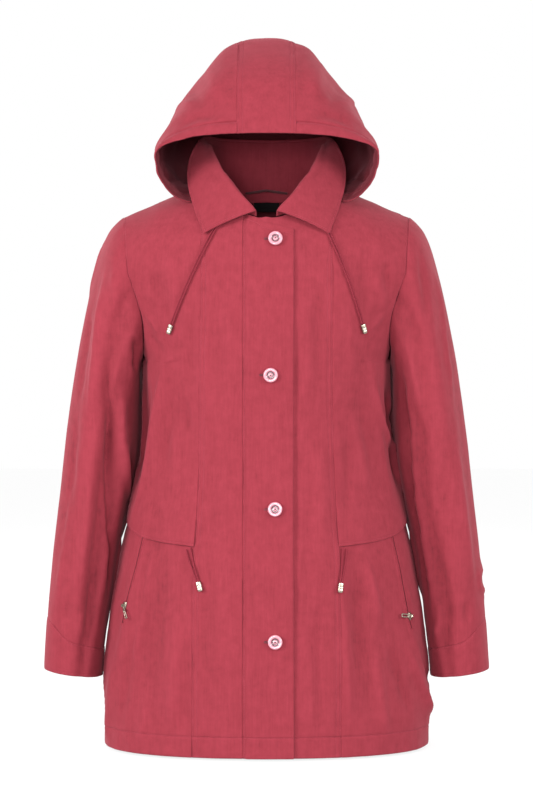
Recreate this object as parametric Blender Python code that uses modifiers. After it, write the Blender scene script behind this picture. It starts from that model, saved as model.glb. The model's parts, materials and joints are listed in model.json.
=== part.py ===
"""A woman's hooded anorak, filled out as if worn but empty, as separate cut-and-sewn pieces.

Metres, +Z up.  X = 0 runs down the centre front and the centre back, the front faces -Y and the
wearer's left is +X.  The origin is in the middle of the neck, level with the back neckline, where
the wearer's shoulders carry the coat.

The torso, the sleeves and the hood are each one smooth surface, read from short tables of
sections.  A panel is a part of such a surface with a wall's thickness, and what lies on a panel
is made from the panel's own points, moved out.

On the torso a point has a place (0 on the centre line, 1 at the side seam or the armhole) and a
level (0 at the hem, 1 at the chest line, 2 at the shoulder seam).
"""

import math
from collections import namedtuple

import bmesh
import bpy
from mathutils import Matrix, Vector

# ------------------------------------------------------------------ driving sizes

CLOTH = 0.0020            # peached shell, thin wadding and lining together
COLLAR_CLOTH = 0.0022     # two shells and an interlining
SEAM_GAP = 0.0003         # left between two pieces that are sewn together
SEAM_SHARE = 0.0010       # the same on the torso, as a share of the half front
SHOULDER_SHARE = 0.0012   # the same at the shoulder seam, as a share of the roll
HEM = -0.750              # level of the lower edge
UNDERARM = -0.2226        # lowest point of the armhole
CHEST = -0.100            # above this level the cloth rolls back to the shoulder seam
SQUARENESS = 0.045        # how much squarer than an ellipse a torso section is
NECK_PLACE = 0.42         # share of the half front that ends at the neckline, not the shoulder
SHOULDER_IN = (0.0880, 0.0280)     # neck end of the shoulder seam: out from the centre, up
NECK_FRONT, NECK_BACK = 0.1180, 0.0750      # reach of the neck's oval to the front and back
RISE_FRONT, RISE_BACK = 0.0420, 0.0095      # the roll would crest this far over the shoulder
SHOULDER_TIP = (0.2002, -0.0182)   # sleeve end of the shoulder seam
RIGHT, LEFT = -1, 1       # the wearer's sides
FRONT, BACK = -1, 1

# Sections of the torso, from the hem to the chest line.  Above the underarm a section is the
# part of a wider oval that lies between the armholes.
Section = namedtuple("Section", "height half_width front back")
TORSO = [
    Section(-0.7500, 0.2262, 0.1510, 0.1420),
    Section(-0.6500, 0.2250, 0.1500, 0.1400),
    Section(-0.6090, 0.2205, 0.1490, 0.1380),
    Section(-0.4970, 0.2060, 0.1440, 0.1300),
    Section(-0.4420, 0.1958, 0.1380, 0.1210),
    Section(-0.3440, 0.1765, 0.1330, 0.1080),
    Section(-0.2226, 0.1736, 0.1405, 0.1190),
    Section(-0.2080, 0.1776, 0.1408, 0.1210),
    Section(-0.1880, 0.1846, 0.1408, 0.1235),
    Section(-0.1600, 0.1968, 0.1395, 0.1260),
    Section(-0.1300, 0.2150, 0.1360, 0.1265),
    Section(-0.1000, 0.2340, 0.1310, 0.1250),
]

# The armhole's edge above the underarm: how far round its oval each section comes, in degrees.
Armhole = namedtuple("Armhole", "height turn")
ARMHOLE = [
    Armhole(-0.2226, 90.0),
    Armhole(-0.2190, 80.2),
    Armhole(-0.2080, 70.7),
    Armhole(-0.1880, 62.4),
    Armhole(-0.1600, 56.4),
    Armhole(-0.1300, 52.9),
    Armhole(-0.1000, 50.8),
]

# The long front seam that runs from the neck corner to the hem.
Seam = namedtuple("Seam", "height out")
PRINCESS = [
    Seam(-0.750, 0.1005),
    Seam(-0.500, 0.0990),
    Seam(-0.440, 0.0950),
    Seam(-0.340, 0.0905),
    Seam(-0.220, 0.0895),
    Seam(-0.100, 0.0890),
]

# The lower edge of the upper panels, which hangs over the skirt, from the long seam or the
# centre back (0) to the side seam (1).
Overlap = namedtuple("Overlap", "place front_height back_height")
OVERLAP = [
    Overlap(0.00, -0.4695, -0.4720),
    Overlap(0.40, -0.4605, -0.4680),
    Overlap(0.70, -0.4470, -0.4540),
    Overlap(1.00, -0.4345, -0.4345),
]
OVERLAP_DEPTH = 0.022     # how far the skirt runs up behind the upper panels
OVERLAP_OUT = 0.0014      # the upper panels stand out here ...
OVERLAP_IN = 0.0018       # ... and the drawn-in skirt stands back
OVERLAP_FADE = 0.050      # height over which both come back to the torso's own surface
OVERLAP_LIP = 0.004       # the skirt is fully drawn in this far below the edge

# Soft folds of the torso: a ridge (+) or trough (-) along a line from one place to another.
Fold = namedtuple("Fold", "side face place height end_place end_height half_width lift")
FOLDS = [
    Fold(RIGHT, FRONT, 0.56, -0.215, 0.66, -0.400, 0.014, 0.0040),
    Fold(LEFT, FRONT, 0.58, -0.220, 0.70, -0.395, 0.014, 0.0040),
    Fold(RIGHT, FRONT, 0.78, -0.235, 0.86, -0.380, 0.016, -0.0030),
    Fold(LEFT, FRONT, 0.80, -0.240, 0.88, -0.385, 0.016, -0.0030),
    Fold(RIGHT, FRONT, 0.60, -0.515, 0.68, -0.640, 0.016, 0.0040),
    Fold(RIGHT, FRONT, 0.50, -0.560, 0.46, -0.730, 0.020, -0.0030),
    Fold(LEFT, FRONT, 0.56, -0.520, 0.50, -0.700, 0.020, -0.0030),
    Fold(LEFT, FRONT, 0.66, -0.590, 0.86, -0.725, 0.018, 0.0055),
    Fold(RIGHT, FRONT, 0.72, -0.640, 0.84, -0.745, 0.016, 0.0040),
    Fold(RIGHT, FRONT, 0.20, -0.330, 0.21, -0.720, 0.020, 0.0022),
    Fold(LEFT, FRONT, 0.24, -0.300, 0.23, -0.700, 0.020, 0.0022),
    Fold(RIGHT, BACK, 0.30, -0.200, 0.34, -0.420, 0.022, 0.0040),
    Fold(LEFT, BACK, 0.36, -0.180, 0.30, -0.430, 0.022, 0.0035),
    Fold(RIGHT, BACK, 0.72, -0.225, 0.60, -0.400, 0.020, -0.0035),
    Fold(LEFT, BACK, 0.68, -0.220, 0.62, -0.410, 0.020, -0.0030),
    Fold(RIGHT, BACK, 0.38, -0.520, 0.46, -0.740, 0.022, 0.0050),
    Fold(LEFT, BACK, 0.30, -0.510, 0.26, -0.740, 0.022, 0.0045),
    Fold(RIGHT, BACK, 0.70, -0.530, 0.78, -0.730, 0.020, -0.0040),
    Fold(LEFT, BACK, 0.64, -0.530, 0.74, -0.740, 0.020, 0.0040),
]
FOLD_SPREAD = 0.30        # metres of cloth across the half torso, for a fold's own width

# The sleeve from the armhole (0) to the cuff's edge (1).  Its outer line follows the arm, its
# inner line hangs just clear of the torso.
Sleeve = namedtuple("Sleeve", "place outer outer_height inner_height half_depth forward")
SLEEVE = [
    Sleeve(0.00, 0.2002, -0.0182, -0.2226, 0.086, 0.000),
    Sleeve(0.05, 0.2110, -0.0275, -0.2370, 0.087, 0.000),
    Sleeve(0.10, 0.2205, -0.0395, -0.2520, 0.086, 0.000),
    Sleeve(0.17, 0.2300, -0.0625, -0.2700, 0.084, 0.000),
    Sleeve(0.26, 0.2422, -0.1078, -0.2930, 0.080, 0.001),
    Sleeve(0.35, 0.2530, -0.1570, -0.3200, 0.077, 0.002),
    Sleeve(0.45, 0.2646, -0.2198, -0.3600, 0.073, 0.004),
    Sleeve(0.57, 0.2772, -0.3094, -0.4150, 0.069, 0.007),
    Sleeve(0.69, 0.2870, -0.3990, -0.4750, 0.064, 0.010),
    Sleeve(0.80, 0.2968, -0.4886, -0.5400, 0.059, 0.012),
    Sleeve(0.91, 0.3045, -0.5782, -0.6060, 0.054, 0.013),
    Sleeve(1.00, 0.3087, -0.6454, -0.6560, 0.051, 0.013),
]
SLEEVE_CLEAR = 0.0032     # between the torso's side and the sleeve
SLEEVE_BLEND = 0.30       # share of the sleeve over which the armhole's form gives way to an oval
SLEEVE_SEAM = 0.0006      # the armhole ring is moved out by this
CUFF_SEAM_OUTER = 0.905   # place of the cuff's seam on the outer line ...
CUFF_SEAM_INNER = 0.930   # ... and from the middle to the inner line
CUFF_OUT = 0.0008         # the cuff's doubled cloth stands out this far
CUFF_GAP = 0.0010         # the seam's gap, as a share of the sleeve
CUFF_SHARE_GRADE = 1.15   # the sleeve's rows stand closer together near the armhole

# Folds along the sleeve: an angle round it, 0 outer line, 90 front, 180 inner line, 270 back.
SleeveFold = namedtuple("SleeveFold", "side angle place end_angle end_place half_angle lift")
SLEEVE_FOLDS = [
    SleeveFold(RIGHT, 104, 0.40, 122, 0.97, 13, -0.0085),
    SleeveFold(RIGHT, 136, 0.38, 146, 0.80, 12, 0.0040),
    SleeveFold(RIGHT, 62, 0.12, 80, 0.62, 15, 0.0040),
    SleeveFold(RIGHT, 84, 0.10, 96, 0.34, 13, -0.0045),
    SleeveFold(RIGHT, 30, 0.20, 40, 0.80, 16, -0.0030),
    SleeveFold(RIGHT, 214, 0.12, 214, 0.72, 16, 0.0140),
    SleeveFold(RIGHT, 228, 0.30, 244, 0.90, 14, -0.0075),
    SleeveFold(RIGHT, 284, 0.16, 268, 0.70, 16, 0.0050),
    SleeveFold(RIGHT, 318, 0.30, 322, 0.90, 15, -0.0040),
    SleeveFold(LEFT, 108, 0.36, 126, 0.95, 14, -0.0080),
    SleeveFold(LEFT, 140, 0.40, 148, 0.78, 12, 0.0035),
    SleeveFold(LEFT, 70, 0.14, 84, 0.70, 15, 0.0045),
    SleeveFold(LEFT, 90, 0.10, 104, 0.30, 13, -0.0040),
    SleeveFold(LEFT, 36, 0.26, 30, 0.86, 16, -0.0030),
    SleeveFold(LEFT, 214, 0.12, 214, 0.72, 16, 0.0140),
    SleeveFold(LEFT, 224, 0.34, 238, 0.92, 14, -0.0070),
    SleeveFold(LEFT, 278, 0.12, 272, 0.64, 16, 0.0045),
    SleeveFold(LEFT, 312, 0.34, 326, 0.88, 15, -0.0045),
]
SLEEVE_SPREAD = 57.3      # degrees of angle that one unit of place is weighed against

# The collar's visible face from the centre back (0) to its front end (1): how far round the
# neckline it is, in degrees from the centre back, the roll line where it turns over, its outer
# edge, and how much of it is turned over there.
Collar = namedtuple("Collar", "place turn roll_out roll_y roll_z edge_out edge_y edge_z turned")
COLLAR = [
    Collar(0.00, 0.0, 0.0000, 0.0760, 0.0800, 0.0000, 0.0775, 0.1000, 0.00),
    Collar(0.20, 23.0, 0.0330, 0.0690, 0.0800, 0.0335, 0.0700, 0.1000, 0.00),
    Collar(0.40, 48.0, 0.0620, 0.0460, 0.0810, 0.0640, 0.0465, 0.0990, 0.00),
    Collar(0.54, 82.0, 0.0780, 0.0080, 0.0820, 0.0835, 0.0080, 0.0970, 0.10),
    Collar(0.64, 100.0, 0.0762, -0.0200, 0.0810, 0.0965, -0.0190, 0.0860, 0.45),
    Collar(0.74, 116.0, 0.0700, -0.0530, 0.0650, 0.1080, -0.0430, 0.0560, 0.75),
    Collar(0.84, 135.0, 0.0570, -0.0850, 0.0390, 0.1085, -0.0670, 0.0240, 0.90),
    Collar(0.93, 154.0, 0.0360, -0.1070, 0.0080, 0.0990, -0.0930, -0.0120, 1.00),
    Collar(1.00, 171.0, 0.0130, -0.1190, -0.0185, 0.0850, -0.1210, -0.0480, 1.00),
]
COLLAR_STEP_IN = 0.0028   # its visible face stands this far inside the neckline
COLLAR_STEP_UP = 0.0012   # and its seam this far over it
COLLAR_FRONT_UP = 0.0020  # more of the same towards its front ends
COLLAR_FOLD = 0.0075      # across the turned-over edge, outside to outside
COLLAR_CREST = 0.45       # how round the turn is, as a share of its width
COLLAR_FLARE = 0.25       # where nothing is turned over, the turn takes this much of the rise
COLLAR_SWELL = 0.0025     # the turned leaf's own crown
COLLAR_COLUMNS = 26
# Lines along the collar: 0 neckline, 1 start of the turn, 2 its end, 3 outer edge.
COLLAR_SHARES = [0.0, 0.35, 0.7, 0.9, 1.06, 1.3, 1.5, 1.7, 1.94, 2.15, 2.5, 2.8, 3.0]

# The hood as ribs that open like a carriage top, from the brim (0) to the neck seam behind (1).
Rib = namedtuple("Rib", "place apex_y apex_z half_width widest fullness")
HOOD = [
    Rib(0.00, -0.1250, 0.0865, 0.1522, 0.66, 2.50),
    Rib(0.10, -0.1100, 0.1250, 0.1516, 0.48, 1.74),
    Rib(0.22, -0.0830, 0.1700, 0.1513, 0.33, 1.61),
    Rib(0.36, -0.0330, 0.2130, 0.1497, 0.23, 1.54),
    Rib(0.48, 0.0250, 0.2401, 0.1471, 0.22, 1.55),
    Rib(0.60, 0.0800, 0.2184, 0.1415, 0.28, 1.65),
    Rib(0.72, 0.1220, 0.1680, 0.1340, 0.30, 1.80),
    Rib(0.84, 0.1340, 0.1030, 0.1230, 0.36, 2.00),
    Rib(0.93, 0.1230, 0.0480, 0.1130, 0.42, 2.00),
    Rib(1.00, 0.1020, 0.0050, 0.1050, 0.50, 2.00),
]
HOOD_RING_OUT = 0.1035    # half width of the hood's neck seam on the shoulders
HOOD_RING_FRONT = 0.0780  # how far it reaches to the front ...
HOOD_RING_BACK = 0.0970   # ... and to the back
HOOD_RING_STEPS = 60
HOOD_RING_TURN = 0.30     # share of the ring that lies in front of the shoulder seam
HOOD_RIB_END = 0.46       # share of the ring that the ribs' lower ends take
HOOD_LIFT = 0.0030        # the hood's wall stands clear of the shoulders by this
HOOD_CENTRE_HALF = 0.0400     # half width of the strip down the middle
HOOD_WIDEST_AT = 0.38     # share of a rib, from its foot, at which it stands widest
HOOD_GATHER = 0.70        # from this rib back, the ribs close down onto the neck seam
HOOD_CROWN = 0.0095       # the middle ribs' crown is broadened by this ...
HOOD_CROWN_OUT = 0.0586   # ... most at this distance from the centre line ...
HOOD_CROWN_REACH = 0.0229     # ... falling to a third this much farther out
HOOD_CROWN_FRONT = (0.05, 0.30)   # ribs over which it rises ...
HOOD_CROWN_BACK = (0.60, 0.80)    # ... and falls again
HOOD_CROWN_FROM = 0.70    # share of a rib from which it is complete
HOOD_FLAT = 0.0040        # the apex itself is lowered by this ...
HOOD_FLAT_REACH = 0.0190  # ... falling to a third this far from the centre line
HOOD_ROWS = 18
HOOD_ROW_GRADE = 1.3      # the rows stand closer together near the brim
HOOD_COLUMNS = 11         # of a side panel, from the foot to the centre strip

# Folds of the hood: a rib's place and a share of its arch (0 foot, 1 apex), to the same again.
HoodFold = namedtuple("HoodFold", "place share end_place end_share half_width lift")
HOOD_FOLDS = [
    HoodFold(0.07, 0.05, 0.06, 0.80, 0.030, -0.0018),
    HoodFold(0.30, 0.30, 0.55, 0.15, 0.060, -0.0040),
    HoodFold(0.16, 0.45, 0.40, 0.40, 0.050, 0.0030),
    HoodFold(0.60, 0.45, 0.85, 0.30, 0.060, -0.0035),
]
HOOD_ARCH = 0.6           # what a rib's arch is weighed against the hood's depth

# The placket, lapped from the wearer's right over the left.
PLACKET_RIGHT = -0.0322
PLACKET_LEFT = 0.0362
PLACKET_UNDER = -0.0210   # the left front runs on beneath it to here
PLACKET_OUT = 0.0025
PLACKET_FREE_OUT = 0.0032
PLACKET_RAMP = 0.0085     # from its seam to where it is clear of the left front
PLACKET_TOP = 1.25        # level of its top edge, which meets the neckline under the collar
PLACKET_NECK_END = -0.0150    # from here to the middle it drops from the one to the other

# Buttons on the placket.
Button = namedtuple("Button", "name out height")
BUTTONS = [
    Button("button_1", 0.0117, -0.0573),
    Button("button_2", 0.0054, -0.2396),
    Button("button_3", 0.0113, -0.4193),
    Button("button_4", 0.0114, -0.5952),
]
BUTTON_RADIUS = 0.0097
BUTTON_HEIGHT = 0.0034
BUTTON_SEGMENTS = 16
BUTTON_SHANK = 0.0009     # the thread holds it this far off the cloth
# The button's turned profile from its middle outwards: shares of the radius and the height.
BUTTON_PROFILE = [
    (0.00, 0.62),
    (0.44, 0.62),
    (0.52, 0.76),
    (0.60, 0.70),
    (0.80, 1.00),
    (0.94, 0.86),
    (1.00, 0.45),
    (0.90, 0.00),
]

# Drawcords: each is two thin strands that meet in a pressed metal end.
CORD_DIAMETER = 0.0020
CORD_LIFT = 0.0018        # from the panel's face to the cord's middle ...
CORD_END_LIFT = 0.0010    # ... and this much more at the metal end
CORD_STEP = 0.0100        # between two points along a strand
CORD_SPREAD_END = 0.0024  # between the two strands where they meet
Drawcord = namedtuple("Drawcord", "name side start_out start_height end_out end_height spread sag")
DRAWCORDS = [
    Drawcord("hood_cord_right", RIGHT, 0.0660, -0.0360, 0.1270, -0.1715, 0.0034, 0.0030),
    Drawcord("hood_cord_left", LEFT, 0.0780, -0.0360, 0.1285, -0.1705, 0.0034, 0.0034),
    Drawcord("waist_cord_right", RIGHT, 0.1050, -0.4725, 0.0905, -0.5160, 0.0060, 0.0010),
    Drawcord("waist_cord_left", LEFT, 0.1045, -0.4725, 0.0985, -0.5175, 0.0060, 0.0010),
]
WAIST_TURN = -0.3         # a cord that starts below this height lies on the skirt
END_WIDTH = 0.0068
END_LENGTH = 0.0125
END_DEPTH = 0.0040
END_BEVEL = 0.0008

# Pocket zips in the skirt: upper end under the overlap, lower end, and where the slider stands.
Zip = namedtuple("Zip", "name side top_out top_height low_out low_height slider_share tab_angle")
ZIPS = [
    Zip("right", RIGHT, 0.1665, -0.4460, 0.1925, -0.5770, 0.82, 34.0),
    Zip("left", LEFT, 0.1700, -0.4440, 0.1965, -0.5850, 0.88, -98.0),
]
ZIP_HIDDEN = 0.12         # share of the slit that the overlap covers
ZIP_WIDTH = 0.0042
ZIP_HEIGHT = 0.0012
SLIDER_LENGTH = 0.0100
SLIDER_WIDTH = 0.0062
SLIDER_HEIGHT = 0.0024
SLIDER_BEVEL = 0.0006
LUG_WIDTH = 0.0011
LUG_LENGTH = 0.0026
LUG_RISE = 0.0030
LUG_ROOT = 0.0004         # how deep the lugs run into the slider's body
PIN_RADIUS = 0.0006
PIN_COVER = 0.0005        # of the lugs, above the pin
TAB_LENGTH = 0.0205
TAB_WIDTH = 0.0052
TAB_THICKNESS = 0.0012
TAB_EYE = 0.0010          # radius of the eye round the pin ...
TAB_EYE_WALL = 0.0009     # ... and the metal round it
TAB_NECK = 0.0022         # width of the tab between the lugs
TAB_NECK_LENGTH = 0.0064
TAB_NECK_ROOT = 0.0008    # how far the neck runs into the plate
TAB_WINDOW = (0.0105, 0.0024)      # its length and width
TAB_REST = 9.0            # degrees that the hanging tab slopes down to the cloth

HANGER_HALF = 0.0300      # half length of the hanging loop
HANGER_SEAT = 0.0024      # how far its ends stand off the collar ...
HANGER_OUT = 0.0070       # ... and its middle beyond that
HANGER_RISE = 0.0040      # height of its ends over the neckline ...
HANGER_ARCH = 0.0045      # ... and of its middle beyond that
HANGER_REACH = 0.20       # part of the collar that it spans on each side
HANGER_DIAMETER = 0.0034
LABEL_SIZE = (0.0360, 0.0008, 0.0130)
LABEL_PLACE = (0.0, 0.0704, 0.0030)

TORSO_ROWS = 9            # rows between the hem and the underarm
UPPER_ROWS = 6            # rows between the overlap's edge and the underarm
SKIRT_ROWS = 7
ROLL_ROWS = 5             # rows between the chest line and the shoulder seam
FRONT_COLUMNS = 5
SIDE_COLUMNS = 8
BACK_COLUMNS = 20
SLEEVE_COLUMNS = 24
SLEEVE_ROWS = 14
CUFF_ROWS = 3
ZIP_ROWS = 10
DIFFERENCE = 1e-3         # step of place for reading a surface's slope
SEARCH_STEPS = 40         # halvings when a surface is searched for a given distance or height
PLACE_ROUNDS = 12         # rounds of both searches, one after the other, on the roll


# ------------------------------------------------------------------ reading tables and surfaces


def smooth_read(rows, name, at):
    """A named column's value between the rows, on a smooth curve through them."""
    places = [row[0] for row in rows]
    values = [getattr(row, name) for row in rows]
    last = len(rows) - 1
    if at <= places[0]:
        return values[0]
    if at >= places[last]:
        return values[last]
    first = max(i for i in range(last) if places[i] <= at)

    def slope(i):
        low, high = max(i - 1, 0), min(i + 1, last)
        return (values[high] - values[low]) / (places[high] - places[low])

    span = places[first + 1] - places[first]
    t = (at - places[first]) / span
    start = (2 * t**3 - 3 * t**2 + 1) * values[first] + (t**3 - 2 * t**2 + t) * span * slope(first)
    end = (3 * t**2 - 2 * t**3) * values[first + 1] + (t**3 - t**2) * span * slope(first + 1)
    return start + end


def fade(value, low, high):
    """0 at low, 1 at high, with a soft start and end."""
    t = min(1.0, max(0.0, (value - low) / (high - low)))
    return t * t * (3 - 2 * t)


def mix(a, b, share):
    return a + (b - a) * share


def slope_normal(surface, u, v, facing):
    """The surface's outward direction at a place; facing says which side is out."""
    along = surface(u + DIFFERENCE, v) - surface(u - DIFFERENCE, v)
    up = surface(u, v + DIFFERENCE) - surface(u, v - DIFFERENCE)
    return (along.cross(up) * facing).normalized()


# ------------------------------------------------------------------ the torso's surface


def oval(angle):
    swell = 1 + SQUARENESS * math.sin(2 * angle) ** 2
    return math.sin(angle) * swell, math.cos(angle) * swell


def torso_row(side, face, place, height):
    """A point on a level section: place 0 is the centre line, 1 the side seam or the armhole."""
    depth = smooth_read(TORSO, "front" if face == FRONT else "back", height)
    turn = 90.0 if height <= UNDERARM else smooth_read(ARMHOLE, "turn", height)
    across, along = oval(place * math.radians(turn))
    half_width = smooth_read(TORSO, "half_width", height)
    return Vector((side * half_width * across, face * depth * along, height))


def torso_crown(side, face, place, chest):
    """Where a line of the roll would end over the shoulder seam, beyond the neckline too."""
    reach = abs(place)
    if reach <= NECK_PLACE:
        out = chest.x * SHOULDER_IN[0] / abs(torso_row(side, face, NECK_PLACE, CHEST).x)
        rise = RISE_FRONT if face == FRONT else RISE_BACK
        return Vector((out, 0.0, SHOULDER_IN[1] + rise * (1 - reach / NECK_PLACE) ** 1.5))
    at = (reach - NECK_PLACE) / (1 - NECK_PLACE)
    out = math.copysign(mix(SHOULDER_IN[0], SHOULDER_TIP[0], at), chest.x)
    return Vector((out, 0.0, mix(SHOULDER_IN[1], SHOULDER_TIP[1], at)))


def torso_plain(side, face, place, level):
    """level 0 is the hem, 1 the chest line and 2 the shoulder seam."""
    if level <= 1:
        return torso_row(side, face, place, mix(HEM, CHEST, level))
    chest = torso_row(side, face, place, CHEST)
    crown = torso_crown(side, face, place, chest)
    roll = (level - 1) * math.pi / 2
    return Vector((
        mix(chest.x, crown.x, level - 1),
        mix(chest.y, crown.y, 1 - math.cos(roll)),
        mix(chest.z, crown.z, math.sin(roll)),
    ))


def neck_level(face, place):
    """The level at which the neckline's oval, or else the shoulder seam, ends a panel."""
    share = min(1.0, abs(place) / NECK_PLACE)
    edge = (NECK_FRONT if face == FRONT else NECK_BACK) * math.sqrt(1 - share**2)
    depth = abs(torso_row(LEFT, face, abs(place), CHEST).y)
    return min(1 + math.acos(min(1.0, edge / depth)) / (math.pi / 2), 2.0 - SHOULDER_SHARE)


def level_of(height):
    return (height - HEM) / (CHEST - HEM)


def fold_lift(fold, place, height):
    """How far one fold raises the cloth at a place of its own side and face."""
    start = Vector((fold.place * FOLD_SPREAD, fold.height))
    end = Vector((fold.end_place * FOLD_SPREAD, fold.end_height))
    here = Vector((place * FOLD_SPREAD, height))
    run = end - start
    share = (here - start).dot(run) / run.length_squared
    aside = (here - start - run * share).length
    ends = fade(share, -0.15, 0.25) * (1 - fade(share, 0.75, 1.15))
    return fold.lift * ends * math.exp(-((aside / fold.half_width) ** 2))


def torso_relief(side, face, place, height):
    return sum(fold_lift(f, place, height) for f in FOLDS if f.side == side and f.face == face)


def torso_surface(side, face, extra=None):
    """The draped outer face as a function of place and level; extra adds a lift of its own."""
    def plain(place, level):
        return torso_plain(side, face, place, level)

    def draped(place, level):
        point = plain(place, level)
        own_side = side if place >= 0 else -side
        lift = torso_relief(own_side, face, abs(place), point.z)
        if extra:
            lift += extra(place, level)
        return point + slope_normal(plain, place, level, -side * face) * lift

    return draped


def place_at(side, face, out, level):
    """The place whose point stands this far out from the centre line at a level."""
    low, high = -1.0, 1.0
    for _ in range(SEARCH_STEPS):
        middle = (low + high) / 2
        if torso_plain(side, face, middle, level).x * side < out:
            low = middle
        else:
            high = middle
    return (low + high) / 2


def princess_place(side, level):
    if level <= 1:
        height = mix(HEM, CHEST, level)
        return place_at(side, FRONT, smooth_read(PRINCESS, "out", height), level)
    return mix(princess_place(side, 1.0), NECK_PLACE, level - 1)


def overlap_height(face, place, seam_place):
    share = min(1.0, max(0.0, (abs(place) - seam_place) / (1 - seam_place)))
    return smooth_read(OVERLAP, "front_height" if face == FRONT else "back_height", share)


def overlap_lift(face, seam_place, upper):
    """Lift near the overlap: the upper panel goes out and the skirt goes in."""
    def lift(place, level):
        height = mix(HEM, CHEST, level)
        edge = overlap_height(face, place, seam_place)
        if upper:
            top = edge + OVERLAP_DEPTH
            return OVERLAP_OUT * (1 - fade(height, top, top + OVERLAP_FADE))
        return -OVERLAP_IN * fade(height, edge - OVERLAP_FADE, edge - OVERLAP_LIP)
    return lift


# ------------------------------------------------------------------ meshes


def material(name, colour, roughness, metallic=0.0):
    made = bpy.data.materials.new(name)
    made.use_nodes = True
    shader = made.node_tree.nodes["Principled BSDF"]
    shader.inputs["Base Color"].default_value = (*colour, 1.0)
    shader.inputs["Roughness"].default_value = roughness
    shader.inputs["Metallic"].default_value = metallic
    return made


def smooth_shaded(mesh):
    mesh.shade_smooth()
    mesh.set_sharp_from_angle(angle=math.radians(50))


def add_mesh(name, points, faces, finish):
    mesh = bpy.data.meshes.new(name)
    mesh.from_pydata(points, [], faces)
    shape = bmesh.new()
    shape.from_mesh(mesh)
    if shape.calc_volume(signed=True) < 0:
        bmesh.ops.reverse_faces(shape, faces=shape.faces)
    shape.to_mesh(mesh)
    shape.free()
    mesh.materials.append(finish)
    smooth_shaded(mesh)
    made = bpy.data.objects.new(name, mesh)
    PARTS.objects.link(made)
    return made


def wall(name, surface, lattice, facing, finish, thickness=CLOTH, closed=False):
    """A cloth wall: the surface's points on a lattice, and the same points moved in.

    lattice is a list of rows of (u, v); closed joins each row's end to its start.
    """
    outer, inner = [], []
    for row in lattice:
        for u, v in row:
            point = surface(u, v)
            outer.append(point)
            inner.append(point - slope_normal(surface, u, v, facing) * thickness)
    count = len(outer)
    rows, columns = len(lattice), len(lattice[0])
    faces = []
    steps = columns if closed else columns - 1
    for r in range(rows - 1):
        for c in range(steps):
            a, b = r * columns + c, r * columns + (c + 1) % columns
            faces.append((a, b, b + columns, a + columns))
            faces.append((a + count, a + columns + count, b + columns + count, b + count))
    for c in range(steps):
        a, b = c, (c + 1) % columns
        faces.append((b, a, a + count, b + count))
        top = (rows - 1) * columns
        faces.append((top + a, top + b, top + b + count, top + a + count))
    if not closed:
        for r in range(rows - 1):
            a, b = r * columns, (r + 1) * columns
            faces.append((a, b, b + count, a + count))
            end = columns - 1
            faces.append((b + end, a + end, a + end + count, b + end + count))
    return add_mesh(name, outer + inner, faces, finish)


def evenly(low, high, count):
    return [low + (high - low) * i / count for i in range(count + 1)]


# ------------------------------------------------------------------ torso panels


def levels_above(lowest, count):
    """Levels from a height up to the underarm, then the armhole's rows, then the roll."""
    below = [level_of(h) for h in evenly(lowest, UNDERARM, count)]
    armhole = [level_of(row.height) for row in ARMHOLE[1:]]
    roll = evenly(1.0, 2.0, ROLL_ROWS)[1:]
    return below + armhole + roll


def ended_level(face, place, level):
    """A level of the roll drawn down so that the last one is the neckline."""
    return level if level <= 1 else mix(1.0, neck_level(face, place), level - 1)


def centre_front(name, side, first_out):
    """From the placket to the long seam, hem to neckline."""
    rows = []
    for level in levels_above(HEM, TORSO_ROWS):
        start = place_at(side, FRONT, first_out, min(level, 1.0))
        columns = evenly(start, princess_place(side, level) - SEAM_SHARE, FRONT_COLUMNS)
        rows.append([(place, ended_level(FRONT, place, level)) for place in columns])
    return wall(name, torso_surface(side, FRONT), rows, side, SHELL)


def side_front(name, side):
    """From the long seam to the side seam and armhole, shoulder to the overlap's edge."""
    seam_place = princess_place(side, level_of(OVERLAP[0].front_height))
    lift = overlap_lift(FRONT, seam_place, upper=True)
    rows = []
    for r, level in enumerate(levels_above(OVERLAP[0].front_height, UPPER_ROWS)):
        row = []
        for share in evenly(0.0, 1.0, SIDE_COLUMNS):
            edge = smooth_read(OVERLAP, "front_height", share)
            height = mix(edge, UNDERARM, r / UPPER_ROWS)
            here = level_of(height) if r <= UPPER_ROWS else level
            start = princess_place(side, here) + SEAM_SHARE
            place = mix(start, 1.0 - SEAM_SHARE, share)
            row.append((place, ended_level(FRONT, place, here)))
        rows.append(row)
    return wall(name, torso_surface(side, FRONT, lift), rows, side, SHELL)


def skirt_front(name, side):
    """From the long seam to the side seam, hem to just behind the overlap."""
    seam_place = princess_place(side, level_of(OVERLAP[0].front_height))
    lift = overlap_lift(FRONT, seam_place, upper=False)
    rows = []
    for rise in evenly(0.0, 1.0, SKIRT_ROWS):
        row = []
        for share in evenly(0.0, 1.0, SIDE_COLUMNS):
            top = smooth_read(OVERLAP, "front_height", share) + OVERLAP_DEPTH
            level = level_of(mix(HEM, top, rise))
            start = princess_place(side, level) + SEAM_SHARE
            row.append((mix(start, 1.0 - SEAM_SHARE, share), level))
        rows.append(row)
    return wall(name, torso_surface(side, FRONT, lift), rows, side, SHELL)


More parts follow.
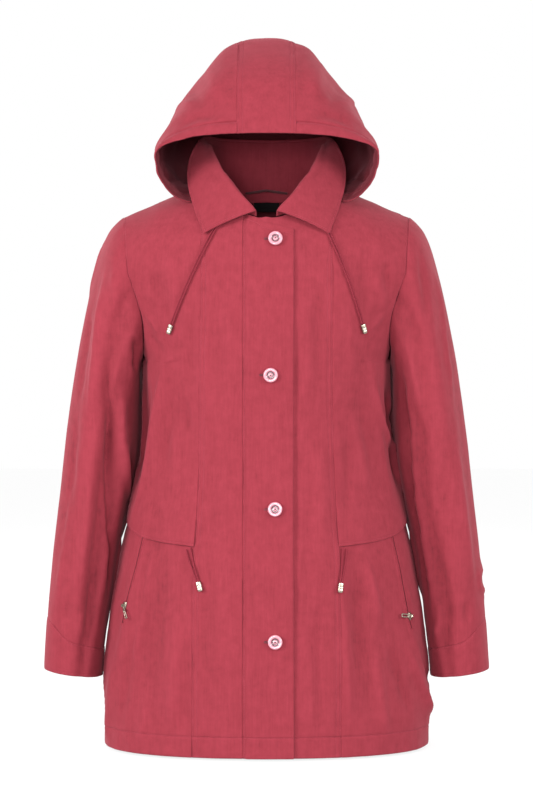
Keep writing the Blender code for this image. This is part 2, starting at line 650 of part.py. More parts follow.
def back_panel(name, upper):
    """The whole back, from side seam to side seam."""
    lift = overlap_lift(BACK, 0.0, upper)
    columns = evenly(-1.0 + SEAM_SHARE, 1.0 - SEAM_SHARE, BACK_COLUMNS)
    rows = []
    if upper:
        for r, level in enumerate(levels_above(OVERLAP[0].back_height, UPPER_ROWS)):
            row = []
            for place in columns:
                height = mix(overlap_height(BACK, place, 0.0), UNDERARM, r / UPPER_ROWS)
                here = level_of(height) if r <= UPPER_ROWS else ended_level(BACK, place, level)
                row.append((place, here))
            rows.append(row)
    else:
        for rise in evenly(0.0, 1.0, SKIRT_ROWS):
            row = []
            for place in columns:
                top = overlap_height(BACK, place, 0.0) + OVERLAP_DEPTH
                row.append((place, level_of(mix(HEM, top, rise))))
            rows.append(row)
    return wall(name, torso_surface(LEFT, BACK, lift), rows, -1, SHELL)


def placket_lift(place, level):
    """Level with the right front at its seam, then clear of the left front beneath."""
    out = torso_plain(LEFT, FRONT, place, min(level, 1.0)).x
    ramp = fade(out, PLACKET_RIGHT, PLACKET_RIGHT + PLACKET_RAMP)
    free = fade(out, 0.0, PLACKET_LEFT)
    return PLACKET_OUT * ramp + (PLACKET_FREE_OUT - PLACKET_OUT) * free


def placket_surface():
    return torso_surface(LEFT, FRONT, placket_lift)


def placket():
    rows = []
    steps = evenly(PLACKET_RIGHT + SEAM_GAP, PLACKET_RIGHT + PLACKET_RAMP, 2)
    steps += evenly(PLACKET_RIGHT + PLACKET_RAMP, PLACKET_LEFT, 3)[1:]
    for level in levels_above(HEM, TORSO_ROWS):
        row = []
        for out in steps:
            place = place_at(LEFT, FRONT, out, min(level, 1.0))
            top = mix(neck_level(FRONT, place), PLACKET_TOP, fade(out, PLACKET_NECK_END, 0.0))
            row.append((place, level if level <= 1 else mix(1.0, top, level - 1)))
        rows.append(row)
    return wall("placket", placket_surface(), rows, LEFT, SHELL)


# ------------------------------------------------------------------ sleeves


def armhole_edge(side):
    """The armhole from the shoulder tip down the front, under the arm and up the back."""
    levels = [min(level, 2.0 - SHOULDER_SHARE) for level in levels_above(UNDERARM - 0.02, 1)[1:]]
    front = [torso_plain(side, FRONT, 1.0, level) for level in reversed(levels)]
    back = [torso_plain(side, BACK, 1.0, level) for level in levels]
    return front, back


def along_line(points, share):
    """The point at a share of a line's length."""
    lengths = [(b - a).length for a, b in zip(points, points[1:])]
    left = share * sum(lengths)
    for a, b, length in zip(points, points[1:], lengths):
        if left <= length:
            return a.lerp(b, left / length)
        left -= length
    return points[-1].copy()


def sleeve_axis(side, place):
    """Middle of a sleeve ring, and half the way from its inner to its outer line."""
    inner_height = smooth_read(SLEEVE, "inner_height", place)
    inner_out = smooth_read(TORSO, "half_width", min(inner_height, UNDERARM))
    inner_out += SLEEVE_CLEAR * fade(place, 0.0, 0.05) + SLEEVE_SEAM
    forward = smooth_read(SLEEVE, "forward", place)
    outer = Vector((
        side * (smooth_read(SLEEVE, "outer", place) + SLEEVE_SEAM),
        -forward,
        smooth_read(SLEEVE, "outer_height", place),
    ))
    inner = Vector((side * inner_out, -forward, inner_height))
    return (outer + inner) / 2, (outer - inner) / 2


def square_to(half):
    """The direction along the sleeve, square to a ring's half width and to the depth."""
    return half.normalized().cross(Vector((0, 1, 0)))


def sleeve_fold_lift(fold, angle, place):
    start = Vector((fold.angle, fold.place * SLEEVE_SPREAD))
    end = Vector((fold.end_angle, fold.end_place * SLEEVE_SPREAD))
    here = Vector((angle, place * SLEEVE_SPREAD))
    run = end - start
    share = (here - start).dot(run) / run.length_squared
    aside = (here - start - run * share).length
    ends = fade(share, -0.15, 0.30) * (1 - fade(share, 0.80, 1.15))
    return fold.lift * ends * math.exp(-((aside / fold.half_angle) ** 2))


def sleeve_surface(side, extra=0.0):
    """Outer face of a sleeve: u is the angle round it in turns, v the place along it."""
    front, back = armhole_edge(side)
    start_middle, start_half = sleeve_axis(side, 0.0)
    start_depth = SLEEVE[0].half_depth

    def ring(turn):
        """The armhole's own form at this angle, in the sleeve's measures."""
        if turn <= 0.5:
            point = along_line(front, turn * 2)
        else:
            point = along_line(back, turn * 2 - 1)
        away = point + Vector((side * SLEEVE_SEAM, 0, 0)) - start_middle
        across = away.dot(start_half) / start_half.length_squared
        return across, away.y / start_depth, away.dot(square_to(start_half))

    def plain(turn, place):
        turn = turn % 1.0
        angle = turn * 2 * math.pi
        share = fade(place, 0.0, SLEEVE_BLEND)
        across, deep, aside = ring(turn)
        middle, half = sleeve_axis(side, place)
        depth = smooth_read(SLEEVE, "half_depth", place)
        return (
            middle
            + half * mix(across, math.cos(angle), share)
            + Vector((0, depth * mix(deep, -math.sin(angle), share), 0))
            + square_to(half) * aside * (1 - share)
        )

    def draped(turn, place):
        point = plain(turn, place)
        angle = (turn % 1.0) * 360
        lift = extra + sum(sleeve_fold_lift(f, angle, place) for f in SLEEVE_FOLDS if f.side == side)
        return point + slope_normal(plain, turn, max(place, DIFFERENCE), side) * lift

    return draped


def cuff_seam(turn):
    """Place of the cuff's slanted seam at an angle round the sleeve."""
    inward = (1 - math.cos(turn * 2 * math.pi)) / 2
    return mix(CUFF_SEAM_OUTER, CUFF_SEAM_INNER, fade(inward, 0.0, 0.5))


def sleeve(name, side):
    turns = [i / SLEEVE_COLUMNS for i in range(SLEEVE_COLUMNS)]
    rows = [
        [(turn, cuff_seam(turn) * share**CUFF_SHARE_GRADE) for turn in turns]
        for share in evenly(0.0, 1.0, SLEEVE_ROWS)
    ]
    return wall(name, sleeve_surface(side), rows, side, SHELL, closed=True)


def cuff(name, side):
    turns = [i / SLEEVE_COLUMNS for i in range(SLEEVE_COLUMNS)]
    rows = [
        [(turn, mix(cuff_seam(turn) + CUFF_GAP, 1.0, share)) for turn in turns]
        for share in evenly(0.0, 1.0, CUFF_ROWS)
    ]
    return wall(name, sleeve_surface(side, CUFF_OUT), rows, side, SHELL, closed=True)


# ------------------------------------------------------------------ collar


def neck_seam(side, turn):
    """Where the collar's visible face starts, and the level direction away from the neck."""
    face = BACK if turn < math.pi / 2 else FRONT
    reach = NECK_BACK if face == BACK else NECK_FRONT
    place = NECK_PLACE * math.sin(turn)
    point = torso_plain(side, face, place, neck_level(face, place))
    away = Vector((side * reach * math.sin(turn), SHOULDER_IN[0] * math.cos(turn), 0)).normalized()
    rise = COLLAR_STEP_UP + COLLAR_FRONT_UP * fade(turn, math.radians(140), math.radians(165))
    return point - away * COLLAR_STEP_IN + Vector((0, 0, rise)), away


def collar_section(place):
    """Corner points of the collar's visible face: neckline, roll, turned edge, outer edge."""
    reach = abs(place)
    sign = math.copysign(1, place)

    def corner(kind):
        return Vector((
            sign * smooth_read(COLLAR, kind + "_out", reach),
            smooth_read(COLLAR, kind + "_y", reach),
            smooth_read(COLLAR, kind + "_z", reach),
        ))

    neck, away = neck_seam(sign, math.radians(smooth_read(COLLAR, "turn", reach)))
    roll, edge = corner("roll"), corner("edge")
    turned = smooth_read(COLLAR, "turned", reach)
    over = roll + away * COLLAR_FOLD * turned + (edge - roll) * COLLAR_FLARE * (1 - turned)
    return neck, roll, over, edge


def collar_surface(place, share):
    """share 0 is the neckline seam, 1 the roll, 2 the far side of the turn, 3 the outer edge."""
    neck, roll, over, edge = collar_section(place)
    if share <= 1:
        return neck.lerp(roll, share)
    if share <= 2:
        crest = (roll - neck).normalized() * (over - roll).length * COLLAR_CREST
        middle = (roll + over) / 2 + crest
        t = share - 1
        return roll * (1 - t) ** 2 + middle * 2 * t * (1 - t) + over * t**2
    swell = Vector((0, 0, COLLAR_SWELL)) * math.sin((share - 2) * math.pi) * fade(abs(place), 0.5, 0.8)
    return over.lerp(edge, share - 2) + swell


def collar():
    places = evenly(-1.0, 1.0, COLLAR_COLUMNS)
    rows = [[(place, share) for place in places] for share in COLLAR_SHARES]
    return wall("collar", collar_surface, rows, 1, SHELL, COLLAR_CLOTH)


# ------------------------------------------------------------------ hood


def dome_point(side, face, out, depth):
    """The point of the shoulders that stands this far out and this far from their crest."""
    level = 1.5
    for _ in range(4):
        place = place_at(side, face, out, level)
        chest = abs(torso_row(side, face, place, CHEST).y)
        level = 1 + math.acos(depth / chest) / (math.pi / 2)
    return torso_plain(side, face, place, level)


def hood_ring_line(side):
    """The hood's neck seam, from its front end over the shoulder to the centre back."""
    points = []
    for share in evenly(0.0, 1.0, HOOD_RING_STEPS):
        if share <= HOOD_RING_TURN:
            depth = HOOD_RING_FRONT * (1 - share / HOOD_RING_TURN)
            point = dome_point(side, FRONT, HOOD_RING_OUT, depth)
        else:
            turn = (share - HOOD_RING_TURN) / (1 - HOOD_RING_TURN) * math.pi / 2
            out = HOOD_RING_OUT * math.cos(turn)
            point = dome_point(side, BACK, out, HOOD_RING_BACK * math.sin(turn))
        points.append(point + Vector((0, 0, HOOD_LIFT)))
    return points


def hood_ring(side, share):
    line = HOOD_RINGS[side]
    at = share * HOOD_RING_STEPS
    first = min(int(at), HOOD_RING_STEPS - 1)
    return line[first].lerp(line[first + 1], at - first)


def hood_rib(side, place, share):
    """A rib from its foot on the neck seam (0) to its apex over the centre line (1)."""
    foot = hood_ring(side, HOOD_RIB_END * place)
    apex_y = smooth_read(HOOD, "apex_y", place)
    apex_z = smooth_read(HOOD, "apex_z", place)
    half_width = smooth_read(HOOD, "half_width", place)
    widest = smooth_read(HOOD, "widest", place)
    power = 2 / smooth_read(HOOD, "fullness", place)
    foot_out = abs(foot.x)
    if share <= HOOD_WIDEST_AT:
        turn = share / HOOD_WIDEST_AT * math.pi / 2
        out = mix(foot_out, half_width, math.sin(turn))
        up = widest * (1 - math.cos(turn))
    else:
        turn = (share - HOOD_WIDEST_AT) / (1 - HOOD_WIDEST_AT) * math.pi / 2
        out = half_width * max(math.cos(turn), 0.0) ** power
        up = widest + (1 - widest) * math.sin(turn) ** power
    rise = hood_crown(place, share, out)
    return Vector((side * out, mix(foot.y, apex_y, up), mix(foot.z, apex_z, up) + rise))


def hood_crown(place, share, out):
    """How far a rib is raised on both sides of its apex, so that the crown is broad."""
    amount = fade(place, *HOOD_CROWN_FRONT) * (1 - fade(place, *HOOD_CROWN_BACK))
    amount *= fade(share, HOOD_WIDEST_AT, HOOD_CROWN_FROM)
    away = (out**2 - HOOD_CROWN_OUT**2) / (2 * HOOD_CROWN_OUT * HOOD_CROWN_REACH)
    flat = HOOD_FLAT * math.exp(-((out / HOOD_FLAT_REACH) ** 2))
    return amount * (HOOD_CROWN * math.exp(-(away**2)) - flat)


def hood_half(side):
    """The hood's plain face on one side: u runs from the foot to the apex, v from brim to back."""
    def plain(share, place):
        rib = hood_rib(side, min(max(place, 0.0), 1.0), min(max(share, 0.0), 1.0))
        ring = hood_ring(side, mix(HOOD_RIB_END, 1.0, min(max(share, 0.0), 1.0)))
        return rib.lerp(ring, fade(place, HOOD_GATHER, 1.0))
    return plain


def even_share(surface, place, target_out):
    """The share of a rib at which it stands this far out, near its apex."""
    low, high = 0.5, 1.0
    for _ in range(SEARCH_STEPS):
        middle = (low + high) / 2
        if abs(surface(middle, place).x) > target_out:
            low = middle
        else:
            high = middle
    return (low + high) / 2


def hood_draped(side):
    """The hood's face with its folds, which die out before the seam of the centre strip."""
    plain = hood_half(side)

    def draped(share, place):
        lift = hood_relief(share, place)
        return plain(share, place) + slope_normal(plain, share, place, -side) * lift

    return draped


def hood_relief(share, place):
    here = Vector((place, share * HOOD_ARCH))
    lift = 0.0
    for fold in HOOD_FOLDS:
        start = Vector((fold.place, fold.share * HOOD_ARCH))
        run = Vector((fold.end_place, fold.end_share * HOOD_ARCH)) - start
        at = (here - start).dot(run) / run.length_squared
        aside = (here - start - run * at).length
        ends = fade(at, -0.2, 0.25) * (1 - fade(at, 0.75, 1.2))
        lift += fold.lift * ends * math.exp(-((aside / fold.half_width) ** 2))
    return lift * (1 - fade(share, 0.70, 0.88))


def spread_shares(surface, place, first, last, count):
    """Shares along a rib whose points are evenly spaced."""
    fine = evenly(first, last, 60)
    points = [surface(share, place) for share in fine]
    lengths = [0.0]
    for a, b in zip(points, points[1:]):
        lengths.append(lengths[-1] + (b - a).length)
    shares = []
    for target in evenly(0.0, lengths[-1], count):
        i = max(k for k in range(60) if lengths[k] <= target + 1e-12)
        part = (target - lengths[i]) / (lengths[i + 1] - lengths[i])
        shares.append(mix(fine[i], fine[i + 1], part))
    return shares


def hood_places():
    return [share**HOOD_ROW_GRADE for share in evenly(0.0, 1.0, HOOD_ROWS)]


def hood_side(name, side):
    plain = hood_half(side)
    rows = []
    for place in hood_places():
        seam = even_share(plain, place, HOOD_CENTRE_HALF + SEAM_GAP / 2)
        shares = spread_shares(plain, place, 0.0, seam, HOOD_COLUMNS)
        rows.append([(share, place) for share in shares])
    return wall(name, hood_draped(side), rows, -side, SHELL)


def hood_centre():
    """The strip down the middle, from seam to seam."""
    left, right = hood_half(LEFT), hood_half(RIGHT)

    def across(out, place):
        """out runs from -1 at the right seam to 1 at the left seam."""
        half = left if out >= 0 else right
        share = even_share(half, place, abs(out) * (HOOD_CENTRE_HALF - SEAM_GAP / 2))
        point = half(share, place)
        return Vector((out * (HOOD_CENTRE_HALF - SEAM_GAP / 2), point.y, point.z))

    rows = [[(out, place) for out in evenly(-1.0, 1.0, 4)] for place in hood_places()]
    return wall("hood_centre", across, rows, 1, SHELL)


# ------------------------------------------------------------------ small pieces


def surface_frame(surface, place, level, side):
    """A matrix whose Z points out of the cloth and whose Y points up along it."""
    point = surface(place, level)
    out = slope_normal(surface, place, level, side)
    up = Vector((0, 0, 1))
    up = (up - out * up.dot(out)).normalized()
    across = up.cross(out).normalized()
    frame = Matrix((across, up, out)).transposed().to_4x4()
    frame.translation = point
    return frame


def button(spec):
    """A turned button: the profile goes round its own axis."""
    profile = bpy.data.meshes.new(spec.name)
    corners = [(BUTTON_RADIUS * out, 0.0, BUTTON_HEIGHT * up) for out, up in BUTTON_PROFILE]
    corners.append((0.0, 0.0, 0.0))
    profile.from_pydata(corners, [(i, i + 1) for i in range(len(corners) - 1)], [])
    profile.materials.append(BUTTON_FINISH)
    made = bpy.data.objects.new(spec.name, profile)
    PARTS.objects.link(made)
    turn = made.modifiers.new("Turn", "SCREW")
    turn.axis = "Z"
    turn.angle = math.tau
    turn.steps = BUTTON_SEGMENTS
    turn.render_steps = BUTTON_SEGMENTS
    turn.use_merge_vertices = True
    turn.merge_threshold = 0.00005
    surface = placket_surface()
    place, level = front_place(LEFT, spec.out, spec.height)
    frame = surface_frame(surface, place, level, LEFT)
    made.matrix_world = frame @ Matrix.Translation((0, 0, BUTTON_SHANK))
    return made


def front_place(side, out, height):
    """Place and level on the front of a point given by its distance out and its height."""
    if height <= CHEST:
        level = level_of(height)
        return place_at(side, FRONT, out, level), level
    place = place_at(side, FRONT, out, 1.0)
    for _ in range(PLACE_ROUNDS):
        low, high = 1.0, 2.0
        for _ in range(SEARCH_STEPS):
            level = (low + high) / 2
            if torso_plain(side, FRONT, place, level).z < height:
                low = level
            else:
                high = level
        place = place_at(side, FRONT, out, level)
    return place, level


def tube(name, points, diameter, finish):
    """A round cord through its points, with closed ends."""
    curve = bpy.data.curves.new(name, "CURVE")
    curve.dimensions = "3D"
    curve.bevel_depth = diameter / 2
    curve.bevel_resolution = 2
    curve.use_fill_caps = True
    line = curve.splines.new("POLY")
    line.points.add(len(points) - 1)
    for slot, point in zip(line.points, points):
        slot.co = (*point, 1.0)
    curve.materials.append(finish)
    made = bpy.data.objects.new(name, curve)
    PARTS.objects.link(made)
    return made


def skirt_surface(side):
    seam_place = princess_place(side, level_of(OVERLAP[0].front_height))
    return torso_surface(side, FRONT, overlap_lift(FRONT, seam_place, upper=False))


def drawcord(cord):
    """Two strands that lie on the cloth and meet in a pressed metal end."""
    on_skirt = cord.start_height < WAIST_TURN
    surface = skirt_surface(cord.side) if on_skirt else torso_surface(cord.side, FRONT)
    run = Vector((cord.end_out - cord.start_out, cord.end_height - cord.start_height))
    count = max(6, round(run.length / CORD_STEP))
    direction = run.normalized()
    square = Vector((-direction.y, direction.x))
    for strand, sign in (("a", -1), ("b", 1)):
        points = []
        for share in evenly(0.0, 1.0, count):
            spread = mix(cord.spread, CORD_SPREAD_END, fade(share, 0.0, 1.0)) / 2
            aside = sign * spread + math.sin(share * math.pi) * cord.sag
            out = mix(cord.start_out, cord.end_out, share) + square.x * aside
            height = mix(cord.start_height, cord.end_height, share) + square.y * aside
            place, level = front_place(cord.side, out, height)
            lift = CORD_LIFT + CORD_END_LIFT * share
            out_of_cloth = slope_normal(surface, place, level, cord.side)
            points.append(surface(place, level) + out_of_cloth * lift)
        tube(cord.name + "_" + strand, points, CORD_DIAMETER, CORD_FINISH)
    place, level = front_place(cord.side, cord.end_out, cord.end_height)
    frame = surface_frame(surface, place, level, cord.side)
    turn = math.atan2(direction.x * cord.side, -direction.y)
    below = Vector((0, -END_LENGTH / 2 - SEAM_GAP * 2, CORD_LIFT + CORD_END_LIFT))
    lie = Matrix.Rotation(turn, 4, "Z") @ Matrix.Translation(below)
    metal_end(cord.name + "_end", frame @ lie)


def metal_end(name, frame):
    bpy.ops.mesh.primitive_cube_add(size=1.0)
    made = bpy.context.object
    made.name = name
    made.data.name = name
    made.data.transform(Matrix.Diagonal((END_WIDTH, END_LENGTH, END_DEPTH, 1.0)))
    made.matrix_world = frame
    round_edges(made, END_BEVEL, 2)
    finish_primitive(made, NICKEL)


def round_edges(made, width, segments):
    bevel = made.modifiers.new("Edges", "BEVEL")
    bevel.width = width
    bevel.segments = segments
    bevel.limit_method = "ANGLE"


def finish_primitive(made, finish):
    made.data.materials.clear()
    made.data.materials.append(finish)
    for collection in list(made.users_collection):
        collection.objects.unlink(made)
    PARTS.objects.link(made)


# ------------------------------------------------------------------ pocket zips


def box(name, size, centre):
    bpy.ops.mesh.primitive_cube_add(size=1.0)
    made = bpy.context.object
    made.name = name
    made.data.transform(Matrix.Translation(centre) @ Matrix.Diagonal((*size, 1.0)))
    return made


def rod(name, radius, length, centre, axis, sides=14):
    bpy.ops.mesh.primitive_cylinder_add(radius=radius, depth=length, vertices=sides)
    made = bpy.context.object
    made.name = name
    turn = Matrix.Rotation(math.pi / 2, 4, "Y") if axis == "X" else Matrix.Identity(4)
    made.data.transform(Matrix.Translation(centre) @ turn)
    return made


def baked(made):
    """The object's modifiers made part of its mesh."""
    shape = bpy.context.evaluated_depsgraph_get()
    mesh = bpy.data.meshes.new_from_object(made.evaluated_get(shape))
    made.modifiers.clear()
    old, made.data = made.data, mesh
    bpy.data.meshes.remove(old)


def joined(base, others, operation):
    """Others joined to, or cut from, the base, and then removed."""
    for other in others:
        step = base.modifiers.new(operation.title(), "BOOLEAN")
        step.operation = operation
        step.solver = "EXACT"
        step.object = other
        baked(base)
        bpy.data.objects.remove(other)
    return base


def slider_place(spec):
    out = mix(spec.top_out, spec.low_out, spec.slider_share)
    height = mix(spec.top_height, spec.low_height, spec.slider_share)
    return front_place(spec.side, out, height)


def slider_frame(spec):
    """On the cloth at the slider, Y up along the zip."""
    surface = skirt_surface(spec.side)
    place, level = slider_place(spec)
    frame = surface_frame(surface, place, level, spec.side)
    return frame @ Matrix.Rotation(zip_lean(spec), 4, "Z")


def zip_lean(spec):
    """The zip's slant, as a turn about the cloth's outward direction."""
    return spec.side * math.atan2(spec.low_out - spec.top_out, spec.top_height - spec.low_height)


def tab_tilt(spec):
    """The tab's own direction, stated from straight down, as a turn on the slider."""
    return Matrix.Rotation(math.radians(spec.tab_angle) - zip_lean(spec), 4, "Z")


def zip_tape(spec):
    """The closed zip as a narrow raised strip along the pocket's slit."""
    surface = skirt_surface(spec.side)

    def strip(across, along):
        out = mix(spec.top_out, spec.low_out, along)
        height = mix(spec.top_height, spec.low_height, along)
        place, level = front_place(spec.side, out + across * ZIP_WIDTH / 2, height)
        point = surface(place, level)
        return point + slope_normal(surface, place, level, spec.side) * (ZIP_HEIGHT + SEAM_GAP)

    alongs = evenly(ZIP_HIDDEN, 1.0, ZIP_ROWS)
    rows = [[(across, along) for across in (-1.0, 1.0)] for along in alongs]
    wall("pocket_zip_" + spec.name, strip, rows, -spec.side, SHELL_DARK, thickness=ZIP_HEIGHT)


def slider(spec):
    """The slider's body with two lugs and the pin that the tab swings on."""
    name = "zip_slider_" + spec.name
    base_low = ZIP_HEIGHT + SEAM_GAP * 2
    middle = base_low + SLIDER_HEIGHT / 2
    made = box(name, (SLIDER_WIDTH, SLIDER_LENGTH, SLIDER_HEIGHT), (0, 0, middle))
    round_edges(made, SLIDER_BEVEL, 1)
    baked(made)
    top = base_low + SLIDER_HEIGHT
    parts = []
    tilt = tab_tilt(spec)
    lug_across = TAB_NECK / 2 + SEAM_GAP + LUG_WIDTH / 2
    for sign in (-1, 1):
        size = (LUG_WIDTH, LUG_LENGTH, LUG_RISE + LUG_ROOT)
        lug = box("lug", size, (sign * lug_across, 0, top + (LUG_RISE - LUG_ROOT) / 2))
        lug.data.transform(tilt)
        parts.append(lug)
    pin = rod("pin", PIN_RADIUS, 2 * lug_across + LUG_WIDTH / 2, (0, 0, pin_height()), "X", 10)
    pin.data.transform(tilt)
    parts.append(pin)
    joined(made, parts, "UNION")
    finish_primitive(made, NICKEL)
    made.matrix_world = slider_frame(spec)


def pin_height():
    """Height of the pin's axis over the cloth."""
    return ZIP_HEIGHT + SEAM_GAP * 2 + SLIDER_HEIGHT + LUG_RISE - PIN_RADIUS - PIN_COVER


def pull_tab(spec):
    """A flat tab with a window, on an eye round the slider's pin.  Its origin is on the pin."""
    name = "zip_pull_" + spec.name
    made = rod(name, TAB_EYE + TAB_EYE_WALL, TAB_NECK, (0, 0, 0), "X", 18)
    neck = box("neck", (TAB_NECK, TAB_NECK_LENGTH, TAB_THICKNESS), (0, -TAB_NECK_LENGTH / 2, 0))
    plate_top = -TAB_NECK_LENGTH + TAB_NECK_ROOT
    plate_middle = (plate_top - TAB_LENGTH) / 2
    plate_size = (TAB_WIDTH, plate_top + TAB_LENGTH, TAB_THICKNESS)
    plate = box("plate", plate_size, (0, plate_middle, 0))
    joined(made, [neck, plate], "UNION")
    hole = rod("hole", TAB_EYE, TAB_NECK * 3, (0, 0, 0), "X", 14)
    through = TAB_THICKNESS * 4
    middle = (0, plate_middle - TAB_NECK_ROOT, 0)
    window = box("window", (TAB_WINDOW[1], TAB_WINDOW[0], through), middle)
    joined(made, [hole, window], "DIFFERENCE")
    finish_primitive(made, NICKEL)
    swing = Matrix.Rotation(math.radians(TAB_REST), 4, "X")
    tilt = tab_tilt(spec)
    made.matrix_world = slider_frame(spec) @ Matrix.Translation((0, 0, pin_height())) @ tilt @ swing


# ------------------------------------------------------------------ at the back of the neck


def hanger():
    """A hanging loop sewn at both ends inside the collar."""
    points = []
    for share in evenly(-1.0, 1.0, 14):
        seat = collar_surface(share * HANGER_REACH, 0.10)
        middle = math.cos(share * math.pi / 2)
        off = HANGER_SEAT + HANGER_OUT * middle**1.5
        rise = HANGER_RISE + HANGER_ARCH * middle
        points.append(Vector((share * HANGER_HALF, seat.y - off, seat.z + rise)))
    tube("hanging_loop", points, HANGER_DIAMETER, SHELL_DARK)


def label():
    """A plain woven tab below the loop, on the inside of the back."""
    made = box("neck_label", LABEL_SIZE, (0, 0, 0))
    made.data.name = "neck_label"
    made.location = LABEL_PLACE
    finish_primitive(made, LABEL_FINISH)


# ------------------------------------------------------------------ the whole garment


def clear_scene():
    for item in list(bpy.data.objects):
        bpy.data.objects.remove(item, do_unlink=True)


clear_scene()
PARTS = bpy.data.collections.new("anorak")
bpy.context.scene.collection.children.link(PARTS)
SHELL = material("peached_microfibre", (0.50, 0.065, 0.095), 0.85)
SHELL_DARK = material("peached_microfibre_inside", (0.33, 0.04, 0.06), 0.9)
CORD_FINISH = material("braided_cord", (0.42, 0.05, 0.075), 0.8)
BUTTON_FINISH = material("pearl_polyester", (0.80, 0.45, 0.50), 0.3)
NICKEL = material("nickel", (0.70, 0.69, 0.66), 0.25, 1.0)
LABEL_FINISH = material("woven_label", (0.03, 0.02, 0.025), 0.8)
HOOD_RINGS = {side: hood_ring_line(side) for side in (RIGHT, LEFT)}


def build():
    for word, side in (("right", RIGHT), ("left", LEFT)):
        first_out = -PLACKET_RIGHT if side == RIGHT else PLACKET_UNDER
        centre_front("centre_front_" + word, side, first_out)
        side_front("side_front_" + word, side)
        skirt_front("skirt_front_" + word, side)
        sleeve("sleeve_" + word, side)
        cuff("cuff_" + word, side)
        hood_side("hood_side_" + word, side)
    back_panel("back_upper", upper=True)
    back_panel("back_lower", upper=False)
    placket()
    collar()
    hood_centre()
    for spec in BUTTONS:
        button(spec)
    for cord in DRAWCORDS:
        drawcord(cord)
    for spec in ZIPS:
        zip_tape(spec)
        slider(spec)
        pull_tab(spec)
    hanger()
    label()


build()
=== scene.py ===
"""Looks of the hooded anorak: cloth shells with their creases, sewing, trims and studio.

Metres, +Z up, the front faces -Y and the wearer's left is +X.  Each cloth piece is a thin shell on
the form of the solid that it stands for, worked out from the same sections.  On the torso a point
has a place (0 on the centre line, 1 at the side seam or the armhole) and a level (0 at the hem, 1
at the chest line, 2 at the shoulder seam).
"""

from __future__ import annotations

import json
import logging
import math
from dataclasses import dataclass, field
from enum import Enum
from typing import Callable, NamedTuple, Optional, Sequence

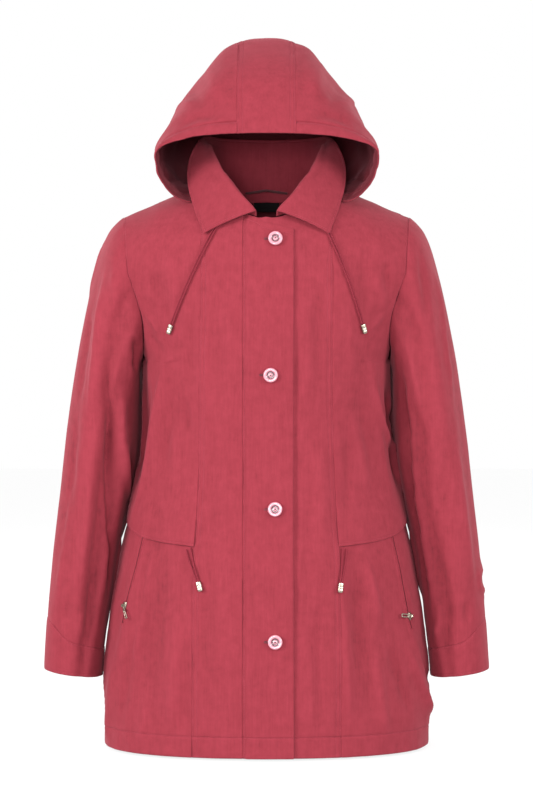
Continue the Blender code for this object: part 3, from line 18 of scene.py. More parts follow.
import bmesh
import bpy
import numpy as np
from mathutils import Matrix, Vector
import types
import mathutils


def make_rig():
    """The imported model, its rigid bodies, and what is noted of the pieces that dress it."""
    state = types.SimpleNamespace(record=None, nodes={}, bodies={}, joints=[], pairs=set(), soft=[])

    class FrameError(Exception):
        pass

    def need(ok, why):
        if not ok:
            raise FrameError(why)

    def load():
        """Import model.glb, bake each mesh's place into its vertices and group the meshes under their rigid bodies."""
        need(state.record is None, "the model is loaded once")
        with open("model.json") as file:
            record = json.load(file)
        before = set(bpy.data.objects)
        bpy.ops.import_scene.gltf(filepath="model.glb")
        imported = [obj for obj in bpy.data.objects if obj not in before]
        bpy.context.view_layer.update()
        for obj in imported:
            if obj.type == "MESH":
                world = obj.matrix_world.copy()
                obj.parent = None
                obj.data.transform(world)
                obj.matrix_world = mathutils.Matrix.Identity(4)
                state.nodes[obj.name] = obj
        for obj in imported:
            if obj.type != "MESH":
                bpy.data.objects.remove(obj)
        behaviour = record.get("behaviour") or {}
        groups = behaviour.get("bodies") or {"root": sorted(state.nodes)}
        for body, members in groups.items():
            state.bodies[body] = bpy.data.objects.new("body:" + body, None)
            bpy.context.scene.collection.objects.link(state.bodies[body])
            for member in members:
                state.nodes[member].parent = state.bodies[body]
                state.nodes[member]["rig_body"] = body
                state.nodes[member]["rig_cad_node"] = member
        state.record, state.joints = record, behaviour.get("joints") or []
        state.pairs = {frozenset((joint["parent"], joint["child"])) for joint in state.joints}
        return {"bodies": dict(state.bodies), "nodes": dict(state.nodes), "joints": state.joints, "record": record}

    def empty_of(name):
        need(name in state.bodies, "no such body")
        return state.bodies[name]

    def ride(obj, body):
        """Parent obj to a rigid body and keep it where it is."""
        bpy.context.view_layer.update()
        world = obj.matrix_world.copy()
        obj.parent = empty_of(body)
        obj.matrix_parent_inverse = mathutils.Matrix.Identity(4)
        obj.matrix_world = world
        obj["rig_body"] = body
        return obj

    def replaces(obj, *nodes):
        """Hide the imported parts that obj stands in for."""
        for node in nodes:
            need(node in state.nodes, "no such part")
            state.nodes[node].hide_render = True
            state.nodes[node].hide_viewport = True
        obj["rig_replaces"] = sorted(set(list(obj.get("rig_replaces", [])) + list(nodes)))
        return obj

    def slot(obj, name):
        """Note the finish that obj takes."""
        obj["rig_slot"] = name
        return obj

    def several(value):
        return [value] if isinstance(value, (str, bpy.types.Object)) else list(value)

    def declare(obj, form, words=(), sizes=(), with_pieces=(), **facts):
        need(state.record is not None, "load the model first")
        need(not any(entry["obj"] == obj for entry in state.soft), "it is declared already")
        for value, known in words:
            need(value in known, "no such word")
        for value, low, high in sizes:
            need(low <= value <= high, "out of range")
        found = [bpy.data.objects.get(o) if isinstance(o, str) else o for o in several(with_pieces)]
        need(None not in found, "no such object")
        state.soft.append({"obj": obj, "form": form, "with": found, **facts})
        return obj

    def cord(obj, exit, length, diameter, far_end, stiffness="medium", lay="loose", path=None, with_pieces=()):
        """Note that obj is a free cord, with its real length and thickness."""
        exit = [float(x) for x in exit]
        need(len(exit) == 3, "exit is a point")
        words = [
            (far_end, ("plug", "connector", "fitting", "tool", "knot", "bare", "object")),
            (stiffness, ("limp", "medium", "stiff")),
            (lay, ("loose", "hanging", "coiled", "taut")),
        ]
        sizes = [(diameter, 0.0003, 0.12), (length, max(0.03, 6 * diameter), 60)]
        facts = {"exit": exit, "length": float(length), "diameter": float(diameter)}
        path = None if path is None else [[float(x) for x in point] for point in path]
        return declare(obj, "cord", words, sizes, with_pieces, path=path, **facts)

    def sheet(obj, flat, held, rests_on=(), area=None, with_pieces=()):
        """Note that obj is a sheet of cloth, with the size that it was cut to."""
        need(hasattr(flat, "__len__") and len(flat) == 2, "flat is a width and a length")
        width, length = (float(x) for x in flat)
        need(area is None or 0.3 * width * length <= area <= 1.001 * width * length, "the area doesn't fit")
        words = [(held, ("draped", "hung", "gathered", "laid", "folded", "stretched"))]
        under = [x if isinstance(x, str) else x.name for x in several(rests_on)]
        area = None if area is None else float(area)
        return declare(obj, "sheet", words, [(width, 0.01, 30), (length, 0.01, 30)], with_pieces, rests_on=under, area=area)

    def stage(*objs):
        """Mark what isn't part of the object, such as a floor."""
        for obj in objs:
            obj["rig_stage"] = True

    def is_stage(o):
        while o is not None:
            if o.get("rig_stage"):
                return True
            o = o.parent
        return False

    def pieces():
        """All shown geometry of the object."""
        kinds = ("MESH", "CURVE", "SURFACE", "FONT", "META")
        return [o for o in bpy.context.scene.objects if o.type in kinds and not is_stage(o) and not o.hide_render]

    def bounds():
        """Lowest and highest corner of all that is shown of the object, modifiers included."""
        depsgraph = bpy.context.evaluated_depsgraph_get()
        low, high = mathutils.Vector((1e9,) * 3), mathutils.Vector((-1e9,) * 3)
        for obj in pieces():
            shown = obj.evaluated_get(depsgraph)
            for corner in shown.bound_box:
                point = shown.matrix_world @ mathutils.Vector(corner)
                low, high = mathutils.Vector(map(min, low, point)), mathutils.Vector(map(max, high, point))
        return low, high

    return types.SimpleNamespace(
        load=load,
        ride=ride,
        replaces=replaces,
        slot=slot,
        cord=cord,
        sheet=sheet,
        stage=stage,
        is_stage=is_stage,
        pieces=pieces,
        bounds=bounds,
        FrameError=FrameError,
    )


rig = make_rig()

LOG = logging.getLogger("anorak")
Array = np.ndarray
Surface = Callable[[Array, Array], Array]
MM = 0.001

# ------------------------------------------------------------------ sizes shared with the solids

CLOTH = 0.0020            # peached shell, thin wadding and lining together
COLLAR_CLOTH = 0.0022     # two shells and an interlining
SEAM_GAP = 0.0003
SEAM_SHARE = 0.0003       # left beside an upright seam, as a share of the half front
SHOULDER_SHARE = 0.0012   # left at the shoulder seam, as a share of the roll
HEM = -0.750
UNDERARM = -0.2226
CHEST = -0.100
SQUARENESS = 0.045
NECK_PLACE = 0.42
SHOULDER_IN = (0.0880, 0.0280)
SHOULDER_TIP = (0.2002, -0.0182)
NECK_FRONT, NECK_BACK = 0.1180, 0.0750
RISE_FRONT, RISE_BACK = 0.0420, 0.0095
RIGHT, LEFT = -1, 1       # the wearer's sides
FRONT, BACK = -1, 1
SIDES = (("right", RIGHT), ("left", LEFT))
GARMENT = "garment"       # the body that all cloth rides on
EYE_DISTANCE = 3.0        # from the camera to the plane through the shoulders
EYE_HEIGHT = -0.273


class Section(NamedTuple):
    """One level section of the torso."""

    height: float
    half_width: float
    front: float
    back: float


TORSO = [
    Section(-0.7500, 0.2262, 0.1510, 0.1420),
    Section(-0.6500, 0.2250, 0.1500, 0.1400),
    Section(-0.6090, 0.2205, 0.1490, 0.1380),
    Section(-0.4970, 0.2060, 0.1440, 0.1300),
    Section(-0.4420, 0.1958, 0.1380, 0.1210),
    Section(-0.3440, 0.1765, 0.1330, 0.1080),
    Section(-0.2226, 0.1736, 0.1405, 0.1190),
    Section(-0.2080, 0.1776, 0.1408, 0.1210),
    Section(-0.1880, 0.1846, 0.1408, 0.1235),
    Section(-0.1600, 0.1968, 0.1395, 0.1260),
    Section(-0.1300, 0.2150, 0.1360, 0.1265),
    Section(-0.1000, 0.2340, 0.1310, 0.1250),
]


class Armhole(NamedTuple):
    """How far round its oval a section comes, in degrees."""

    height: float
    turn: float


ARMHOLE = [
    Armhole(-0.2226, 90.0),
    Armhole(-0.2190, 80.2),
    Armhole(-0.2080, 70.7),
    Armhole(-0.1880, 62.4),
    Armhole(-0.1600, 56.4),
    Armhole(-0.1300, 52.9),
    Armhole(-0.1000, 50.8),
]


class Seam(NamedTuple):
    """The long front seam."""

    height: float
    out: float


PRINCESS = [
    Seam(-0.750, 0.1005),
    Seam(-0.500, 0.0990),
    Seam(-0.440, 0.0950),
    Seam(-0.340, 0.0905),
    Seam(-0.220, 0.0895),
    Seam(-0.100, 0.0890),
]


class Overlap(NamedTuple):
    """Lower edge of the upper panels, from the long seam (0) to the side seam (1)."""

    place: float
    front_height: float
    back_height: float


OVERLAP = [
    Overlap(0.00, -0.4695, -0.4720),
    Overlap(0.40, -0.4605, -0.4680),
    Overlap(0.70, -0.4470, -0.4540),
    Overlap(1.00, -0.4345, -0.4345),
]

OVERLAP_DEPTH = 0.022     # how far the skirt runs up behind the upper panels
OVERLAP_OUT = 0.0014
OVERLAP_IN = 0.0018
OVERLAP_FADE = 0.050
OVERLAP_LIP = 0.004


class Fold(NamedTuple):
    """A broad fold of the torso, from one place to another."""

    side: int
    face: int
    place: float
    height: float
    end_place: float
    end_height: float
    half_width: float
    lift: float


FOLDS = [
    Fold(RIGHT, FRONT, 0.56, -0.215, 0.66, -0.400, 0.014, 0.0040),
    Fold(LEFT, FRONT, 0.58, -0.220, 0.70, -0.395, 0.014, 0.0040),
    Fold(RIGHT, FRONT, 0.78, -0.235, 0.86, -0.380, 0.016, -0.0030),
    Fold(LEFT, FRONT, 0.80, -0.240, 0.88, -0.385, 0.016, -0.0030),
    Fold(RIGHT, FRONT, 0.60, -0.515, 0.68, -0.640, 0.016, 0.0040),
    Fold(RIGHT, FRONT, 0.50, -0.560, 0.46, -0.730, 0.020, -0.0030),
    Fold(LEFT, FRONT, 0.56, -0.520, 0.50, -0.700, 0.020, -0.0030),
    Fold(LEFT, FRONT, 0.66, -0.590, 0.86, -0.725, 0.018, 0.0055),
    Fold(RIGHT, FRONT, 0.72, -0.640, 0.84, -0.745, 0.016, 0.0040),
    Fold(RIGHT, FRONT, 0.20, -0.330, 0.21, -0.720, 0.020, 0.0022),
    Fold(LEFT, FRONT, 0.24, -0.300, 0.23, -0.700, 0.020, 0.0022),
    Fold(RIGHT, BACK, 0.30, -0.200, 0.34, -0.420, 0.022, 0.0040),
    Fold(LEFT, BACK, 0.36, -0.180, 0.30, -0.430, 0.022, 0.0035),
    Fold(RIGHT, BACK, 0.72, -0.225, 0.60, -0.400, 0.020, -0.0035),
    Fold(LEFT, BACK, 0.68, -0.220, 0.62, -0.410, 0.020, -0.0030),
    Fold(RIGHT, BACK, 0.38, -0.520, 0.46, -0.740, 0.022, 0.0050),
    Fold(LEFT, BACK, 0.30, -0.510, 0.26, -0.740, 0.022, 0.0045),
    Fold(RIGHT, BACK, 0.70, -0.530, 0.78, -0.730, 0.020, -0.0040),
    Fold(LEFT, BACK, 0.64, -0.530, 0.74, -0.740, 0.020, 0.0040),
]

FOLD_SPREAD = 0.30        # metres of cloth across the half torso, for a fold's own width


class Sleeve(NamedTuple):
    """One ring of the sleeve."""

    place: float
    outer: float
    outer_height: float
    inner_height: float
    half_depth: float
    forward: float


SLEEVE = [
    Sleeve(0.00, 0.2002, -0.0182, -0.2226, 0.086, 0.000),
    Sleeve(0.05, 0.2110, -0.0275, -0.2370, 0.087, 0.000),
    Sleeve(0.10, 0.2205, -0.0395, -0.2520, 0.086, 0.000),
    Sleeve(0.17, 0.2300, -0.0625, -0.2700, 0.084, 0.000),
    Sleeve(0.26, 0.2422, -0.1078, -0.2930, 0.080, 0.001),
    Sleeve(0.35, 0.2530, -0.1570, -0.3200, 0.077, 0.002),
    Sleeve(0.45, 0.2646, -0.2198, -0.3600, 0.073, 0.004),
    Sleeve(0.57, 0.2772, -0.3094, -0.4150, 0.069, 0.007),
    Sleeve(0.69, 0.2870, -0.3990, -0.4750, 0.064, 0.010),
    Sleeve(0.80, 0.2968, -0.4886, -0.5400, 0.059, 0.012),
    Sleeve(0.91, 0.3045, -0.5782, -0.6060, 0.054, 0.013),
    Sleeve(1.00, 0.3087, -0.6454, -0.6560, 0.051, 0.013),
]

SLEEVE_CLEAR = 0.0032
SLEEVE_BLEND = 0.30
SLEEVE_SEAM = 0.0006
CUFF_SEAM_OUTER, CUFF_SEAM_INNER = 0.905, 0.930
CUFF_OUT = 0.0008
CUFF_GAP = 0.0010


class SleeveFold(NamedTuple):
    """A broad fold along the sleeve; 0 is its outer line, 90 the front."""

    side: int
    angle: float
    place: float
    end_angle: float
    end_place: float
    half_angle: float
    lift: float


SLEEVE_FOLDS = [
    SleeveFold(RIGHT, 104, 0.40, 122, 0.97, 13, -0.0085),
    SleeveFold(RIGHT, 136, 0.38, 146, 0.80, 12, 0.0040),
    SleeveFold(RIGHT, 62, 0.12, 80, 0.62, 15, 0.0040),
    SleeveFold(RIGHT, 84, 0.10, 96, 0.34, 13, -0.0045),
    SleeveFold(RIGHT, 30, 0.20, 40, 0.80, 16, -0.0030),
    SleeveFold(RIGHT, 214, 0.12, 214, 0.72, 16, 0.0140),
    SleeveFold(RIGHT, 228, 0.30, 244, 0.90, 14, -0.0075),
    SleeveFold(RIGHT, 284, 0.16, 268, 0.70, 16, 0.0050),
    SleeveFold(RIGHT, 318, 0.30, 322, 0.90, 15, -0.0040),
    SleeveFold(LEFT, 108, 0.36, 126, 0.95, 14, -0.0080),
    SleeveFold(LEFT, 140, 0.40, 148, 0.78, 12, 0.0035),
    SleeveFold(LEFT, 70, 0.14, 84, 0.70, 15, 0.0045),
    SleeveFold(LEFT, 90, 0.10, 104, 0.30, 13, -0.0040),
    SleeveFold(LEFT, 36, 0.26, 30, 0.86, 16, -0.0030),
    SleeveFold(LEFT, 214, 0.12, 214, 0.72, 16, 0.0140),
    SleeveFold(LEFT, 224, 0.34, 238, 0.92, 14, -0.0070),
    SleeveFold(LEFT, 278, 0.12, 272, 0.64, 16, 0.0045),
    SleeveFold(LEFT, 312, 0.34, 326, 0.88, 15, -0.0045),
]

SLEEVE_SPREAD = 57.3      # degrees of angle that one unit of place is weighed against


class Collar(NamedTuple):
    """The collar's visible face from the centre back (0) to its front end (1)."""

    place: float
    turn: float
    roll_out: float
    roll_y: float
    roll_z: float
    edge_out: float
    edge_y: float
    edge_z: float
    turned: float


COLLAR = [
    Collar(0.00, 0.0, 0.0000, 0.0760, 0.0800, 0.0000, 0.0775, 0.1000, 0.00),
    Collar(0.20, 23.0, 0.0330, 0.0690, 0.0800, 0.0335, 0.0700, 0.1000, 0.00),
    Collar(0.40, 48.0, 0.0620, 0.0460, 0.0810, 0.0640, 0.0465, 0.0990, 0.00),
    Collar(0.54, 82.0, 0.0780, 0.0080, 0.0820, 0.0835, 0.0080, 0.0970, 0.10),
    Collar(0.64, 100.0, 0.0762, -0.0200, 0.0810, 0.0965, -0.0190, 0.0860, 0.45),
    Collar(0.74, 116.0, 0.0700, -0.0530, 0.0650, 0.1080, -0.0430, 0.0560, 0.75),
    Collar(0.84, 135.0, 0.0570, -0.0850, 0.0390, 0.1085, -0.0670, 0.0240, 0.90),
    Collar(0.93, 154.0, 0.0360, -0.1070, 0.0080, 0.0990, -0.0930, -0.0120, 1.00),
    Collar(1.00, 171.0, 0.0130, -0.1190, -0.0185, 0.0850, -0.1210, -0.0480, 1.00),
]

COLLAR_STEP_IN = 0.0028
COLLAR_STEP_UP = 0.0012
COLLAR_FRONT_UP = 0.0020
COLLAR_FOLD = 0.0075
COLLAR_CREST = 0.45
COLLAR_FLARE = 0.25
COLLAR_SWELL = 0.0025


class Rib(NamedTuple):
    """A rib of the hood, from the brim (0) to the neck seam behind (1)."""

    place: float
    apex_y: float
    apex_z: float
    half_width: float
    widest: float
    fullness: float


HOOD = [
    Rib(0.00, -0.1250, 0.0865, 0.1522, 0.66, 2.50),
    Rib(0.10, -0.1100, 0.1250, 0.1516, 0.48, 1.74),
    Rib(0.22, -0.0830, 0.1700, 0.1513, 0.33, 1.61),
    Rib(0.36, -0.0330, 0.2130, 0.1497, 0.23, 1.54),
    Rib(0.48, 0.0250, 0.2401, 0.1471, 0.22, 1.55),
    Rib(0.60, 0.0800, 0.2184, 0.1415, 0.28, 1.65),
    Rib(0.72, 0.1220, 0.1680, 0.1340, 0.30, 1.80),
    Rib(0.84, 0.1340, 0.1030, 0.1230, 0.36, 2.00),
    Rib(0.93, 0.1230, 0.0480, 0.1130, 0.42, 2.00),
    Rib(1.00, 0.1020, 0.0050, 0.1050, 0.50, 2.00),
]

HOOD_RING_OUT = 0.1035
HOOD_RING_FRONT = 0.0780
HOOD_RING_BACK = 0.0970
HOOD_RING_STEPS = 60
HOOD_RING_TURN = 0.30
HOOD_RIB_END = 0.46
HOOD_LIFT = 0.0030
HOOD_CENTRE_HALF = 0.0400
HOOD_WIDEST_AT = 0.38
HOOD_GATHER = 0.70
HOOD_ARCH = 0.6
HOOD_CROWN, HOOD_CROWN_OUT, HOOD_CROWN_REACH = 0.0095, 0.0586, 0.0229
HOOD_CROWN_FRONT, HOOD_CROWN_BACK, HOOD_CROWN_FROM = (0.05, 0.30), (0.60, 0.80), 0.70
HOOD_FLAT, HOOD_FLAT_REACH = 0.0040, 0.0190


class HoodFold(NamedTuple):
    """A broad fold of the hood, by rib and share of its arch."""

    place: float
    share: float
    end_place: float
    end_share: float
    half_width: float
    lift: float


HOOD_FOLDS = [
    HoodFold(0.07, 0.05, 0.06, 0.80, 0.030, -0.0018),
    HoodFold(0.30, 0.30, 0.55, 0.15, 0.060, -0.0040),
    HoodFold(0.16, 0.45, 0.40, 0.40, 0.050, 0.0030),
    HoodFold(0.60, 0.45, 0.85, 0.30, 0.060, -0.0035),
]

PLACKET_RIGHT = -0.0322
PLACKET_LEFT = 0.0362
PLACKET_UNDER = -0.0210
PLACKET_OUT = 0.0025
PLACKET_FREE_OUT = 0.0032
PLACKET_RAMP = 0.0085
PLACKET_TOP = 1.25
PLACKET_NECK_END = -0.0150


class Button(NamedTuple):
    """Where a button's middle stands."""

    name: str
    out: float
    height: float


BUTTONS = [
    Button("button_1", 0.0117, -0.0573),
    Button("button_2", 0.0054, -0.2396),
    Button("button_3", 0.0113, -0.4193),
    Button("button_4", 0.0114, -0.5952),
]

BUTTON_RADIUS = 0.0097
BUTTON_HEIGHT = 0.0034
BUTTON_SHANK = 0.0009


class Drawcord(NamedTuple):
    """Two strands from a casing to a pressed metal end."""

    name: str
    side: int
    start_out: float
    start_height: float
    end_out: float
    end_height: float
    spread: float
    sag: float


DRAWCORDS = [
    Drawcord("hood_cord_right", RIGHT, 0.0660, -0.0360, 0.1270, -0.1715, 0.0034, 0.0030),
    Drawcord("hood_cord_left", LEFT, 0.0780, -0.0360, 0.1285, -0.1705, 0.0034, 0.0034),
    Drawcord("waist_cord_right", RIGHT, 0.1050, -0.4725, 0.0905, -0.5160, 0.0060, 0.0010),
    Drawcord("waist_cord_left", LEFT, 0.1045, -0.4725, 0.0985, -0.5175, 0.0060, 0.0010),
]

CORD_DIAMETER = 0.0020
CORD_LIFT = 0.0018
CORD_END_LIFT = 0.0010
CORD_STEP = 0.0100
CORD_SPREAD_END = 0.0024
WAIST_TURN = -0.3         # a cord that starts below this height lies on the skirt
END_WIDTH = 0.0068
END_LENGTH = 0.0125
END_DEPTH = 0.0040


class Zip(NamedTuple):
    """A pocket zip in the skirt: upper end, lower end, slider and how its tab hangs."""

    name: str
    side: int
    top_out: float
    top_height: float
    low_out: float
    low_height: float
    slider_share: float
    tab_angle: float


ZIPS = [
    Zip("right", RIGHT, 0.1665, -0.4460, 0.1925, -0.5770, 0.82, 34.0),
    Zip("left", LEFT, 0.1700, -0.4440, 0.1965, -0.5850, 0.88, -98.0),
]

ZIP_HIDDEN = 0.12
ZIP_WIDTH = 0.0042
ZIP_HEIGHT = 0.0012
SLIDER_LENGTH = 0.0100
SLIDER_WIDTH = 0.0062
SLIDER_HEIGHT = 0.0024
LUG_WIDTH = 0.0011
LUG_LENGTH = 0.0026
LUG_RISE = 0.0030
PIN_RADIUS = 0.0006
PIN_COVER = 0.0005
TAB_LENGTH = 0.0205
TAB_WIDTH = 0.0052
TAB_THICKNESS = 0.0012
TAB_EYE = 0.0010
TAB_EYE_WALL = 0.0009
TAB_NECK = 0.0022
TAB_NECK_LENGTH = 0.0064
TAB_WINDOW = (0.0105, 0.0024)
TAB_REST = 9.0

HANGER_HALF = 0.0300
HANGER_SEAT = 0.0024
HANGER_OUT = 0.0070
HANGER_RISE = 0.0040
HANGER_ARCH = 0.0045
HANGER_REACH = 0.20
HANGER_DIAMETER = 0.0034
LABEL_SIZE = (0.0360, 0.0008, 0.0130)
LABEL_PLACE = (0.0, 0.0704, 0.0030)
SEARCH_STEPS = 34         # halvings when a surface is searched for a distance


# ------------------------------------------------------------------ reading tables


class Table:
    """A short table of rows, read on a smooth curve between them by column name."""

    def __init__(self, rows: Sequence[NamedTuple]) -> None:
        """Keep each column as an array; the first one is the key.

        Args:
            rows: Rows of one named tuple type, in rising order of their first column.
        """
        names = rows[0]._fields
        self.columns = {name: np.array([getattr(row, name) for row in rows]) for name in names}
        self.key = self.columns[names[0]]

    def read(self, name: str, at: Array) -> Array:
        """Read a column.

        Args:
            name: The column's name.
            at: Values of the key, of any shape.

        Returns:
            The column's values there, held at the ends.
        """
        x, y = self.key, self.columns[name]
        last = len(x) - 1
        at = np.clip(at, x[0], x[-1])
        i = np.clip(np.searchsorted(x, at, side="right") - 1, 0, last - 1)
        order = np.arange(last + 1)
        low, high = np.maximum(order - 1, 0), np.minimum(order + 1, last)
        slope = (y[high] - y[low]) / (x[high] - x[low])
        span = x[i + 1] - x[i]
        t = (at - x[i]) / span
        start = (2 * t**3 - 3 * t**2 + 1) * y[i] + (t**3 - 2 * t**2 + t) * span * slope[i]
        end = (3 * t**2 - 2 * t**3) * y[i + 1] + (t**3 - t**2) * span * slope[i + 1]
        return start + end


def fade(value: Array, low: Array, high: Array) -> Array:
    """Rise from 0 at low to 1 at high, with a soft start and end.

    Args:
        value: Where to read it.
        low: The value that gives 0.
        high: The value that gives 1.

    Returns:
        The share between 0 and 1.
    """
    t = np.clip((value - low) / (high - low), 0.0, 1.0)
    return t * t * (3 - 2 * t)


def mix(a: Array, b: Array, share: Array) -> Array:
    """Return the value a share of the way from a to b."""
    return a + (b - a) * share


def unit(vectors: Array) -> Array:
    """Return the vectors at length 1."""
    return vectors / np.maximum(np.linalg.norm(vectors, axis=-1, keepdims=True), 1e-12)


def stack(x: Array, y: Array, z: Array) -> Array:
    """Return points from their three coordinates, spread to one shape."""
    return np.stack(np.broadcast_arrays(x, y, z), axis=-1).astype(float)


def runs(points: Array, axis: int = 0) -> Array:
    """Return how far along its line each point is; a grid's lines run along the given axis."""
    steps = np.linalg.norm(np.diff(points, axis=axis), axis=-1)
    return np.insert(np.cumsum(steps, axis=axis), 0, 0.0, axis=axis)


def read_line(at: Array, run: Array, line: Array) -> Array:
    """Return the points of a line at the given distances along it."""
    return np.stack([np.interp(at, run, line[:, k]) for k in range(3)], axis=-1)


class PathPoint(NamedTuple):
    """A point of a path by its distance along it; a flat path has no z."""

    run: float
    x: float
    y: float
    z: float = 0.0


def smooth_path(path: Array, step: float) -> Array:
    """Return a path with points a step apart on a smooth curve through the given ones."""
    run = runs(path)
    table = Table([PathPoint(*row) for row in zip(run, *path.T)])
    at = np.linspace(0.0, run[-1], max(4, int(run[-1] / step)) + 1)
    return np.stack([table.read(name, at) for name in "xyz"[:path.shape[1]]], axis=-1)


def noise(x: Array, y: Array, seed: int) -> Array:
    """Smooth noise from -1 to 1 with a period of about one unit.

    Args:
        x: First coordinate.
        y: Second coordinate.
        seed: Picks the pattern; the same seed gives the same noise.

    Returns:
        The noise at each point.
    """
    side = 64
    grid = np.random.default_rng(seed).uniform(-1, 1, (side, side))
    ix, iy = np.floor(x).astype(int), np.floor(y).astype(int)
    tx, ty = x - ix, y - iy
    tx, ty = tx * tx * (3 - 2 * tx), ty * ty * (3 - 2 * ty)
    ix0, ix1, iy0, iy1 = ix % side, (ix + 1) % side, iy % side, (iy + 1) % side
    low = mix(grid[ix0, iy0], grid[ix1, iy0], tx)
    high = mix(grid[ix0, iy1], grid[ix1, iy1], tx)
    return mix(low, high, ty)


# ------------------------------------------------------------------ the solids' own forms


class TorsoForm:
    """The torso's surface: level sections up to the chest, then a roll to the shoulder seam."""

    def __init__(self) -> None:
        """Set up the tables."""
        self.sections = Table(TORSO)
        self.armhole = Table(ARMHOLE)
        self.princess = Table(PRINCESS)
        self.overlap = Table(OVERLAP)

    def row(self, side: int, face: int, place: Array, height: Array) -> Array:
        """A point on a level section.

        Args:
            side: RIGHT or LEFT.
            face: FRONT or BACK.
            place: 0 on the centre line, 1 at the side seam or the armhole.
            height: Level of the section.

        Returns:
            The points.
        """
        depth = self.sections.read("front" if face == FRONT else "back", height)
        turn = np.where(height <= UNDERARM, 90.0, self.armhole.read("turn", height))
        angle = place * np.radians(turn)
        swell = 1 + SQUARENESS * np.sin(2 * angle) ** 2
        half_width = self.sections.read("half_width", height)
        x = side * half_width * np.sin(angle) * swell
        return stack(x, face * depth * np.cos(angle) * swell, height)

    def crown(self, face: int, place: Array, chest: Array) -> Array:
        """Where a line of the roll would end over the shoulder seam.

        Args:
            face: FRONT or BACK.
            place: The line's place.
            chest: Its point on the chest line.

        Returns:
            The points, some of them beyond the neckline.
        """
        reach = np.abs(place)
        seam_out = np.abs(self.row(LEFT, face, np.array(NECK_PLACE), np.array(CHEST))[..., 0])
        rise = RISE_FRONT if face == FRONT else RISE_BACK
        inner_out = chest[..., 0] * SHOULDER_IN[0] / seam_out
        inner_up = SHOULDER_IN[1] + rise * np.maximum(1 - reach / NECK_PLACE, 0.0) ** 1.5
        at = (reach - NECK_PLACE) / (1 - NECK_PLACE)
        outer_out = np.copysign(mix(SHOULDER_IN[0], SHOULDER_TIP[0], at), chest[..., 0])
        outer_up = mix(SHOULDER_IN[1], SHOULDER_TIP[1], at)
        near = reach <= NECK_PLACE
        return stack(np.where(near, inner_out, outer_out), 0.0, np.where(near, inner_up, outer_up))

    def plain(self, side: int, face: int, place: Array, level: Array) -> Array:
        """The surface before any fold.

        Args:
            side: RIGHT or LEFT.
            face: FRONT or BACK.
            place: 0 on the centre line, 1 at the side seam or the armhole.
            level: 0 at the hem, 1 at the chest line, 2 at the shoulder seam.

        Returns:
            The points.
        """
        place, level = np.broadcast_arrays(np.asarray(place, float), np.asarray(level, float))
        low = self.row(side, face, place, mix(HEM, CHEST, np.minimum(level, 1.0)))
        chest = self.row(side, face, place, np.full(place.shape, CHEST))
        crown = self.crown(face, place, chest)
        roll = np.maximum(level - 1, 0.0)
        turn = roll * math.pi / 2
        high = stack(
            mix(chest[..., 0], crown[..., 0], roll),
            mix(chest[..., 1], crown[..., 1], 1 - np.cos(turn)),
            mix(chest[..., 2], crown[..., 2], np.sin(turn)),
        )
        return np.where((level <= 1)[..., None], low, high)

    def surface(self, side: int, face: int) -> Surface:
        """Return the plain surface of one side and face."""
        return lambda place, level: self.plain(side, face, place, level)

    def neck_level(self, face: int, place: Array) -> Array:
        """The level at which the neckline's oval, or else the shoulder seam, ends a panel."""
        place = np.asarray(place, float)
        share = np.minimum(1.0, np.abs(place) / NECK_PLACE)
        edge = (NECK_FRONT if face == FRONT else NECK_BACK) * np.sqrt(1 - share**2)
        depth = np.abs(self.row(LEFT, face, np.abs(place), np.full(place.shape, CHEST))[..., 1])
        level = 1 + np.arccos(np.minimum(1.0, edge / depth)) / (math.pi / 2)
        return np.minimum(level, 2.0 - SHOULDER_SHARE)

    def place_at(self, side: int, face: int, out: Array, level: Array) -> Array:
        """The place whose point stands a distance out from the centre line at a level."""
        out, level = np.broadcast_arrays(np.asarray(out, float), np.asarray(level, float))
        low, high = np.full(out.shape, -1.0), np.full(out.shape, 1.0)
        for _ in range(SEARCH_STEPS):
            middle = (low + high) / 2
            short = self.plain(side, face, middle, level)[..., 0] * side < out
            low, high = np.where(short, middle, low), np.where(short, high, middle)
        return (low + high) / 2

    def princess_place(self, side: int, level: Array) -> Array:
        """Place of the long front seam at a level."""
        level = np.asarray(level, float)
        low = np.minimum(level, 1.0)
        out = self.princess.read("out", mix(HEM, CHEST, low))
        below = self.place_at(side, FRONT, out, low)
        return mix(below, NECK_PLACE, np.maximum(level - 1, 0.0))

    def front_place(self, side: int, out: Array, height: Array) -> tuple[Array, Array]:
        """Place and level on the front of points given by distance out and height."""
        out, height = np.broadcast_arrays(np.asarray(out, float), np.asarray(height, float))
        level = level_of(height)
        place = self.place_at(side, FRONT, out, np.minimum(level, 1.0))
        high = height > CHEST
        for _ in range(12):
            low_level, high_level = np.full(out.shape, 1.0), np.full(out.shape, 2.0)
            for _ in range(SEARCH_STEPS):
                middle = (low_level + high_level) / 2
                short = self.plain(side, FRONT, place, middle)[..., 2] < height
                low_level = np.where(short, middle, low_level)
                high_level = np.where(short, high_level, middle)
            level = np.where(high, middle, level)
            place = np.where(high, self.place_at(side, FRONT, out, level), place)
            if not high.any():
                break
        return place, level

    def overlap_height(self, face: int, place: Array, seam_place: float) -> Array:
        """Height of the overlap's lower edge at a place."""
        share = np.clip((np.abs(place) - seam_place) / (1 - seam_place), 0.0, 1.0)
        return self.overlap.read("front_height" if face == FRONT else "back_height", share)

    def overlap_start(self, side: int) -> float:
        """Place of the long seam at the overlap's edge."""
        return float(self.princess_place(side, level_of(np.array(OVERLAP[0].front_height))))

    def overlap_lift(self, face: int, seam_place: float, upper: bool) -> Surface:
        """Lift near the overlap: the upper panel goes out and the skirt goes in."""

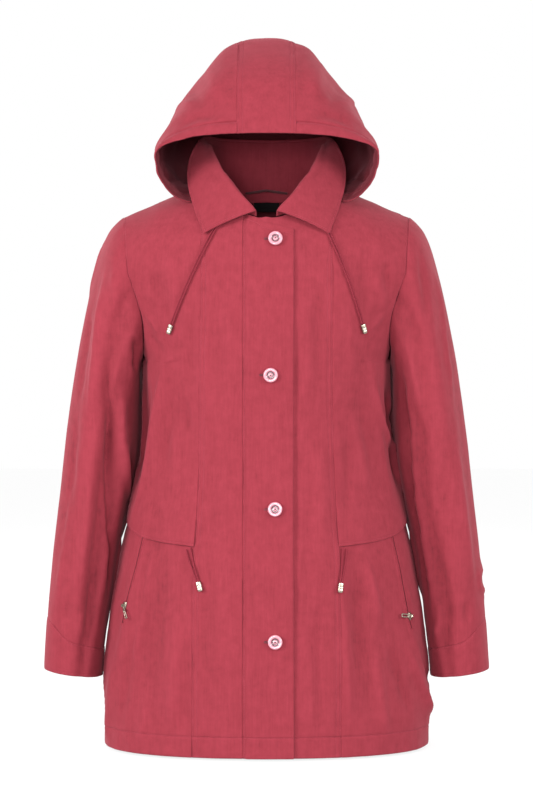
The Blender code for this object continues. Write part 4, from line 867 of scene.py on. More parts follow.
        def lift(place: Array, level: Array) -> Array:
            """Return the lift at a place and level."""
            height = mix(HEM, CHEST, level)
            edge = self.overlap_height(face, place, seam_place)
            if upper:
                top = edge + OVERLAP_DEPTH
                return OVERLAP_OUT * (1 - fade(height, top, top + OVERLAP_FADE))
            return -OVERLAP_IN * fade(height, edge - OVERLAP_FADE, edge - OVERLAP_LIP)

        return lift

    def relief(self, side: int, face: int, place: Array, height: Array) -> Array:
        """Lift of the broad folds on one side and face."""
        total = np.zeros(np.shape(place))
        for fold in FOLDS:
            if fold.face == face:
                across = np.abs(place) * FOLD_SPREAD
                own = np.where(place >= 0, side, -side) == fold.side
                start = (fold.place * FOLD_SPREAD, fold.height)
                end = (fold.end_place * FOLD_SPREAD, fold.end_height)
                lift = straight_lift(across, height, start, end, fold.half_width, (-0.15, 0.25))
                total += np.where(own, fold.lift * lift, 0.0)
        return total


def level_of(height: Array) -> Array:
    """Return the level of a height below the chest line."""
    return (height - HEM) / (CHEST - HEM)


def straight_lift(
    across: Array, along: Array, start: tuple[float, float], end: tuple[float, float],
    half_width: float, ends: tuple[float, float],
) -> Array:
    """Profile, 1 at its highest, of a broad fold along a straight line.

    Args:
        across: First coordinate of the points.
        along: Second coordinate of the points.
        start: Where the fold starts.
        end: Where it ends.
        half_width: Distance at which it has fallen to about a third.
        ends: Shares of its length over which each end rises.

    Returns:
        The profile at each point.
    """
    run = (end[0] - start[0], end[1] - start[1])
    square = run[0] ** 2 + run[1] ** 2
    share = ((across - start[0]) * run[0] + (along - start[1]) * run[1]) / square
    aside = np.hypot(across - start[0] - run[0] * share, along - start[1] - run[1] * share)
    rise, fall = fade(share, ends[0], ends[1]), 1 - fade(share, 1 - ends[1], 1 - ends[0])
    return rise * fall * np.exp(-((aside / half_width) ** 2))


class SleeveForm:
    """One sleeve as a tube from the armhole to the cuff's edge."""

    def __init__(self, torso: TorsoForm, side: int) -> None:
        """Take the armhole's line from the torso.

        Args:
            torso: The torso's form.
            side: RIGHT or LEFT.
        """
        self.torso, self.side, self.rings = torso, side, Table(SLEEVE)
        levels = np.concatenate([
            np.linspace(level_of(UNDERARM), 1.0, 40)[:-1],
            np.linspace(1.0, 2.0 - SHOULDER_SHARE, 40),
        ])
        place = np.ones(len(levels))
        self.front = torso.plain(side, FRONT, place, levels[::-1])
        self.back = torso.plain(side, BACK, place, levels)
        self.start_middle, self.start_half = self.axis(np.array(0.0))

    def axis(self, place: Array) -> tuple[Array, Array]:
        """Middle of a ring, and half the way from its inner to its outer line."""
        inner_height = self.rings.read("inner_height", place)
        inner_out = self.torso.sections.read("half_width", np.minimum(inner_height, UNDERARM))
        inner_out = inner_out + SLEEVE_CLEAR * fade(place, 0.0, 0.05) + SLEEVE_SEAM
        forward = self.rings.read("forward", place)
        outer_out = self.rings.read("outer", place) + SLEEVE_SEAM
        outer = stack(self.side * outer_out, -forward, self.rings.read("outer_height", place))
        inner = stack(self.side * inner_out, -forward, inner_height)
        return (outer + inner) / 2, (outer - inner) / 2

    def armhole_point(self, turn: Array) -> Array:
        """The armhole's own point at a turn round it."""
        points = []
        for line, share in ((self.front, turn * 2), (self.back, turn * 2 - 1)):
            run = runs(line)
            points.append(read_line(np.clip(share, 0.0, 1.0), run / run[-1], line))
        return np.where((turn <= 0.5)[..., None], points[0], points[1])

    def plain(self, turn: Array, place: Array) -> Array:
        """The tube before any fold: turn goes round it, place along it."""
        turn, place = np.broadcast_arrays(np.asarray(turn, float) % 1.0, np.asarray(place, float))
        away = self.armhole_point(turn) + (self.side * SLEEVE_SEAM * 0.2, 0, 0) - self.start_middle
        across = away @ self.start_half / (self.start_half @ self.start_half)
        aside = away @ square_to(self.start_half)
        deep = away[..., 1] / SLEEVE[0].half_depth
        share = fade(place, 0.0, SLEEVE_BLEND)
        middle, half = self.axis(place)
        depth = self.rings.read("half_depth", place)
        angle = turn * math.tau
        point = middle + half * mix(across, np.cos(angle), share)[..., None]
        point[..., 1] += depth * mix(deep, -np.sin(angle), share)
        return point + square_to(half) * (aside * (1 - share))[..., None]

    def relief(self, turn: Array, place: Array) -> Array:
        """Lift of the sleeve's broad folds."""
        total = np.zeros(np.shape(turn))
        for fold in SLEEVE_FOLDS:
            if fold.side == self.side:
                start = (fold.angle, fold.place * SLEEVE_SPREAD)
                end = (fold.end_angle, fold.end_place * SLEEVE_SPREAD)
                angle, along = (turn % 1.0) * 360, place * SLEEVE_SPREAD
                lift = straight_lift(angle, along, start, end, fold.half_angle, (-0.15, 0.25))
                total += fold.lift * lift
        return total


def square_to(half: Array) -> Array:
    """Return the direction along a sleeve, square to a ring's half width and to the depth."""
    return np.cross(unit(half), (0.0, 1.0, 0.0))


def cuff_seam(turn: Array) -> Array:
    """Return the place of the cuff's slanted seam at a turn round the sleeve."""
    inward = (1 - np.cos(turn * math.tau)) / 2
    return mix(CUFF_SEAM_OUTER, CUFF_SEAM_INNER, fade(inward, 0.0, 0.5))


class CollarForm:
    """The collar's visible face, from the neckline over the roll to its outer edge."""

    def __init__(self, torso: TorsoForm) -> None:
        """Keep the torso, whose neckline the collar follows."""
        self.torso, self.rows = torso, Table(COLLAR)

    def seam(self, sign: Array, turn: Array) -> tuple[Array, Array]:
        """Where the visible face starts, and the level direction away from the neck."""
        place = NECK_PLACE * np.sin(turn)
        behind = (turn < math.pi / 2)[..., None]
        faces = [self.torso.plain(LEFT, f, place, self.torso.neck_level(f, place)) for f in (BACK, FRONT)]
        point = np.where(behind, faces[0], faces[1])
        point[..., 0] *= sign
        reach = np.where(turn < math.pi / 2, NECK_BACK, NECK_FRONT)
        away = unit(stack(sign * reach * np.sin(turn), SHOULDER_IN[0] * np.cos(turn), 0.0))
        rise = COLLAR_STEP_UP + COLLAR_FRONT_UP * fade(turn, math.radians(140), math.radians(165))
        return point - away * COLLAR_STEP_IN + stack(0.0, 0.0, rise), away

    def plain(self, place: Array, share: Array) -> Array:
        """share 0 is the neckline seam, 1 the roll, 2 the far side of the turn, 3 the edge."""
        place, share = np.broadcast_arrays(np.asarray(place, float), np.asarray(share, float))
        reach, sign = np.abs(place), np.where(place < 0, -1.0, 1.0)
        read = self.rows.read
        neck, away = self.seam(sign, np.radians(read("turn", reach)))
        roll = stack(sign * read("roll_out", reach), read("roll_y", reach), read("roll_z", reach))
        edge = stack(sign * read("edge_out", reach), read("edge_y", reach), read("edge_z", reach))
        turned = read("turned", reach)[..., None]
        over = roll + away * COLLAR_FOLD * turned + (edge - roll) * COLLAR_FLARE * (1 - turned)
        width = np.linalg.norm(over - roll, axis=-1, keepdims=True)
        middle = (roll + over) / 2 + unit(roll - neck) * width * COLLAR_CREST
        part = share[..., None]
        t = part - 1
        turn_over = roll * (1 - t) ** 2 + middle * 2 * t * (1 - t) + over * t**2
        swell = COLLAR_SWELL * np.sin((share - 2) * math.pi) * fade(reach, 0.5, 0.8)
        leaf = mix(over, edge, part - 2) + stack(0.0, 0.0, swell)
        stand = mix(neck, roll, part)
        return np.where(part <= 1, stand, np.where(part <= 2, turn_over, leaf))


class HoodForm:
    """The hood as ribs that open like a carriage top, closed down onto its neck seam."""

    def __init__(self, torso: TorsoForm) -> None:
        """Work out the neck seam on the shoulders."""
        self.torso, self.ribs = torso, Table(HOOD)
        self.rings = {side: self.ring_line(side) for side in (RIGHT, LEFT)}

    def dome_point(self, side: int, face: int, out: Array, depth: Array) -> Array:
        """The point of the shoulders that stands this far out and this far from their crest."""
        level = np.full(np.shape(out), 1.5)
        for _ in range(4):
            place = self.torso.place_at(side, face, out, level)
            chest = np.abs(self.torso.row(side, face, place, np.full(place.shape, CHEST))[..., 1])
            level = 1 + np.arccos(depth / chest) / (math.pi / 2)
        return self.torso.plain(side, face, place, level)

    def ring_line(self, side: int) -> Array:
        """The neck seam, from its front end over the shoulder to the centre back."""
        share = np.linspace(0.0, 1.0, HOOD_RING_STEPS + 1)
        front = share <= HOOD_RING_TURN
        depth = HOOD_RING_FRONT * (1 - share / HOOD_RING_TURN)
        ahead = self.dome_point(side, FRONT, np.full(share.shape, HOOD_RING_OUT), np.where(front, depth, 0))
        turn = np.where(front, 0.0, (share - HOOD_RING_TURN) / (1 - HOOD_RING_TURN) * math.pi / 2)
        behind = self.dome_point(side, BACK, HOOD_RING_OUT * np.cos(turn), HOOD_RING_BACK * np.sin(turn))
        return np.where(front[:, None], ahead, behind) + (0, 0, HOOD_LIFT)

    def ring(self, side: int, share: Array) -> Array:
        """A point of the neck seam."""
        steps = np.linspace(0.0, 1.0, HOOD_RING_STEPS + 1)
        return read_line(share, steps, self.rings[side])

    def plain(self, side: int, share: Array, place: Array) -> Array:
        """One half of the hood: share runs from a rib's foot to its apex, place from the brim back."""
        share, place = np.broadcast_arrays(np.asarray(share, float), np.asarray(place, float))
        share, place = np.clip(share, 0.0, 1.0), np.clip(place, 0.0, 1.0)
        foot = self.ring(side, HOOD_RIB_END * place)
        read = self.ribs.read
        widest, power = read("widest", place), 2 / read("fullness", place)
        low = share <= HOOD_WIDEST_AT
        turn = np.where(low, share / HOOD_WIDEST_AT, (share - HOOD_WIDEST_AT) / (1 - HOOD_WIDEST_AT))
        turn = np.clip(turn, 0.0, 1.0) * math.pi / 2
        half_width = read("half_width", place)
        out_low, up_low = mix(np.abs(foot[..., 0]), half_width, np.sin(turn)), widest * (1 - np.cos(turn))
        out_high = half_width * np.maximum(np.cos(turn), 0.0) ** power
        up_high = widest + (1 - widest) * np.sin(turn) ** power
        out, up = np.where(low, out_low, out_high), np.where(low, up_low, up_high)
        away = (out**2 - HOOD_CROWN_OUT**2) / (2 * HOOD_CROWN_OUT * HOOD_CROWN_REACH)
        rise = fade(place, *HOOD_CROWN_FRONT) * (1 - fade(place, *HOOD_CROWN_BACK))
        rise = rise * fade(share, HOOD_WIDEST_AT, HOOD_CROWN_FROM)
        flat = HOOD_FLAT * np.exp(-((out / HOOD_FLAT_REACH) ** 2))
        rise = rise * (HOOD_CROWN * np.exp(-(away**2)) - flat)
        rib = stack(side * out, mix(foot[..., 1], read("apex_y", place), up),
                    mix(foot[..., 2], read("apex_z", place), up) + rise)
        ring = self.ring(side, mix(HOOD_RIB_END, 1.0, share))
        return mix(rib, ring, fade(place, HOOD_GATHER, 1.0)[..., None])

    def seam_share(self, side: int, place: Array, out: Array) -> Array:
        """The share of a rib at which it stands this far out, near its apex."""
        low, high = np.full(np.shape(place), 0.5), np.ones(np.shape(place))
        for _ in range(SEARCH_STEPS):
            middle = (low + high) / 2
            wide = np.abs(self.plain(side, middle, place)[..., 0]) > out
            low, high = np.where(wide, middle, low), np.where(wide, high, middle)
        return (low + high) / 2

    def centre(self, out: Array, place: Array) -> Array:
        """The strip down the middle: out runs from -1 at the right seam to 1 at the left."""
        half = HOOD_CENTRE_HALF - SEAM_GAP / 2
        target = np.abs(out) * half
        point = self.plain(LEFT, self.seam_share(LEFT, place, target), place)
        return stack(out * half, point[..., 1], point[..., 2])

    def relief(self, share: Array, place: Array) -> Array:
        """Lift of the hood's broad folds, which die out before the centre strip."""
        total = np.zeros(np.shape(share))
        for fold in HOOD_FOLDS:
            start, end = (fold.place, fold.share * HOOD_ARCH), (fold.end_place, fold.end_share * HOOD_ARCH)
            lift = straight_lift(place, share * HOOD_ARCH, start, end, fold.half_width, (-0.2, 0.25))
            total += fold.lift * lift
        return total * (1 - fade(share, 0.70, 0.88))


# ------------------------------------------------------------------ creases


class Crease(NamedTuple):
    """A soft ridge (+) or trough (-) of the cloth along a path, all in millimetres.

    The path is given as across and up on the plane through the shoulders, as the camera sees it
    from the front, or as it is straight from behind.  lean makes one flank steeper.
    """

    path: tuple[tuple[float, float], ...]
    width: float
    lift: float
    lean: float = 0.0


TORSO_CREASES = [
    Crease(((-139, -223), (-147, -252), (-154, -294), (-165, -354), (-175, -399), (-189, -441)),
           6.5, 2.6, 0.2),
    Crease(((-126, -234), (-132, -273), (-140, -329), (-148, -385)), 11, -1.6),
    Crease(((-162, -234), (-167, -287), (-175, -343), (-182, -385)), 8, -1.8),
    Crease(((-171, -150), (-160, -165), (-148, -182)), 5, 1.5, 0.2),
    Crease(((-168, -175), (-154, -197), (-140, -211)), 7, -1.3),
    Crease(((-172, -119), (-154, -133), (-134, -141)), 7, 1.1),
    Crease(((-162, -80), (-151, -119), (-134, -158), (-118, -186)), 11, -1.5),
    Crease(((-140, -57), (-132, -119), (-112, -175)), 12, 1.4),
    Crease(((-115, -267), (-111, -294), (-106, -321)), 5, -1.6),
    Crease(((-123, -301), (-129, -343), (-126, -392)), 9, 1.4),
    Crease(((-104, -133), (-106, -217), (-104, -273)), 8, -1),
    Crease(((-76, -77), (-73, -175), (-78, -273)), 11, -0.8),
    Crease(((-56, -119), (-50, -231), (-59, -343)), 12, 1),
    Crease(((-70, -315), (-78, -413), (-76, -497)), 12, -1),
    Crease(((-53, -441), (-56, -553), (-50, -679)), 13, 1.2),
    Crease(((-80, -497), (-84, -609), (-78, -721)), 9, -1.2),
    Crease(((-158, -470), (-164, -497), (-168, -539), (-172, -570)), 6, 2, 0.2),
    Crease(((-169, -547), (-176, -581), (-182, -616), (-188, -643)), 6, 1.8, 0.2),
    Crease(((-144, -491), (-148, -553), (-155, -623), (-162, -693)), 10, -1.8),
    Crease(((-126, -553), (-129, -623), (-134, -693), (-132, -756)), 11, 1.8, 0.2),
    Crease(((-112, -609), (-115, -679), (-113, -749)), 9, -1.6),
    Crease(((-190, -609), (-196, -665), (-204, -721)), 9, -1.6),
    Crease(((-168, -679), (-174, -721), (-176, -763)), 9, 1.8),
    Crease(((-162, -413), (-155, -430), (-148, -449)), 5, -0.8),
    Crease(((144, -228), (151, -262), (160, -300), (175, -337), (189, -403), (196, -441)), 6.5, 2.6, -0.2),
    Crease(((129, -245), (137, -301), (151, -371)), 11, -1.6),
    Crease(((165, -245), (171, -287), (182, -329)), 8, -1.8),
    Crease(((168, -150), (154, -164), (134, -186)), 5, 1.4),
    Crease(((171, -74), (168, -99), (172, -122)), 6, -1.6),
    Crease(((151, -91), (160, -122), (168, -153)), 7, 1.3),
    Crease(((134, -63), (137, -119), (120, -175)), 12, -1.4),
    Crease(((118, -133), (120, -203), (118, -259)), 9, 1),
    Crease(((120, -287), (132, -343), (143, -413)), 8, 1.5),
    Crease(((111, -301), (115, -371), (112, -441)), 7, -1.2),
    Crease(((78, -91), (73, -175), (78, -273)), 11, -0.9),
    Crease(((56, -105), (59, -203), (53, -301)), 10, 0.9),
    Crease(((73, -315), (78, -413), (73, -497)), 10, 1.1),
    Crease(((56, -357), (59, -469), (55, -581)), 10, -0.9),
    Crease(((78, -525), (73, -623), (78, -735)), 10, -1.3),
    Crease(((59, -609), (62, -679), (59, -756)), 9, 1.3),
    Crease(((140, -491), (146, -518), (154, -553), (162, -592)), 6.5, 2, -0.2),
    Crease(((123, -511), (127, -581), (134, -665)), 10, -1.7),
    Crease(((111, -553), (113, -637), (118, -742)), 8, 1.5),
    Crease(((190, -606), (204, -643), (218, -685), (230, -721)), 7, 2.6, 0.2),
    Crease(((171, -609), (185, -659), (202, -715)), 9, -2.2),
    Crease(((151, -623), (160, -679), (168, -749)), 9, 2.2),
    Crease(((213, -623), (227, -671), (238, -710)), 7, -1.6),
    Crease(((185, -497), (193, -532), (204, -561)), 5, 1.2),
    Crease(((41, -72), (41.5, -240), (41, -470), (42, -742)), 3.2, -1.1),
    Crease(((-150, -395), (-160, -480), (-166, -600), (-172, -720)), 16, -2.0),
    Crease(((118, -470), (132, -560), (140, -650), (150, -742)), 15, -1.6),
    Crease(((-96, -150), (-88, -260), (-92, -420)), 16, 1.5),
]
SLEEVE_CREASES = [
    Crease(((-224, -80), (-232, -133), (-239, -217), (-249, -315)), 8, 2.4, 0.2),
    Crease(((-214, -80), (-210, -119), (-210, -164)), 7, 1.8),
    Crease(((-221, -189), (-224, -245), (-221, -301), (-217, -385), (-218, -469), (-224, -553)), 8, -6, 0.25),
    Crease(((-197, -259), (-202, -315), (-199, -371), (-190, -420)), 7, 3.4),
    Crease(((-185, -183), (-181, -206), (-183, -234)), 6, -4),
    Crease(((-238, -301), (-244, -385), (-252, -469), (-260, -553)), 10, 3),
    Crease(((-263, -273), (-272, -371), (-283, -469), (-291, -553)), 10, -2.2),
    Crease(((-274, -385), (-283, -469), (-294, -560)), 7, 1.8),
    Crease(((-202, -455), (-207, -511), (-216, -570)), 7, 3),
    Crease(((-232, -497), (-241, -553), (-244, -601)), 7, -2.6),
    Crease(((-255, -567), (-260, -592), (-255, -609)), 6, 1.6),
    Crease(((-280, -553), (-283, -584)), 6, -1.6),
    Crease(((-246, -133), (-255, -203), (-266, -287)), 10, -1.6),
    Crease(((-227, -46), (-244, -80), (-255, -133)), 9, 1.4),
    Crease(((230, -80), (244, -127), (253, -196), (265, -273)), 8, 2.4, -0.2),
    Crease(((213, -63), (221, -119), (221, -175)), 8, -1.8),
    Crease(((185, -203), (190, -273), (199, -375), (213, -469), (224, -539), (230, -584)), 9, -5.6, -0.25),
    Crease(((202, -175), (207, -245), (216, -315)), 8, 2.6),
    Crease(((221, -315), (230, -399), (241, -497)), 9, 2.6),
    Crease(((244, -301), (252, -385), (260, -469)), 9, -2.2),
    Crease(((266, -329), (277, -441), (291, -539)), 9, 2.2),
    Crease(((193, -441), (204, -497), (216, -553)), 6, 2.6),
    Crease(((244, -497), (252, -553), (260, -601)), 8, -2.4),
    Crease(((238, -553), (241, -587), (235, -612)), 6, 2),
    Crease(((280, -553), (283, -587)), 6, -1.6),
    Crease(((297, -497), (302, -553)), 6, 1.4),
]
HOOD_CREASES = [
    Crease(((-134, 130), (-115, 141), (-92, 147)), 9, 1.5),
    Crease(((-126, 108), (-98, 122), (-62, 127)), 8, -1.4),
    Crease(((-112, 169), (-98, 153), (-92, 130)), 9, -1.4),
    Crease(((-84, 195), (-73, 169), (-70, 141)), 10, 1.3),
    Crease(((-56, 209), (-50, 178), (-53, 147)), 8, -1),
    Crease(((134, 130), (115, 141), (90, 147)), 9, 1.5),
    Crease(((123, 108), (98, 122), (64, 127)), 8, -1.4),
    Crease(((109, 169), (95, 153), (90, 130)), 9, -1.4),
    Crease(((78, 200), (70, 169), (67, 141)), 10, 1.3),
    Crease(((53, 211), (50, 178), (53, 147)), 8, -1),
    Crease(((-148, 63), (-143, 41), (-126, 15)), 6, 1.4),
    Crease(((148, 63), (143, 41), (126, 15)), 6, 1.4),
]
COLLAR_CREASES = [
    Crease(((-84, 49), (-74, 42), (-66, 32)), 4, -1.3),
    Crease(((81, 55), (73, 46), (64, 35)), 4, -1.3),
    Crease(((-73, 21), (-62, 1), (-56, -21)), 7, 0.9),
    Crease(((70, 24), (62, 4), (56, -15)), 7, 0.9),
]
BACK_CREASES = [
    Crease(((-150, -190), (-120, -212), (-84, -226)), 9, -2.0, 0.2),
    Crease(((148, -182), (122, -205), (90, -214)), 9, -1.8, -0.2),
    Crease(((-168, -150), (-140, -172), (-112, -178)), 8, 1.8),
    Crease(((170, -158), (144, -176), (120, -190)), 8, 1.8),
    Crease(((-158, -240), (-166, -300), (-176, -362), (-184, -420)), 8, 2.4, 0.2),
    Crease(((160, -236), (170, -310), (182, -380), (190, -428)), 8, 2.4, -0.2),
    Crease(((-128, -250), (-138, -320), (-146, -400)), 11, -1.8),
    Crease(((130, -262), (138, -330), (150, -410)), 11, -1.8),
    Crease(((-96, -120), (-88, -210), (-92, -300)), 13, 1.2),
    Crease(((94, -110), (90, -220), (86, -320)), 13, 1.2),
    Crease(((-52, -90), (-48, -190), (-56, -290)), 14, -1.2),
    Crease(((46, -100), (52, -200), (44, -310)), 14, -1.2),
    Crease(((-16, -150), (-10, -260), (-18, -380)), 15, 1.0),
    Crease(((20, -230), (14, -330), (22, -430)), 13, -1.0),
    Crease(((-110, -330), (-102, -390), (-86, -430)), 10, 1.5),
    Crease(((112, -336), (100, -396), (90, -438)), 10, 1.5),
    Crease(((-172, -500), (-182, -570), (-192, -650), (-200, -720)), 9, 2.4, 0.2),
    Crease(((176, -498), (188, -580), (202, -660), (212, -730)), 9, 2.4, -0.2),
    Crease(((-140, -520), (-146, -600), (-154, -690), (-156, -750)), 11, -2.2),
    Crease(((142, -530), (150, -620), (158, -700), (164, -748)), 11, -2.2),
    Crease(((-104, -540), (-110, -630), (-114, -740)), 11, 1.8),
    Crease(((106, -520), (112, -610), (110, -730)), 11, 1.9),
    Crease(((-66, -510), (-60, -610), (-68, -700)), 12, -1.5),
    Crease(((62, -540), (66, -640), (60, -752)), 12, -1.5),
    Crease(((-22, -520), (-28, -620), (-20, -750)), 13, 1.5),
    Crease(((18, -500), (24, -590), (16, -690)), 12, -1.2),
]
SLEEVE_BACK_CREASES = [
    Crease(((-222, -90), (-234, -160), (-242, -240)), 9, 2.2, 0.2),
    Crease(((226, -96), (238, -170), (250, -250)), 9, 2.2, -0.2),
    Crease(((-204, -150), (-210, -220), (-206, -290)), 8, -2.6),
    Crease(((206, -160), (214, -230), (214, -300)), 8, -2.6),
    Crease(((-236, -270), (-246, -300), (-262, -318)), 8, 2.6),
    Crease(((240, -262), (252, -296), (268, -310)), 8, 2.6),
    Crease(((-214, -310), (-238, -336), (-266, -346)), 7, -2.6),
    Crease(((218, -306), (242, -330), (272, -342)), 7, -2.6),
    Crease(((-226, -360), (-236, -430), (-252, -520)), 9, 2.4),
    Crease(((230, -352), (242, -430), (256, -520)), 9, 2.4),
    Crease(((-262, -380), (-274, -460), (-288, -540)), 9, -2.2),
    Crease(((266, -372), (280, -460), (292, -546)), 9, -2.2),
    Crease(((-246, -540), (-256, -580), (-262, -606)), 6, -1.8),
    Crease(((250, -536), (262, -576), (270, -606)), 6, 1.8),
]
HOOD_BACK_CREASES = [
    Crease(((-118, 40), (-90, 66), (-58, 78)), 10, -1.8),
    Crease(((122, 44), (94, 64), (60, 80)), 10, -1.6),
    Crease(((-108, 90), (-82, 112), (-56, 118)), 10, 1.6),
    Crease(((110, 86), (84, 108), (56, 116)), 10, 1.6),
    Crease(((-130, -6), (-96, 14), (-58, 18)), 9, 1.8),
    Crease(((128, -2), (92, 18), (56, 16)), 9, 1.6),
    Crease(((-86, -40), (-60, -24), (-30, -22)), 9, -1.6),
    Crease(((88, -44), (58, -28), (26, -26)), 9, -1.6),
]


def seen_from(face: int, points: Array) -> Array:
    """Where points stand across and up in the view that a crease's path is given in."""
    if face == BACK:
        return points[..., [0, 2]]
    share = EYE_DISTANCE / (EYE_DISTANCE + points[..., 1])
    return np.stack([points[..., 0] * share, EYE_HEIGHT + (points[..., 2] - EYE_HEIGHT) * share], axis=-1)


@dataclass
class CreaseLayer:
    """Creases of one view, laid on a piece of cloth.

    Attributes:
        face: The view that their paths are given in.
        creases: The creases.
        strength: How many times their own lift they are raised.
        step: Distance between two points of a path.
    """

    face: int
    creases: Sequence[Crease]
    strength: float = 1.0
    step: float = 9 * MM

    def lift(self, plain: Array, normals: Array) -> Array:
        """Sum of the creases' lifts on a piece.

        Args:
            plain: The piece's grid of points.
            normals: Outward directions there.

        Returns:
            The lift at each point.
        """
        total = np.zeros(plain.shape[:2])
        facing = normals[..., 1] * self.face > -0.15
        if not facing.any():
            return total
        near_points = plain[facing]
        near_seen = seen_from(self.face, near_points)
        for crease in self.creases:
            reach = crease.width * MM * 3
            flat = smooth_path(np.array(crease.path) * MM, self.step)
            low, high = flat.min(axis=0) - reach, flat.max(axis=0) + reach
            inside = ((near_seen > low) & (near_seen < high)).all(axis=1)
            if inside.any():
                path = self.raised(flat, near_seen[inside], near_points[inside])
                total += self.one(crease, path, plain, normals)
        return total

    def raised(self, flat: Array, seen: Array, points: Array) -> Array:
        """Return the path in space, at the depth of the cloth behind each of its points."""
        gaps = np.linalg.norm(flat[:, None, :] - seen[None, :, :], axis=-1)
        y = points[gaps.argmin(axis=1), 1]
        share = EYE_DISTANCE / (EYE_DISTANCE + y) if self.face == FRONT else np.ones(len(y))
        return stack(flat[:, 0] / share, y, EYE_HEIGHT + (flat[:, 1] - EYE_HEIGHT) / share)

    def one(self, crease: Crease, path: Array, plain: Array, normals: Array) -> Array:
        """Return one crease's lift."""
        width, lift = crease.width * MM, crease.lift * MM * self.strength
        reach = width * 3
        box = ((plain > path.min(axis=0) - reach) & (plain < path.max(axis=0) + reach)).all(axis=-1)
        total = np.zeros(plain.shape[:2])
        if not box.any():
            return total
        points, out = plain[box], normals[box]
        lengths = np.linalg.norm(np.diff(path, axis=0), axis=1)
        best, side, share = np.full(len(points), np.inf), np.zeros(len(points)), np.zeros(len(points))
        done = 0.0
        for start, end, length in zip(path, path[1:], lengths):
            run = (end - start) / length
            away = points - start
            at = np.clip(away @ run, 0.0, length)
            aside = away - at[:, None] * run
            aside -= out * (aside * out).sum(axis=1, keepdims=True)
            distance = np.linalg.norm(aside, axis=1)
            nearer = distance < best
            best = np.where(nearer, distance, best)
            turn = (np.cross(run, aside) * out).sum(axis=1)
            side = np.where(nearer, turn / np.maximum(distance, 0.2 * width), side)
            share = np.where(nearer, (done + at) / lengths.sum(), share)
            done += length
        ends = fade(share, -0.02, 0.32) * (1 - fade(share, 0.68, 1.02))
        own_width = width * (1 + crease.lean * side) * mix(0.75, 1.0, ends)
        total[box] = lift * ends * np.exp(-((best / own_width) ** 2))
        return total


# ------------------------------------------------------------------ cloth grids and their sewing


class Edge(Enum):
    """An edge of a cloth grid."""

    START = "first column"
    END = "last column"
    BOTTOM = "first row"
    TOP = "last row"


HEM_STITCH, CASING_STITCH = 27 * MM, 17 * MM
SEAM_STITCH = 1.8 * MM    # from a seam to its first line of stitches
THREAD_LIFT = 0.12 * MM   # of a stitch over the cloth
ARMHOLE_STITCH_FROM = 4 * MM   # over the underarm
# Painted shade and painted highlight: troughs darken and ridges pale the cloth's colour, in full at this height.
FULL_FOLD_SHADE = 4.5 * MM      # a ridge or trough this high counts in full for the cloth's colour


@dataclass(frozen=True)
class EdgeFinish:
    """How sewing shapes the cloth beside one edge of a panel, in metres.

    Attributes:
        groove: How far the cloth dips into the seam.
        groove_reach: How far from the seam it dips.
        stitches: Distances of the lines of stitches from the edge.
        dent: How far a line of stitches draws the cloth in.
        pucker: Height of the short ridges that run away from the edge.
        pucker_length: Distance from one ridge to the next.
        pucker_reach: How far they run.
    """

    groove: float = 0.35 * MM
    groove_reach: float = 1.4 * MM
    stitches: tuple[float, ...] = ()
    dent: float = 0.45 * MM
    pucker: float = 0.55 * MM
    pucker_length: float = 8.0 * MM
    pucker_reach: float = 11.0 * MM

    def lift(self, distance: Array, run: Array, seed: int) -> Array:
        """Lift of the cloth beside the edge.

        Args:
            distance: Distance from the edge.
            run: Place along the edge.
            seed: Picks the puckers.

        Returns:
            The lift.
        """
        lift = -self.groove * np.exp(-distance / self.groove_reach)
        for offset in self.stitches:
            lift -= self.dent * np.exp(-(((distance - offset) / (1.2 * MM)) ** 2))
        ridges = noise(run / self.pucker_length, distance / (self.pucker_reach * 2), seed)
        ridges += 0.6 * noise(run / self.pucker_length * 2.2, distance / self.pucker_reach, seed + 7)
        uneven = 0.6 + 0.4 * noise(run / 0.09, np.zeros_like(run), seed + 3)
        reach = np.exp(-((distance / self.pucker_reach) ** 2)) * mix(0.5, 1.0, fade(distance, 0, 3 * MM))
        return lift + self.pucker * uneven * ridges * reach


PLAIN_SEAM = EdgeFinish()
HIDDEN_EDGE = EdgeFinish(groove=0.0, pucker=0.0)
DOUBLE_STITCHED = EdgeFinish(stitches=(SEAM_STITCH, 7.4 * MM), pucker=0.8 * MM)
FREE_EDGE = EdgeFinish(groove=0.4 * MM, groove_reach=1.4 * MM, stitches=(2.6 * MM,), dent=0.4 * MM)
FOLDED_EDGE = EdgeFinish(groove=0.5 * MM, groove_reach=1.4 * MM, pucker=0.25 * MM, pucker_length=16 * MM)
HEMMED = EdgeFinish(
    groove=0.4 * MM, groove_reach=1.5 * MM, stitches=(HEM_STITCH,), dent=0.9 * MM, pucker=1.2 * MM,
    pucker_length=19 * MM, pucker_reach=27 * MM,
)
SEWN_UPPER = (PLAIN_SEAM, PLAIN_SEAM, FREE_EDGE, PLAIN_SEAM)
SEWN_LOWER = (PLAIN_SEAM, PLAIN_SEAM, HEMMED, HIDDEN_EDGE)
EDGE_SAMPLES = np.array([0.0, 0.6, 1.2, 1.8, 2.6, 3.6, 5.0, 6.4, 7.4, 8.4, 10.0, 12.5]) * MM
FINE_SAMPLES = np.array([-2.4, -1.4, -0.7, 0.0, 0.7, 1.4, 2.4]) * MM


